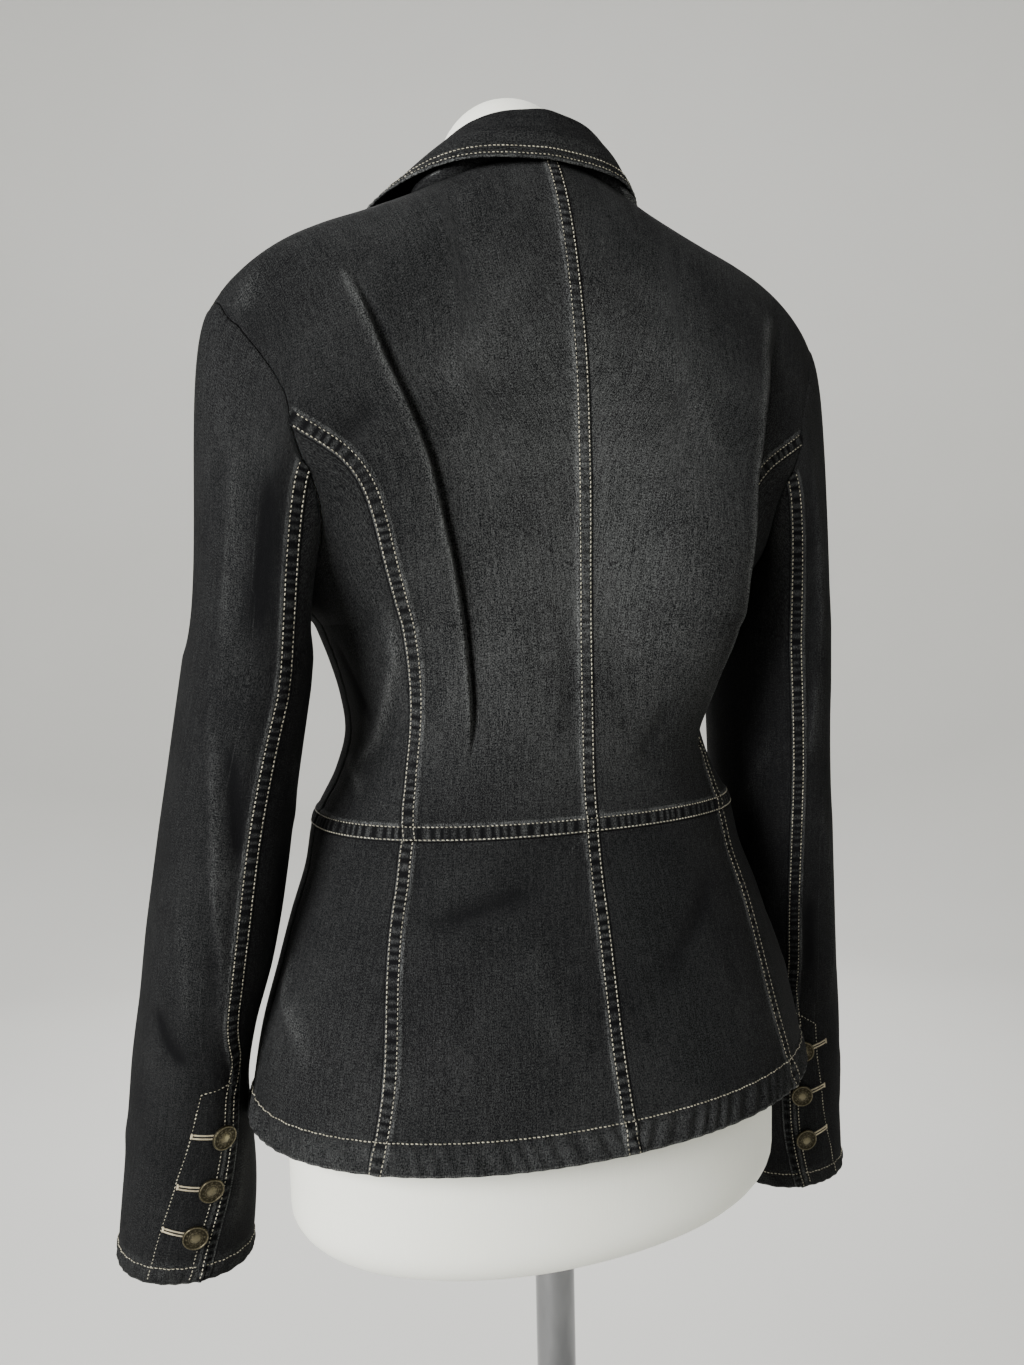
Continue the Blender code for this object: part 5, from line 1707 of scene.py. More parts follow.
@dataclass
class Peplum(Garment):
    """The eight panels below the waist seam."""

    rows: int = 94
    # Panels from the back to the front, and their columns
    panels: dict[str, int] = field(default_factory=lambda: {
        "back": 76, "side_back": 42, "side_front": 32, "front": 52})
    hem_reach: float = 6.0 * MM

    def build(self, waists: dict[Side, Seam]) -> None:
        """Build all panels and their topstitching.

        Args:
            waists: Waist seam of each side.
        """
        torso, cut = self.torso, self.cut
        low, high = torso.hem, torso.waist
        centre = Curve(torso, [(0, low + (high - low) * step / 4) for step in range(5)])
        curves = (centre, cut.seam(cut.back_princess, low, high), cut.side_seam(low, high),
                  cut.seam(cut.front_princess, low, high, True), cut.seam(cut.front_edge, low, high, True))
        middle = self.seam(centre, Side.LEFT, FELLED)
        for side in Side:
            hem = self.seam(level(0, curves[-1](0.0)[0], low), side, HEM_SEWING, self.hem_reach, 900)
            seams = [middle] + [self.seam(curve, side, sewing) for curve, sewing in
                                zip(curves[1:], (FELLED, PLAIN_SEAM, FELLED, EDGE_SEWING))]
            lies = ((Lie.OVER if side is Side.LEFT else Lie.UNDER, Lie.OVER), (Lie.UNDER, Lie.PLAIN),
                    (Lie.PLAIN, Lie.UNDER), (Lie.OVER, Lie.EDGE))
            panels = []
            for number, (name, columns) in enumerate(self.panels.items()):
                left, right = curves[number:number + 2]
                bottom, top = (level(left(end)[0], right(end)[0], rise) for end,
                               rise in ((0.0, low), (1.0, high)))
                shares = np.linspace(0, 1, self.rows + 1), spread(columns,
                                                                  ((0.0, 1.8, 0.06), (1.0, 1.8, 0.06)))
                laps = [(edge, FELLED.strip) for edge, lie in zip(("left", "right"), lies[number])
                        if lie is Lie.OVER]
                panels.append(self.panel(
                    "peplum_" + name, side, (bottom, top, left, right), shares, laps,
                    [*zip(seams[number:number + 2], lies[number]), (hem, Lie.EDGE),
                     (waists[side], Lie.UNDER)],
                    lift=cut.overlap if side is Side.RIGHT and name == "front" else None, held="hung",
                    rests_on=(name + "_" + side.label,)))
            self.sew("peplum_" + side.label, panels)


@dataclass
class Lapels(Garment):
    """The two notched lapels, lying on the fronts."""

    starts: dict[Side, Rows] = field(default_factory=lambda: {
        # (height, across) at the roll line and at the edge
        Side.LEFT: ((1.2720, 0.0045), (1.2520, 0.0170)), Side.RIGHT: ((1.2395, -0.0095), (1.2400, -0.0060))})
    edge: Rows = ((1.262, 0.0360), (1.300, 0.0790), (1.335, 0.1060), (1.354, 0.1170))
    gorge: Rows = ((1.398, 0.0620), (1.381, 0.0910), (1.354, 0.1170))
    puff: float = 2.2 * MM
    cloth: float = 1.4 * MM
    clear: float = 0.9 * MM
    faded: float = 0.15
    thickness: float = 1.3 * MM
    rows: int = 70
    columns: int = 36

    def surface(self, side: Side) -> GridSurface:
        """Upper face of one lapel.

        Args:
            side: Side of the wearer.

        Returns:
            The surface.
        """
        torso = self.torso
        start, edge, gorge = (torso.places(table, True) for table in (self.starts[side], self.edge,
                                                                      self.gorge))
        low, high = self.starts[side][0][0] + 5 * MM, self.gorge[0][0]
        inner = torso.places([row for row in self.cut.roll if low < row[0] < high], True)
        rows, columns = np.linspace(0, 1, 81), np.linspace(0, 1, 41)
        curves = [Curve(torso, line) for line in (start, gorge, start[:1] + inner + gorge[:1],
                                                  start[1:] + edge)]
        places = mirrored(patch(*curves, rows, columns), side)
        lift = (self.puff * np.sin(math.pi * columns)[None, :] * rows[:, None] + self.cloth + self.clear
                + (self.cut.overlap(places) if side is Side.RIGHT else 0.0))
        return GridSurface(torso.plain(places) + torso.normal(places) * lift[..., None], self.faded, -1.0,
                           (0.5, 0.5))

    def build(self) -> None:
        """Build both lapels and their topstitching."""
        panels = []
        for side in Side:
            surface = self.surface(side)
            seams = [(Seam(Line(surface, np.linspace(start, (1, 1), 60)), sewing), Lie.EDGE)
                     for start, sewing in (((1, 0), EDGE_SEWING), ((0, 1), GORGE_SEWING))]
            places = np.stack(np.meshgrid(np.linspace(0, 1, self.columns + 1),
                                          np.linspace(0, 1, self.rows + 1)), -1)
            panels.append(Panel("lapel_" + side.label, surface, places, seams, thickness=self.thickness,
                                held="folded", rests_on=("front_" + side.label,)))
        self.sew("lapels", panels)


@dataclass
class Collar(Garment):
    """Stand and fall in one piece, folded over at the top."""

    stations: Rows = (
        # share, fold x, fold y, fold z, edge x, edge y, edge z
        (0.00, 0.000, 0.0490, 1.507, 0.000, 0.0620, 1.4735),
        (0.16, 0.024, 0.0450, 1.504, 0.034, 0.0580, 1.4725),
        (0.32, 0.042, 0.0340, 1.498, 0.064, 0.0480, 1.4690),
        (0.46, 0.050, 0.0150, 1.490, 0.085, 0.0240, 1.4640),
        (0.60, 0.055, -0.0100, 1.474, 0.101, -0.0060, 1.4550),
        (0.75, 0.059, -0.0340, 1.450, 0.113, -0.0340, 1.4350),
        (0.88, 0.061, -0.0500, 1.426, 0.117, -0.0520, 1.4110),
        (1.00, 0.062, -0.0640, 1.404, 0.111, -0.0680, 1.3800))
    shift: float = 0.003
    # The fold's two rounding points beyond the stand's top: outward, up
    fold: Rows = ((0.0008, 0.0018), (0.0058, 0.0012))
    belly: float = 0.0025
    clearance: float = 0.0022
    cloth: float = 1.4 * MM
    seam_lift: float = 0.0020
    foot: float = 5.0 * MM
    foot_clear: float = 1.6 * MM
    root: tuple[float, float] = (4.5 * MM, 1.0 * MM)
    coarse: int = 26
    smoothing: int = 12
    turnover: float = 0.44
    roll_share: float = 0.40
    # Column of the profile where the fall starts
    first_fall: int = 6
    # Rows and columns of the surface, then of the cloth
    fine: tuple[int, int] = (161, 45)
    rows: int = 176
    columns: int = 40
    faded: float = 0.10

    def seam_points(self, share: float, fold: Array, outward: Array) -> tuple[Array, Array]:
        """Ends of the collar at the neck.

        Args:
            share: Share of the way round from the centre back, negative on the right.
            fold: Top of the stand there.
            outward: Direction away from the neck.

        Returns:
            Start of the stand just above the necklines, and its foot: inside them, or on the fronts' cloth.
        """
        size, side = abs(share), -1 if share < 0 else 1
        if size <= self.turnover:
            place = self.cut.back_neck(np.array(size / self.turnover))
        else:
            beyond = (size - self.turnover) / (1 - self.turnover)
            place = self.cut.roll_line(np.array(1 - self.roll_share * beyond))
        place = np.array([side * place[0], min(place[1], self.torso.top)])[None]
        start = self.torso.plain(place) + self.torso.normal(place) * self.seam_lift
        low = self.torso.settle(start + unit(start - fold) * self.foot, place)
        on_cloth = self.torso.plain(low) + self.torso.normal(low) * self.foot_clear
        inside = start - self.torso.normal(place) * self.root[0] - outward * self.root[1]
        mixed = ease((size - self.turnover - 0.03) / 0.12)
        return start[0], (inside + (on_cloth - inside) * mixed)[0]

    def seated(self, points: Array) -> Array:
        """Move points out so that they stay clear of the bare torso.

        Args:
            points: Grid of points.

        Returns:
            The moved points.
        """
        torso = self.torso
        places = np.stack(np.meshgrid(np.radians(np.linspace(-179, 179, 240)),
                                      np.linspace(torso.chest, torso.top, 160)), -1).reshape(-1, 2)
        surface, normals = torso.plain(places), torso.normal(places)
        own = (surface ** 2).sum(1)
        flat = points.reshape(-1, 3).copy()
        for _ in range(2):
            nearest = np.argmin(own - 2 * flat @ surface.T, axis=1)
            above = ((flat - surface[nearest]) * normals[nearest]).sum(1)
            flat += normals[nearest] * np.maximum(self.clearance + self.cloth - above, 0)[:, None]
        moves = flat.reshape(points.shape) - points
        for _ in range(self.smoothing):
            moves[1:-1] = (moves[:-2] + 2 * moves[1:-1] + moves[2:]) / 4
        return points + moves

    def profile(self, share: float) -> list[Array]:
        """Cross-section at a share of the way round.

        Args:
            share: From -1, the right end, to 1, the left one.

        Returns:
            Points from the foot over the fold to the edge.
        """
        way = np.array([-1 if share < 0 else 1, 1, 1])
        moved, up = np.array([self.shift, self.torso.middle, 0]), np.array([0, 0, 1])
        values = smooth_table(self.stations)(np.array(abs(share)))
        fold, edge = values[:3] * way + moved, values[3:] * way + moved
        outward = unit((edge - fold) * (1, 1, 0))
        start, foot = self.seam_points(share, fold, outward)
        stand = [start + (fold - start) * t for t in (0.0, 0.5, 1.0)]
        over = [fold + outward * out + up * high for out, high in self.fold]
        belly = (outward + up) * self.belly
        fall = [over[1] + (edge - over[1]) * t + belly * math.sin(math.pi * t) for t in (0.25, 0.5, 0.75,
                                                                                         1.0)]
        return [foot] + stand + over + fall

    def surface(self) -> GridSurface:
        """Upper face of the collar; columns go from the neck seam to the edge, rows from right to left.

        Returns:
            The surface.
        """
        shares = np.linspace(-1, 1, self.coarse + 1)
        grid = np.array([self.profile(share) for share in shares])
        grid[:, self.first_fall:] = self.seated(grid[:, self.first_fall:])
        steps = np.linalg.norm(np.diff(grid, axis=1), axis=-1).mean(0)
        keys = np.concatenate([[0], np.cumsum(steps)]) / steps.sum()
        rows, columns = self.fine
        fine = fitted(grid.reshape(len(shares), -1), rows).reshape(rows, len(keys), 3).transpose(1, 0, 2)
        by_column = smooth_table(np.column_stack([keys, fine.reshape(len(keys), -1)]))
        fine = by_column(np.linspace(0, 1, columns)).reshape(columns, rows, 3).transpose(1, 0, 2)
        # The fall at the centre back faces backwards
        return GridSurface(fine, self.faded, 1.0, (0.8, 0.5))

    def build(self) -> None:
        """Build the collar and its topstitching."""
        surface = self.surface()
        seams = [(Seam(Line(surface, np.linspace(start, end, 200)), sewing), Lie.EDGE) for start, end,
                 sewing in (
            ((1, 0), (1, 1), COLLAR_SEWING), ((0.5, 0), (1, 0), GORGE_SEWING),
            ((0.5, 1), (1, 1), GORGE_SEWING))]
        places = np.stack(np.meshgrid(spread(self.columns, ((1.0, 2.0, 0.1), (0.42, 2.0, 0.06))),
                                      spread(self.rows, ((0.0, 2.0, 0.03), (1.0, 2.0, 0.03)))), -1)
        self.sew("collar", [Panel("collar", surface, places, seams, thickness=self.cloth, held="folded",
                                  rests_on=("back_left", "back_right"))])


@dataclass
class Sleeves(Garment):
    """Both two-piece sleeves with their cuff vents."""

    cap_rows: int = 72
    low_rows: int = 142
    top_columns: int = 70
    under_columns: int = 42
    # Rows and strip of the back seam by height: the two rows, and how far the top sleeve laps over
    vent: Rows = ((0.742, -8.5, -1.8, 0.4), (0.880, -8.5, -1.8, 0.4), (0.910, -3.5, 3.5, 4.6),
                  (1.158, -3.5, 3.5, 4.6))
    # Outline of the vent's facing: angle round the sleeve, height
    outline: dict[Side, Rows] = field(default_factory=lambda: {
        Side.LEFT: ((119, 0.890), (104, 0.887), (88, 0.885), (82, 0.860), (69, 0.823), (57, 0.781),
                    (52, 0.758),
                    (49.5, 0.743)),
        Side.RIGHT: ((122, 0.890), (110, 0.884), (98, 0.878), (94, 0.851), (86, 0.825), (79, 0.795),
                     (70, 0.769),
                     (65, 0.745))})
    # Creases: height, angle; then lift, widths before and behind, power, and paleness: wear with a painted
    # highlight on ridges, painted shade below 0 in troughs
    creases: dict[Side, list] = field(default_factory=lambda: {
        Side.LEFT: [
            (((1.150, 42.0), (1.140, 44.5), (1.069, 61.2), (1.014, 72.8), (0.966, 88.3), (0.912, 101.7)),
             2.3, 1.8, 9.0, 1.3, 0.10),
            (((1.128, 62.0), (1.075, 78.0), (1.030, 90.0)), -1.2, 6.0, 5.0, 1.6, -0.10),
            (((1.010, 40.0), (0.965, 55.0), (0.925, 66.0)), 1.1, 3.0, 9.0, 1.5, 0.05),
            (((0.940, 30.0), (0.915, 52.0), (0.902, 78.0)), -1.3, 4.0, 7.0, 1.7, -0.08),
            (((0.851, 138.3), (0.810, 126.6), (0.769, 119.6)), 1.2, 4.0, 7.0, 1.7, 0.05),
            (((1.120, 125.0), (1.080, 140.0), (1.050, 160.0)), 1.2, 4.0, 8.0, 1.6, 0.05),
            (((1.060, 128.0), (1.010, 140.0), (0.960, 150.0)), -1.2, 5.0, 8.0, 1.7, -0.06),
            (((1.145, 250.0), (1.090, 262.0), (1.040, 280.0)), -1.4, 5.0, 9.0, 1.7, -0.05),
            (((1.080, 300.0), (1.030, 285.0), (0.990, 262.0)), 1.3, 5.0, 9.0, 1.6, 0.06),
            (((0.960, 330.0), (0.920, 300.0), (0.890, 275.0)), 1.1, 5.0, 8.0, 1.6, 0.04),
            (((0.870, 20.0), (0.845, 0.0), (0.815, -25.0)), 1.0, 5.0, 9.0, 1.7, 0.04)],
        Side.RIGHT: [
            (((1.152, 84.0), (1.145, 85.4), (1.105, 91.4), (1.070, 93.0)), 2.0, 2.2, 9.0, 1.3, 0.09),
            (((1.130, 60.0), (1.075, 52.0), (1.020, 50.0)), -1.3, 6.0, 9.0, 1.7, -0.08),
            (((1.050, 85.0), (1.000, 67.5), (0.932, 65.1), (0.881, 84.3)), 1.8, 2.6, 9.0, 1.4, 0.08),
            (((0.960, 40.0), (0.925, 30.0), (0.900, 12.0)), -1.2, 5.0, 8.0, 1.7, -0.06),
            (((0.985, 95.0), (0.945, 100.0), (0.915, 104.0)), -1.2, 5.0, 6.0, 1.7, -0.08),
            (((0.855, 30.0), (0.820, 45.0), (0.790, 50.0)), 1.0, 5.0, 8.0, 1.7, 0.04),
            (((1.110, 128.0), (1.070, 146.0), (1.040, 165.0)), 1.2, 4.0, 8.0, 1.6, 0.04),
            (((1.140, 255.0), (1.090, 268.0), (1.030, 285.0)), -1.4, 5.0, 9.0, 1.7, -0.05),
            (((1.070, 305.0), (1.020, 290.0), (0.980, 270.0)), 1.3, 5.0, 9.0, 1.6, 0.05),
            (((0.950, 335.0), (0.915, 305.0), (0.885, 282.0)), 1.1, 5.0, 8.0, 1.6, 0.04)]})
    # Creases of the cap: column round the armhole and share of the cap's length
    cap_creases: dict[Side, list] = field(default_factory=lambda: {
        Side.LEFT: [
            (((3.0, 0.30), (3.2, 0.55), (3.25, 0.85), (3.3, 1.05)), 2.2, 2.0, 10.0, 1.3, 0.08),
            (((5.4, 0.25), (5.2, 0.60), (5.0, 0.95)), -1.3, 6.0, 8.0, 1.7, -0.10),
            (((-4.5, 0.30), (-4.6, 0.60), (-4.6, 1.00)), -1.2, 6.0, 9.0, 1.7, -0.05)],
        Side.RIGHT: [
            (((5.1, 0.20), (5.15, 0.50), (5.2, 0.85), (5.3, 1.04)), 2.0, 2.4, 10.0, 1.3, 0.08),
            (((3.2, 0.30), (3.3, 0.60), (3.4, 0.95)), -1.2, 6.0, 9.0, 1.7, -0.08),
            (((-4.4, 0.30), (-4.5, 0.60), (-4.6, 1.00)), -1.2, 6.0, 9.0, 1.7, -0.05)]})

    def form(self, side: Side) -> SleeveForm:
        """Surface of one sleeve with its creases.

        Args:
            side: Side of the wearer.

        Returns:
            The surface.
        """
        form = SleeveForm(side, self.cut)
        laid = [([form.place(angle, height) for height, angle in rows], shape)
                for rows, *shape in self.creases[side]]
        laid += [(rows, shape) for rows, *shape in self.cap_creases[side]]
        form.creases = [Crease.laid(form, places, *shape) for places, shape in laid]
        return form

    def vent_at(self, form: SleeveForm, share: Array) -> Array:
        """The vent's two rows and its lap at shares of the length."""
        table = np.array(self.vent)
        return straight(form.level(share), table[:, 0], table[:, 1:] * MM)

    def build(self) -> dict[Side, Panel]:
        """Build both sleeves and their topstitching.

        Returns:
            The top sleeve of each side, which carries the cuff's buttons.
        """
        tops = {}
        for side in Side:
            form = self.form(side)
            back = Line(form, np.linspace((form.back_column, 0), (form.back_column, 2), 500))
            values = self.vent_at(form, back.places[:, 1])
            seam = Seam(back, FELLED, values[:, :2], values[:, 2])
            front = Seam(Line(form, np.linspace((form.front_column, 0), (form.front_column, 2), 400)),
                         PLAIN_SEAM)
            facing = Seam(Line(form, [form.place(angle, height) for angle, height in self.outline[side]]),
                          ONE_ROW)
            shares = np.concatenate([np.linspace(0, 1, self.cap_rows + 1),
                                     1 + np.linspace(0, 1, self.low_rows + 1)[1:]])
            panels = []
            for name, start, end, count, fine, lie in (
                    ("top", form.front_column - form.columns, form.back_column, self.top_columns, 1.0,
                     Lie.OVER),
                    ("under", form.back_column, form.front_column, self.under_columns, 0.0, Lie.UNDER)):
                column = start + (end - start) * spread(count, ((fine, 2.2, 0.08),))
                places = np.stack(np.meshgrid(column, shares), -1)
                cuff, armhole = (Seam(Line(form, np.linspace((start, share), (end, share), 300)), sewing)
                                 for share, sewing in ((2, CUFF_SEWING), (0, PLAIN_SEAM)))
                sewn = [(seam, lie), (front, Lie.PLAIN), (cuff, Lie.EDGE), (armhole, Lie.PLAIN)]
                if lie is Lie.OVER:
                    places = extended(form, places, "right", self.vent_at(form, shares)[:, 2])
                    sewn.append((facing, Lie.ROW))
                panels.append(Panel(name + "_sleeve_" + side.label, form, places, sewn, held="hung",
                                    rests_on=("back_" + side.label, "front_" + side.label)))
            tops[side] = panels[0]
            self.sew("sleeve_" + side.label, panels)
        return tops


@dataclass
class Buttonholes:
    """Satin-stitched buttonholes with a bar tack at their far end."""

    silk: bpy.types.Material
    length: float = 23.0 * MM
    width: float = 2.4 * MM
    bead: float = 0.62 * MM
    high: float = 0.50 * MM
    ripple: float = 0.55 * MM
    ripple_height: float = 0.16
    off_cloth: float = 0.1 * MM
    sides: int = 6

    def paths(self, panel: Panel, start: Array, way: Array) -> list[Array]:
        """Rings of the long loop round the slit and of the bar tack.

        Args:
            panel: Cloth that carries it.
            start: Place of its near end.
            way: Direction of its length.

        Returns:
            Ring points of both.
        """
        base, normal = panel.surface.plain(start[None])[0], panel.surface.normal(start[None])[0]
        way = unit(way - normal * (way @ normal))
        side = np.cross(normal, way)
        half, corner = self.width / 2, np.linspace(-math.pi / 2, math.pi / 2, 12)
        end = [(self.length - half + math.cos(a) * half, math.sin(a) * half) for a in corner]
        near = [(half - math.cos(a) * half, -math.sin(a) * half) for a in corner]
        tack = [(self.length + self.bead * 0.6, self.width * reach) for reach in (-0.95, 0.95)]
        flats = [np.array(points) for points in (end + near + end[:1], tack)]
        return [self.rings(panel, base + way * flat[:, :1] + side * flat[:, 1:], start) for flat in flats]

    def rings(self, panel: Panel, target: Array, start: Array) -> Array:
        """Lay a path down on the cloth as a flattened bead with satin ripples.

        Args:
            panel: Cloth that carries it.
            target: Points of the path.
            start: A place near them.

        Returns:
            Ring points.
        """
        run = path_run(target)
        target = straight(np.arange(0, run[-1], self.ripple / 3), run, target)
        places = panel.surface.settle(target, np.tile(start, (len(target), 1)))
        path, normals = panel.outer(places), panel.surface.normal(places)
        side = unit(np.cross(unit(np.gradient(path, axis=0)), normals))
        wave = 1 + self.ripple_height * np.sin(np.arange(len(path)) * 2 * math.pi / 3)
        wave[[0, -1]] = 0.0
        return ringed(path + normals * self.off_cloth, side, normals, self.bead * wave, self.high * wave,
                      self.sides)

    def build(self, name: str, spots: list[tuple[Panel, Array, Array]]) -> None:
        """Sew buttonholes as one piece.

        Args:
            name: The piece's name.
            spots: Panel, place of the near end and direction of each.
        """
        rings = [points for spot in spots for points in self.paths(*spot)]
        dressed(tubes(name, rings), self.silk)


@dataclass
class Buttons:
    """Round metal buttons with a raised rim and a ring of small leaves round a dome."""

    brass: bpy.types.Material
    radius: float = 8.7 * MM
    height: float = 3.2 * MM
    steps: int = 48
    leaves: int = 12
    # The leaves' ring as shares of the radius, their height and how they slant
    ring: tuple[float, float] = (0.58, 0.83)
    leaf_height: float = 0.13
    leaf_slant: float = 7.0
    # radius share, height share
    profile: Rows = (
        (0.0, 0.02), (0.42, 0.02), (0.46, -0.22), (0.50, 0.04), (0.86, 0.05), (0.94, 0.10), (0.985, 0.20),
        (1.0, 0.34), (1.0, 0.52), (0.985, 0.68), (0.955, 0.80), (0.92, 0.84), (0.885, 0.80), (0.86, 0.70),
        (0.835, 0.62), (0.80, 0.60), (0.76, 0.62), (0.72, 0.64), (0.68, 0.66), (0.64, 0.66), (0.60, 0.65),
        (0.57, 0.64),
        (0.545, 0.70), (0.52, 0.76), (0.49, 0.74), (0.46, 0.68), (0.42, 0.72), (0.34, 0.82), (0.24, 0.90),
        (0.12, 0.95), (0.0, 0.97))

    def build(self, name: str, spot: Array, facing: Array) -> None:
        """Turn one button and set it in place.

        Args:
            name: The CAD node that it replaces.
            spot: Middle of its back face.
            facing: Outward direction.
        """
        builder = turned([(r * self.radius, h * self.height) for r, h in self.profile], self.steps)
        inner, outer = self.ring
        for vert in builder.verts:
            share = math.hypot(vert.co.x, vert.co.y) / self.radius
            if vert.co.z > 0.4 * self.height and inner < share < outer:
                turn = math.atan2(vert.co.y, vert.co.x) * self.leaves
                high = self.leaf_height * math.sin(math.pi * (share - inner) / (outer - inner))
                vert.co.z += self.height * high * math.cos(turn + self.leaf_slant * (share - 0.7))
        heights = [vert.co.z / self.height for vert in builder.verts]
        turn = Vector(facing).to_track_quat("Z", "Y").to_matrix().to_4x4()
        bmesh.ops.transform(builder, matrix=Matrix.Translation(Vector(spot)) @ turn, verts=builder.verts)
        mesh = meshed(builder, name + "_metal")
        mesh.attributes.new("level", "FLOAT", "POINT").data.foreach_set("value",
                                                                        np.array(heights, np.float32))
        dressed(mesh, self.brass, name)


@dataclass
class DressForm:
    """Limbless torso with a neck, under white jersey."""

    torso: TorsoForm
    sides: int = 96
    step: float = 0.01
    ease_rows: Rows = (
        # height, how far the skin lies inside the cloth's outer face
        (0.757, 0.044), (0.846, 0.026), (0.910, 0.019), (0.980, 0.012), (1.044, 0.010), (1.100, 0.014),
        (1.250, 0.017), (1.340, 0.0135), (1.400, 0.0085), (1.430, 0.0070), (1.500, 0.0065))
    cloth: float = 1.4 * MM
    top_clear: float = 3.4 * MM
    bottom: float = 0.757
    bottom_round: float = 0.028
    arm_plate: float = 0.184
    bottom_reach: float = 0.15
    shoulder: float = 1.4525
    squareness: float = 2.6
    neck_radii: tuple[float, float] = (0.0480, 0.0470)
    neck_place: tuple[float, float] = (0.006, -0.002)
    neck_rows: Rows = (
        # height, share of the neck's radius
        (1.460, 0.975), (1.470, 0.945), (1.490, 0.945), (1.502, 0.934), (1.512, 0.823), (1.520, 0.676),
        (1.526, 0.505), (1.530, 0.320), (1.5322, 0.110))

    def section(self, height: float) -> Array:
        """Cross-section of the form at a height.

        Args:
            height: The height.

        Returns:
            Points round the form.
        """
        torso = self.torso
        inset = float(smooth_table(self.ease_rows)(height)[0])
        angles = np.linspace(0, 2 * math.pi, self.sides + 1)
        if height <= torso.chest:
            half_width, centre, back, front, squareness = [float(v) for v in torso.body_ring(height)]
            side, along = rounded(angles, squareness)
            x = np.clip((half_width - inset) * side, -self.arm_plate, self.arm_plate)
            y = centre + np.where(along > 0, back - inset, front - inset) * along
            return np.stack([x, y + torso.middle, np.full(len(x), height)], -1)
        cover = height + self.cloth + self.top_clear
        reach = self.arm_plate
        while float(torso.shoulder(reach)[0]) < cover or reach > self._room(reach, cover) - inset:
            reach -= 0.5 * MM
        side, along = rounded(angles, self.squareness)
        x = reach * side
        line = torso.shoulder(np.abs(x))
        top, middle = line[:, 0], line[:, 1]
        climb = np.clip((cover - torso.chest) / (top - torso.chest), 0.0, 0.9995)
        power = np.where(along > 0, torso.rounding_back, torso.rounding_front)
        shut = (1 - climb ** power) ** (1 / power)
        half_width, centre, back, front, squareness = torso.upper_ring(climb).T
        depth = (1 - np.minimum(np.abs(x) / half_width, 1.0) ** squareness) ** (1 / squareness)
        full = centre + depth * np.where(along > 0, back, -front)
        wall = middle + (full - middle) * shut
        limit = wall - np.sign(wall - middle) * np.minimum(inset, np.abs(wall - middle) * 0.8)
        y = middle + (limit - middle) * np.minimum(1.0, np.abs(along)) + torso.middle
        return np.stack([x, y, np.full(len(x), height)], -1)

    def _room(self, reach: float, height: float) -> float:
        """Half-width of the cloth at a height above the chest.

        Args:
            reach: Half-width of the form.
            height: The height.

        Returns:
            The half-width.
        """
        top = float(self.torso.shoulder(reach)[0])
        climb = min(max((height - self.torso.chest) / (top - self.torso.chest), 0.0), 1.0)
        return float(self.torso.upper_ring(climb)[0])

    def rings(self) -> Array:
        """All sections, from the rounded bottom to the top of the neck.

        Returns:
            Points, sections by sides.
        """
        low = self.bottom + self.bottom_round
        lowest = self.section(low)
        centre = lowest[:-1].mean(0)
        rings = [np.tile(centre * (1, 1, 0) + np.array([0, 0, self.bottom]), (len(lowest), 1))]
        for angle in np.linspace(0, math.pi / 2, 9):
            shrink = 1 - self.bottom_round * (1 - math.sin(angle)) / self.bottom_reach
            ring = centre + (lowest - centre) * np.array([shrink, shrink, 0])
            ring[:, 2] = self.bottom + self.bottom_round * (1 - math.cos(angle))
            rings.append(ring)
        rings += [self.section(float(height)) for height in [*np.arange(low + self.step, self.shoulder,
                                                                        self.step),
                                                             self.shoulder]]
        angles = np.linspace(0, 2 * math.pi, self.sides + 1)
        (x, y), (wide, deep) = self.neck_place, self.neck_radii
        for height, scale in [*fitted(self.neck_rows, 40), (self.neck_rows[-1][0], 0.0)]:
            rings.append(np.stack([x + wide * scale * np.sin(angles),
                                   y + self.torso.middle + deep * scale * np.cos(angles),
                                   np.full(len(angles), height)], -1))
        return np.array(rings)

    def build(self, jersey: bpy.types.Material) -> None:
        """Make the form in place of its solid."""
        dressed(grid_mesh("form_jersey", self.rings(), closed=True)[0], jersey, "form_body")


@dataclass
class Stand:
    """Chromed pole and round base plate with its hub."""

    pole_radius: float = 0.014
    base_radius: float = 0.170
    base_edge: float = 0.006
    base_height: float = 0.016
    hub_radius: float = 0.032
    hub_height: float = 0.036
    gap: float = 0.4 * MM
    form_bottom: float = 0.757
    bevel: float = 1.2 * MM

    def turn(self, node: str, profile: Rows, steps: int, chrome: bpy.types.Material) -> None:
        """Turn a profile about the pole's axis and round its edges.

        Args:
            node: The CAD node that it replaces.
            profile: (radius, height) rows.
            steps: Steps of the full turn.
            chrome: The metal's material.
        """
        made = dressed(meshed(turned(profile, steps), node + "_chrome"), chrome, node)
        bevel = made.modifiers.new("edges", "BEVEL")
        bevel.width = self.bevel
        bevel.segments = 3
        bevel.limit_method = "ANGLE"
        bevel.angle_limit = math.radians(28)
        bevel.harden_normals = True

    def build(self, chrome: bpy.types.Material) -> None:
        """Build pole and base.

        Args:
            chrome: The metal's material.
        """
        base, edge, hub, top = self.base_radius, self.base_edge, self.hub_radius, self.base_height
        self.turn("stand_base", (
            (0.0, 0.0), (base - 0.001, 0.0), (base, 0.001), (base, edge), (base - 0.010, edge + 0.004),
            (hub + 0.006, top), (hub, top + 0.006), (hub - 0.003, self.hub_height), (0.0, self.hub_height)),
            128, chrome)
        low, high = self.hub_height + self.gap, self.form_bottom - self.gap
        self.turn("stand_pole", ((0.0, low), (self.pole_radius, low), (self.pole_radius, high), (0.0, high)),
                  64,
                  chrome)


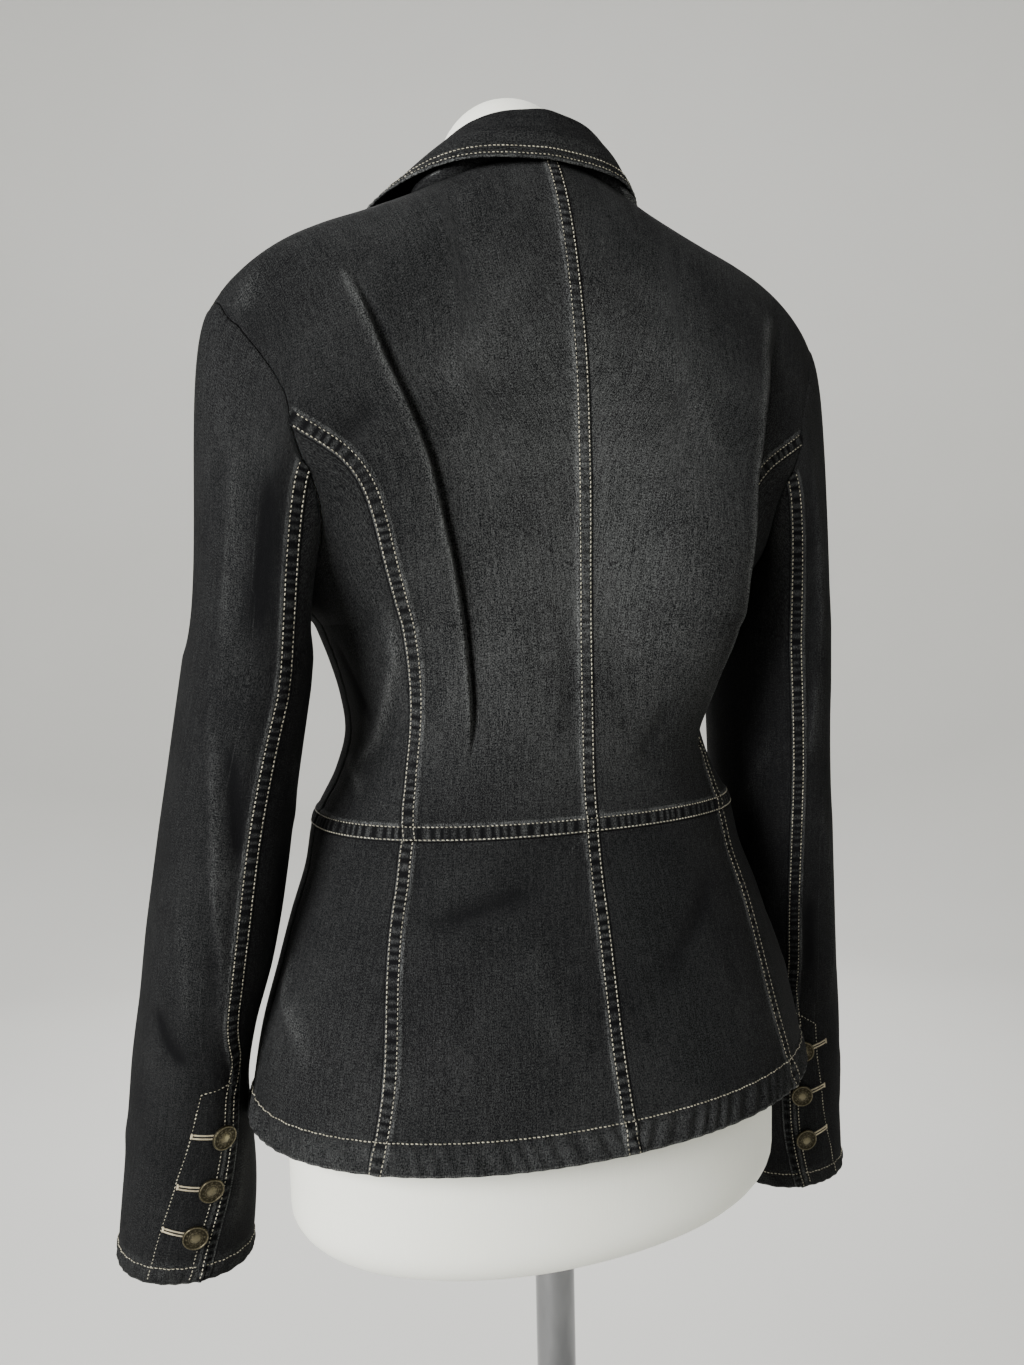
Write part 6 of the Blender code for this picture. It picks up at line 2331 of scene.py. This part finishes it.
class Nodes:
    """Short calls to lay shader nodes and link them."""

    def __init__(self, tree: bpy.types.NodeTree) -> None:
        """Keep the tree."""
        self.tree = tree

    def put(self, socket: bpy.types.NodeSocket, value: object) -> None:
        """Link a socket to another one, or set its value.

        Args:
            socket: The socket.
            value: Another socket, or a value.
        """
        if isinstance(value, bpy.types.NodeSocket):
            self.tree.links.new(value, socket)
        else:
            socket.default_value = value

    def add(self, kind: str, inputs: dict | None = None, **options: object) -> bpy.types.Node:
        """Add a node.

        Args:
            kind: The node's kind, without the first word that all have in common.
            inputs: Socket names or numbers with values or sockets to link.
            options: Properties of the node.

        Returns:
            The node.
        """
        node = self.tree.nodes.new("ShaderNode" + kind)
        for name, value in options.items():
            setattr(node, name, value)
        for name, value in (inputs or {}).items():
            self.put(node.inputs[name], value)
        return node

    def math(self, operation: str, *values: object, clamp: bool = False) -> bpy.types.NodeSocket:
        """Arithmetic on values or sockets."""
        return self.add("Math", dict(enumerate(values)), operation=operation, use_clamp=clamp).outputs[0]

    def noise(self, vector: bpy.types.NodeSocket, scale: float | Sequence[float], detail: float = 2.0,
              roughness: float = 0.5) -> bpy.types.NodeSocket:
        """Noise from 0 to 1.

        Args:
            vector: Where it is read.
            scale: One scale, or one for each axis.
            detail: Its finer layers.
            roughness: Their strength.

        Returns:
            The noise.
        """
        if not isinstance(scale, float):
            node = self.add("VectorMath", {0: vector, 1: tuple(scale)}, operation="MULTIPLY")
            vector, scale = node.outputs[0], 1.0
        inputs = {"Vector": vector, "Scale": scale, "Detail": detail, "Roughness": roughness}
        return self.add("TexNoise", inputs).outputs["Fac"]

    def span(self, value: object, low: float, high: float, to_low: float = 0.0,
             to_high: float = 1.0) -> bpy.types.NodeSocket:
        """Remap a value smoothly between limits."""
        inputs = {"Value": value, "From Min": low, "From Max": high, "To Min": to_low, "To Max": to_high}
        return self.add("MapRange", inputs, interpolation_type="SMOOTHSTEP").outputs["Result"]

    def mix(self, share: object, first: object, second: object) -> bpy.types.NodeSocket:
        """Mix two colours.

        Args:
            share: Share of the second.
            first: A socket or three numbers.
            second: A socket or three numbers.

        Returns:
            The mixed colour.
        """
        node = self.add("Mix", data_type="RGBA")
        sockets = {item.identifier: item for item in node.inputs}
        for name, value in (("Factor_Float", share), ("A_Color", first), ("B_Color", second)):
            self.put(sockets[name], (*value, 1.0) if isinstance(value, tuple) else value)
        return next(item for item in node.outputs if item.identifier == "Result_Color")

    def total(self, parts: Sequence[tuple], centre: float = 0.0) -> bpy.types.NodeSocket:
        """Weighted sum of values.

        Args:
            parts: Values and their weights.
            centre: What is taken off each value first.

        Returns:
            The sum.
        """
        total = None
        for value, weight in parts:
            term = self.math("MULTIPLY", self.math("SUBTRACT", value, centre) if centre else value, weight)
            total = term if total is None else self.math("ADD", total, term)
        return total

    def band(self, value: bpy.types.NodeSocket, centre: float, flat: float,
             end: float) -> bpy.types.NodeSocket:
        """1 near a centre, falling to 0 at an end distance."""
        return self.span(self.math("ABSOLUTE", self.math("SUBTRACT", value, centre)), end, flat)

    def attribute(self, name: str) -> bpy.types.NodeSocket:
        """Value kept on the mesh's points."""
        return self.add("Attribute", attribute_name=name).outputs["Fac"]


def group(name: str, inputs: dict[str, float | None], outputs: Sequence[str]) -> tuple:
    """Start a node group.

    Args:
        name: The group's name.
        inputs: Starting values by name; a colour or a vector has none.
        outputs: Names of the outputs.

    Returns:
        The group's Nodes, its inputs and its outputs.
    """
    kinds = {"Map": "NodeSocketVector", "Dark": "NodeSocketColor", "Light": "NodeSocketColor",
             "Color": "NodeSocketColor"}
    tree = bpy.data.node_groups.new(name, "ShaderNodeTree")
    for label, value in inputs.items():
        socket = tree.interface.new_socket(label, in_out="INPUT",
                                           socket_type=kinds.get(label, "NodeSocketFloat"))
        if value is not None:
            socket.default_value = value
    for label in outputs:
        tree.interface.new_socket(label, in_out="OUTPUT", socket_type=kinds.get(label, "NodeSocketFloat"))
    return Nodes(tree), tree.nodes.new("NodeGroupInput").outputs, tree.nodes.new("NodeGroupOutput").inputs


def denim_weave() -> bpy.types.NodeTree:
    """Group that gives denim's heathered colour and its twill from a flat map in metres.

    Returns:
        The group.
    """
    nodes, given, out = group("denim_weave", {"Map": None, "Pale": 0.3, "Dark": None, "Light": None},
                              ("Color", "Height"))
    flat = given["Map"]
    warp = nodes.noise(flat, (1300, 170, 1), 2.0, 0.6)
    slub = nodes.noise(flat, (420, 26, 1), 2.0, 0.55)
    weft = nodes.noise(flat, (260, 1300, 1), 2.0, 0.6)
    heather = nodes.noise(flat, (1350, 900, 1), 2.0, 0.7)
    cloud = nodes.noise(flat, 16.0, 3.0, 0.55)
    parts = nodes.total(((warp, 1.3), (slub, 0.55), (weft, 0.9), (heather, 3.2), (cloud, 0.75)), 0.5)
    uneven = nodes.math("MAXIMUM", nodes.math("MULTIPLY_ADD", parts, 2.3, 1.0), 0.08)
    pale = nodes.math("MULTIPLY_ADD", parts, 0.05, nodes.math("MULTIPLY", given["Pale"], uneven), clamp=True)
    split = nodes.add("SeparateXYZ", {0: flat}).outputs
    twill = nodes.math("SINE", nodes.total(((split[0], TWILL), (split[1], TWILL))))
    nodes.put(out["Color"], nodes.mix(pale, given["Dark"], given["Light"]))
    nodes.put(out["Height"], nodes.total(((twill, 0.16), (parts, 0.9))))
    return nodes.tree


def seam_wash_and_shadow() -> bpy.types.NodeTree:
    """Group that gives the pale marks which washing leaves along seams and edges, and painted shadow beside
    lapped edges and in the stitch rows' dents, in millimetres.

    Returns:
        The group.
    """
    nodes, given, out = group("seam_wash_and_shadow",
                              {"Across": 30.0, "Along": 0.0, "Edge": 60.0, "Rub": 0.0, "Map": None},
                              ("Pale", "Shadow"))
    across, along, edge = (given[name] for name in ("Across", "Along", "Edge"))
    # The same puckers as the lapped seam's relief
    pitch = FELLED.pitch / MM
    lag = nodes.math("SINE", nodes.math("MULTIPLY", along, 2 * math.pi / (pitch * SWELL_LENGTH)))
    waves = nodes.math("SINE", nodes.total(((along, 2 * math.pi / pitch), (lag, SWELL_LAG))))
    uneven = nodes.span(nodes.noise(given["Map"], 60.0, 2.0), 0.3, 0.7, 0.45, 1.0)
    ladder = nodes.math("MULTIPLY", nodes.math("SUBTRACT", waves, 0.05), nodes.band(across, 0.0, 2.6, 4.0))
    worn = nodes.total((
        (ladder, 0.12), (nodes.band(across, -5.2, 0.5, 1.7), 0.22), (nodes.band(across, 4.1, 0.3, 0.9), 0.30),
        (nodes.span(edge, 2.2, 0.2), 0.50), (nodes.band(edge, 9.0, 5.0, 11.0), 0.06)))
    # Seam wash wear, plus the crease input: wear with painted highlights, and painted shade below 0
    nodes.put(out["Pale"], nodes.total(((nodes.math("MULTIPLY", worn, uneven), 1.0), (given["Rub"], 0.8))))
    # Painted shadow: a dark line just past a lapped seam's fold edge, and shade in the dents of both stitch
    # rows
    nodes.put(out["Shadow"], nodes.total((
        (nodes.band(across, 5.3, 0.25, 0.8), 0.75), (nodes.band(across, 3.5, 0.2, 1.1), 0.22),
        (nodes.band(across, -3.5, 0.2, 1.1), 0.22))))
    return nodes.tree


class Finish(Nodes):
    """Nodes of one new material, which ends in its Principled shader."""

    def __init__(self, name: str) -> None:
        """Start the material.

        Args:
            name: The material's name.
        """
        self.material = bpy.data.materials.new(name)
        self.material.use_nodes = True
        super().__init__(self.material.node_tree)

    def place(self) -> bpy.types.NodeSocket:
        """Where on the object a point lies, in metres."""
        return self.add("TexCoord").outputs["Object"]

    def end(self, inputs: dict, relief: tuple | None = None) -> bpy.types.Material:
        """Fill the shader's inputs.

        Args:
            inputs: Values or sockets by the shader's own names.
            relief: Height, strength and distance of the bump, if there is one.

        Returns:
            The material.
        """
        principled = self.tree.nodes["Principled BSDF"]
        if relief is not None:
            bump = self.add("Bump", dict(zip(("Height", "Strength", "Distance"), relief)))
            inputs = {**inputs, "Normal": bump.outputs["Normal"]}
        for name, value in inputs.items():
            self.put(principled.inputs[name], value)
        return self.material


@dataclass(frozen=True)
class WashedDenim:
    """Black denim washed to an uneven grey, with painted highlights and painted shade brought in by its
    attributes.
    """

    dark: Color = (0.0042, 0.0043, 0.0047)
    light: Color = (0.130, 0.134, 0.131)
    # Colour of the painted shadow along lapped seams and in the stitch rows' dents
    groove: Color = (0.004, 0.004, 0.0045)
    base: float = 0.022
    fade: float = 0.275
    roughness: tuple[float, float] = (0.78, 0.94)

    def make(self) -> bpy.types.Material:
        """Build the material.

        Returns:
            The material.
        """
        nodes = Finish("washed_denim")
        flat = nodes.add("UVMap", uv_map="cut").outputs["UV"]
        marks = nodes.add("Group", node_tree=seam_wash_and_shadow())
        for name, value in {"Across": nodes.attribute("seam_across"), "Along": nodes.attribute("seam_along"),
                            "Edge": nodes.attribute("edge_gap"), "Rub": nodes.attribute("rub"),
                            "Map": flat}.items():
            nodes.put(marks.inputs[name], value)
        # Wash paleness, with a painted highlight over the shoulders and the upper sleeves
        faded = nodes.math("MULTIPLY_ADD", nodes.attribute("fade"), self.fade, self.base)
        cloth = nodes.add("Group", node_tree=denim_weave())
        for name, value in {"Map": flat, "Pale": nodes.math("ADD", faded, marks.outputs["Pale"]),
                            "Dark": (*self.dark, 1.0), "Light": (*self.light, 1.0)}.items():
            nodes.put(cloth.inputs[name], value)
        high = cloth.outputs["Height"]
        # Painted seam shadow darkens the colour towards the groove colour
        return nodes.end({"Base Color": nodes.mix(marks.outputs["Shadow"], cloth.outputs["Color"],
                                                  self.groove),
                          "Roughness": nodes.span(high, -0.6, 0.6, *self.roughness),
                          "Specular IOR Level": 0.05}, (high, 0.55, 0.35 * MM))


@dataclass(frozen=True)
class SewingThread:
    """Cotton thread."""

    name: str = "ecru_thread"
    low: Color = (0.21, 0.195, 0.145)
    high: Color = (0.48, 0.45, 0.345)

    def make(self) -> bpy.types.Material:
        """Build the material.

        Returns:
            The material.
        """
        nodes = Finish(self.name)
        place = nodes.place()
        soiled = nodes.span(nodes.noise(place, 110.0, 3.0, 0.6), 0.3, 0.7)
        strands = nodes.noise(place, (4200, 4200, 4200), 1.0)
        return nodes.end({"Base Color": nodes.mix(soiled, self.low, self.high),
                          "Roughness": nodes.span(strands, 0.3, 0.7, 0.55, 0.75)}, (strands, 0.4, 0.2 * MM))


@dataclass(frozen=True)
class AgedBrass:
    """Dark antique brass, rubbed bright where it stands proud."""

    dark: Color = (0.024, 0.021, 0.014)
    bright: Color = (0.20, 0.175, 0.11)

    def make(self) -> bpy.types.Material:
        """Build the material.

        Returns:
            The material.
        """
        nodes = Finish("aged_brass_rubbed")
        patina = nodes.noise(nodes.place(), 900.0, 3.0, 0.6)
        proud = nodes.math("ADD", nodes.attribute("level"), nodes.total(((patina, 0.5),), 0.5))
        share = nodes.span(proud, 0.62, 0.98, 0.05, 0.85)
        return nodes.end({"Base Color": nodes.mix(share, self.dark, self.bright), "Metallic": 1.0,
                          "Roughness": nodes.span(share, 0.0, 1.0, 0.55, 0.28)}, (patina, 0.25, 0.2 * MM))


@dataclass(frozen=True)
class WhiteJersey:
    """Off-white knitted jersey drawn over the form."""

    base: Color = (0.94, 0.945, 0.845)
    shade: Color = (0.86, 0.865, 0.765)

    def make(self) -> bpy.types.Material:
        """Build the material.

        Returns:
            The material.
        """
        nodes = Finish("white_jersey_knit")
        place = nodes.place()
        ribs = nodes.noise(place, (900, 900, 60), 2.0, 0.6)
        loops = nodes.noise(place, (1500, 1500, 1500), 1.0)
        cloud = nodes.noise(place, 7.0, 2.0)
        share = nodes.total(((ribs, 0.5), (loops, 0.5), (cloud, 0.7)), 0.5)
        color = nodes.mix(nodes.math("ADD", share, 0.3, clamp=True), self.base, self.shade)
        return nodes.end({"Base Color": color, "Roughness": nodes.span(loops, 0.2, 0.8, 0.72, 0.9),
                          "Sheen Weight": 0.12, "Specular IOR Level": 0.3},
                         (nodes.total(((ribs, 0.6), (loops, 0.4))), 0.35, 0.3 * MM))


@dataclass(frozen=True)
class Chrome:
    """Polished chrome with faint smears."""

    bright: Color = (0.27, 0.272, 0.28)
    dull: Color = (0.19, 0.192, 0.20)

    def make(self) -> bpy.types.Material:
        """Build the material.

        Returns:
            The material.
        """
        nodes = Finish("polished_chrome")
        smear = nodes.noise(nodes.place(), (30, 30, 9), 3.0, 0.6)
        return nodes.end({"Base Color": nodes.mix(nodes.span(smear, 0.35, 0.7), self.bright, self.dull),
                          "Metallic": 1.0, "Roughness": nodes.span(smear, 0.3, 0.75, 0.07, 0.17)})


@dataclass(frozen=True)
class Paper:
    """Matt pale paper of the studio."""

    low: Color = (0.51, 0.507, 0.484)
    high: Color = (0.54, 0.537, 0.514)

    def make(self) -> bpy.types.Material:
        """Build the material.

        Returns:
            The material.
        """
        nodes = Finish("studio_paper")
        return nodes.end({"Base Color": nodes.mix(nodes.noise(nodes.place(), 2.0, 2.0), self.low, self.high),
                          "Roughness": 0.95, "Specular IOR Level": 0.1})


@dataclass
class Studio:
    """Pale round bowl of floor and wall, soft lights and the photograph's camera."""

    azimuth: float = math.radians(156.9)
    pitch: float = math.radians(3.895)
    roll: float = math.radians(-1.234)
    eye: Color = (0.346, 0.756, 1.189)
    focal: float = 31.65
    radius: float = 4.6
    corner: float = 1.4
    wall: float = 7.0
    air: float = 0.55
    # Name, place, target, power and size of each lamp
    lamps: Sequence[tuple] = (
        ("key", (2.2, 1.1, 1.9), (0.0, 0.0, 1.05), 150.0, 1.2),
        ("fill", (-1.3, 2.4, 2.4), (0.0, 0.0, 1.1), 12.0, 2.0),
        ("front", (-1.0, -2.6, 2.6), (0.0, 0.0, 1.1), 110.0, 2.0),
        ("wall", (-0.4, -1.2, 3.4), (-1.8, -4.2, 1.0), 110.0, 2.0))

    def stage(self) -> None:
        """Floor that curves up to a wall all round."""
        inner = self.radius - self.corner
        profile = [(0.0, 0.0), (1.0, 0.0), (2.0, 0.0), (inner, 0.0)]
        profile += [(inner + self.corner * math.sin(angle), self.corner - self.corner * math.cos(angle))
                    for angle in np.linspace(0, math.pi / 2, 16)[1:]]
        builder = turned(profile + [(self.radius, self.wall)], 96)
        bmesh.ops.reverse_faces(builder, faces=builder.faces)
        mesh = meshed(builder, "studio_floor")
        mesh.materials.append(Paper().make())
        link("studio_floor", mesh)

    def lamp(self, name: str, place: Sequence[float], target: Sequence[float], power: float,
             size: float) -> None:
        """Hang a soft square light.

        Args:
            name: Its name.
            place: Where it hangs.
            target: What it looks at.
            power: Its power in watts.
            size: Its width.
        """
        data = bpy.data.lights.new(name, "AREA")
        data.shape = "SQUARE"
        data.size = size
        data.energy = power
        lamp = link(name, data)
        lamp.visible_camera = False
        way = Vector(target) - Vector(place)
        lamp.matrix_world = Matrix.Translation(Vector(place)) @ way.to_track_quat("-Z",
                                                                                  "Y").to_matrix().to_4x4()

    def camera(self) -> None:
        """Set the camera at the photograph's viewpoint."""
        a, e, r = self.azimuth, self.pitch, self.roll
        back = Vector((math.sin(a) * math.cos(e), -math.cos(a) * math.cos(e), math.sin(e)))
        right = Vector((0, 0, 1)).cross(back).normalized()
        up = back.cross(right)
        turned_right = right * math.cos(r) + up * math.sin(r)
        turned_up = -right * math.sin(r) + up * math.cos(r)
        data = bpy.data.cameras.new("camera")
        data.sensor_fit = "VERTICAL"
        data.sensor_height = 36.0
        data.lens = self.focal
        data.clip_start = 0.02
        camera = link("camera", data)
        axes = Matrix((turned_right, turned_up, back)).transposed().to_4x4()
        camera.matrix_world = Matrix.Translation(Vector(self.eye)) @ axes
        bpy.context.scene.camera = camera

    def build(self) -> None:
        """Set up stage, light and camera."""
        self.stage()
        self.camera()
        world = bpy.data.worlds.new("studio_air")
        world.use_nodes = True
        air = world.node_tree.nodes["Background"]
        air.inputs["Color"].default_value = (1.0, 1.0, 0.99, 1.0)
        air.inputs["Strength"].default_value = self.air
        bpy.context.scene.world = world
        for lamp in self.lamps:
            self.lamp(*lamp)


# Creases of the torso: (height, across) rows, lift, widths on both sides in millimetres, power, and paleness:
# wear with a painted highlight on ridges, painted shade below 0 in troughs
BACK_CREASES = (
    (((1.2029, .1323), (1.1647, .1175), (1.1337, .1178), (1.0958, .1239), (1.0737, .1359)), 1.6, 5.0, 4.0,
     1.5, 0.22),
    (((1.1729, .1441), (1.1509, .1356), (1.1258, .1275), (1.1053, .1219)), -1.4, 6.0, 6.0, 1.7, -0.08),
    (((1.0876, .1305), (1.0714, .1332), (1.0600, .1360)), 1.3, 4.0, 5.0, 1.6, 0.16),
    (((1.2029, .0265), (1.1785, .0170), (1.1515, .0122), (1.1112, .0130), (1.0868, .0162)), -1.1, 6.0, 9.0,
     1.7, -0.05),
    (((.9850, .1150), (.9900, .1027), (.9984, .0759), (1.0056, .0482), (1.010, .030)), -1.3, 7.0, 7.0, 1.7,
     -0.06),
    (((.9750, .1734), (.9371, .1853), (.9172, .1842), (.8946, .1809)), 1.5, 5.0, 8.0, 1.6, 0.12),
    (((1.3967, .1905), (1.3774, .2001), (1.3615, .2074)), 1.0, 5.0, 6.0, 1.6, 0.12),
    (((1.3125, .1284), (1.2975, .1438), (1.2801, .1582)), -1.5, 9.0, 9.0, 1.8, -0.06),
    (((1.1267, -.0693), (1.0947, -.0487), (1.075, -.035)), -1.2, 7.0, 9.0, 1.7, -0.05),
    (((1.3700, .0500), (1.3350, .0750), (1.3000, .0880)), 0.8, 9.0, 10.0, 1.8, 0.05),
    (((1.3600, -.0600), (1.3200, -.0800), (1.2700, -.0950)), 0.9, 9.0, 10.0, 1.8, 0.05),
    (((.9300, -.0300), (.9700, -.0700), (1.0100, -.1000)), -1.1, 8.0, 9.0, 1.7, -0.04),
    (((.9600, -.1700), (.9300, -.1780), (.9000, -.1790)), 1.2, 5.0, 8.0, 1.6, 0.10),
    (((1.1750, -.1350), (1.1400, -.1240), (1.1050, -.1180)), -1.3, 6.0, 7.0, 1.7, -0.06),
    (((.9000, .0300), (.9400, .0450), (.9850, .0500)), 0.8, 9.0, 9.0, 1.8, 0.04))
FRONT_CREASES = (
    (((1.1900, .1250), (1.1500, .1100), (1.1100, .1060)), -1.2, 6.0, 8.0, 1.7, -0.05),
    (((1.1900, -.1250), (1.1450, -.1120), (1.1050, -.1050)), -1.2, 6.0, 8.0, 1.7, -0.05),
    (((1.1000, .0250), (1.0800, .0550), (1.0700, .0850)), 1.1, 5.0, 7.0, 1.6, 0.12),
    (((1.1050, -.0250), (1.0850, -.0600), (1.0750, -.0900)), 1.1, 5.0, 7.0, 1.6, 0.12),
    (((1.2400, .0950), (1.2050, .0700), (1.1700, .0450)), 0.9, 7.0, 9.0, 1.8, 0.05),
    (((1.2400, -.0950), (1.2000, -.0650), (1.1600, -.0400)), 0.9, 7.0, 9.0, 1.8, 0.05),
    (((.9850, .1000), (.9450, .1080), (.9000, .1150)), 1.0, 7.0, 9.0, 1.8, 0.06),
    (((.9850, -.0950), (.9400, -.1050), (.8950, -.1150)), 1.0, 7.0, 9.0, 1.8, 0.06))


@dataclass
class Fastenings(Garment):
    """All buttons and buttonholes."""

    brass: bpy.types.Material | None = None
    silk: bpy.types.Material | None = None
    cuff: dict[Side, Rows] = field(default_factory=lambda: {
        # height, angle round the sleeve
        Side.LEFT: ((0.850, 110.0), (0.813, 97.5), (0.780, 86.0)),
        Side.RIGHT: ((0.857, 112.0), (0.821, 110.0), (0.785, 104.0))})
    # How a cuff's buttonhole points away from its button: angle, height
    cuff_way: tuple[float, float] = (-20.0, 0.003)
    front: tuple[float, ...] = (1.215, 1.132, 1.050)
    front_across: float = 0.4 * MM
    front_length: float = 20 * MM
    clear: float = 0.8 * MM
    front_clear: float = 0.5 * MM

    def build(self, tops: dict[Side, Panel], right_front: Panel) -> None:
        """Set the buttons and sew the buttonholes.

        Args:
            tops: The top sleeves.
            right_front: The front that laps over.
        """
        button, spots = Buttons(self.brass), []
        for side, rows in self.cuff.items():
            surface = tops[side].surface
            for number, (height, angle) in enumerate(rows, start=1):
                place = np.array([surface.place(angle, height)])
                facing = surface.normal(place)[0]
                spot = surface.plain(place)[0] + facing * self.clear
                button.build("cuff_button_%s_%d" % (side.label, number), spot, facing)
                far = surface.place(angle + self.cuff_way[0], height + self.cuff_way[1])
                spots.append((tops[side], place[0], unit(surface.plain(np.array([far]))[0] - spot)))
        Buttonholes(self.silk).build("buttonholes_cuffs", spots)
        spots = []
        for number, height in enumerate(self.front, start=1):
            place = np.array([self.torso.place(self.front_across, height, True)])
            facing = self.torso.normal(place)[0]
            spot = self.torso.plain(place)[0] + facing * (self.cut.overlap_lift + self.front_clear)
            button.build("front_button_%d" % number, spot, facing)
            spots.append((right_front, place[0], np.array([-1.0, 0.0, 0.0])))
        Buttonholes(self.silk, self.front_length).build("buttonholes_front", spots)


def main() -> None:
    """Build the whole scene."""
    logging.basicConfig(level=logging.INFO, format="%(message)s")
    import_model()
    torso = TorsoForm()
    torso.creases = [Crease.laid(torso, torso.places(rows, front), *shape)
                     for table, front in ((BACK_CREASES, False), (FRONT_CREASES, True)) for rows,
                     *shape in table]
    cut = Cut(torso)
    shared = (torso, cut, WashedDenim().make(), SewingThread().make())
    waist = level(0, cut.turn(cut.front_edge, torso.waist, True), torso.waist)
    waists = {side: Garment(*shared).seam(waist, side, WAIST_SEWING, WAIST_REACH, 900) for side in Side}
    right_front = Bodice(*shared).build(waists)
    Peplum(*shared).build(waists)
    Lapels(*shared).build()
    Collar(*shared).build()
    tops = Sleeves(*shared).build()
    silk = SewingThread("beige_buttonhole_silk", (0.27, 0.235, 0.16), (0.52, 0.455, 0.31)).make()
    Fastenings(*shared, brass=AgedBrass().make(), silk=silk).build(tops, right_front)
    DressForm(torso).build(WhiteJersey().make())
    Stand().build(Chrome().make())
    Studio().build()
    LOG.info("done")


if __name__ == "__main__":
    main()
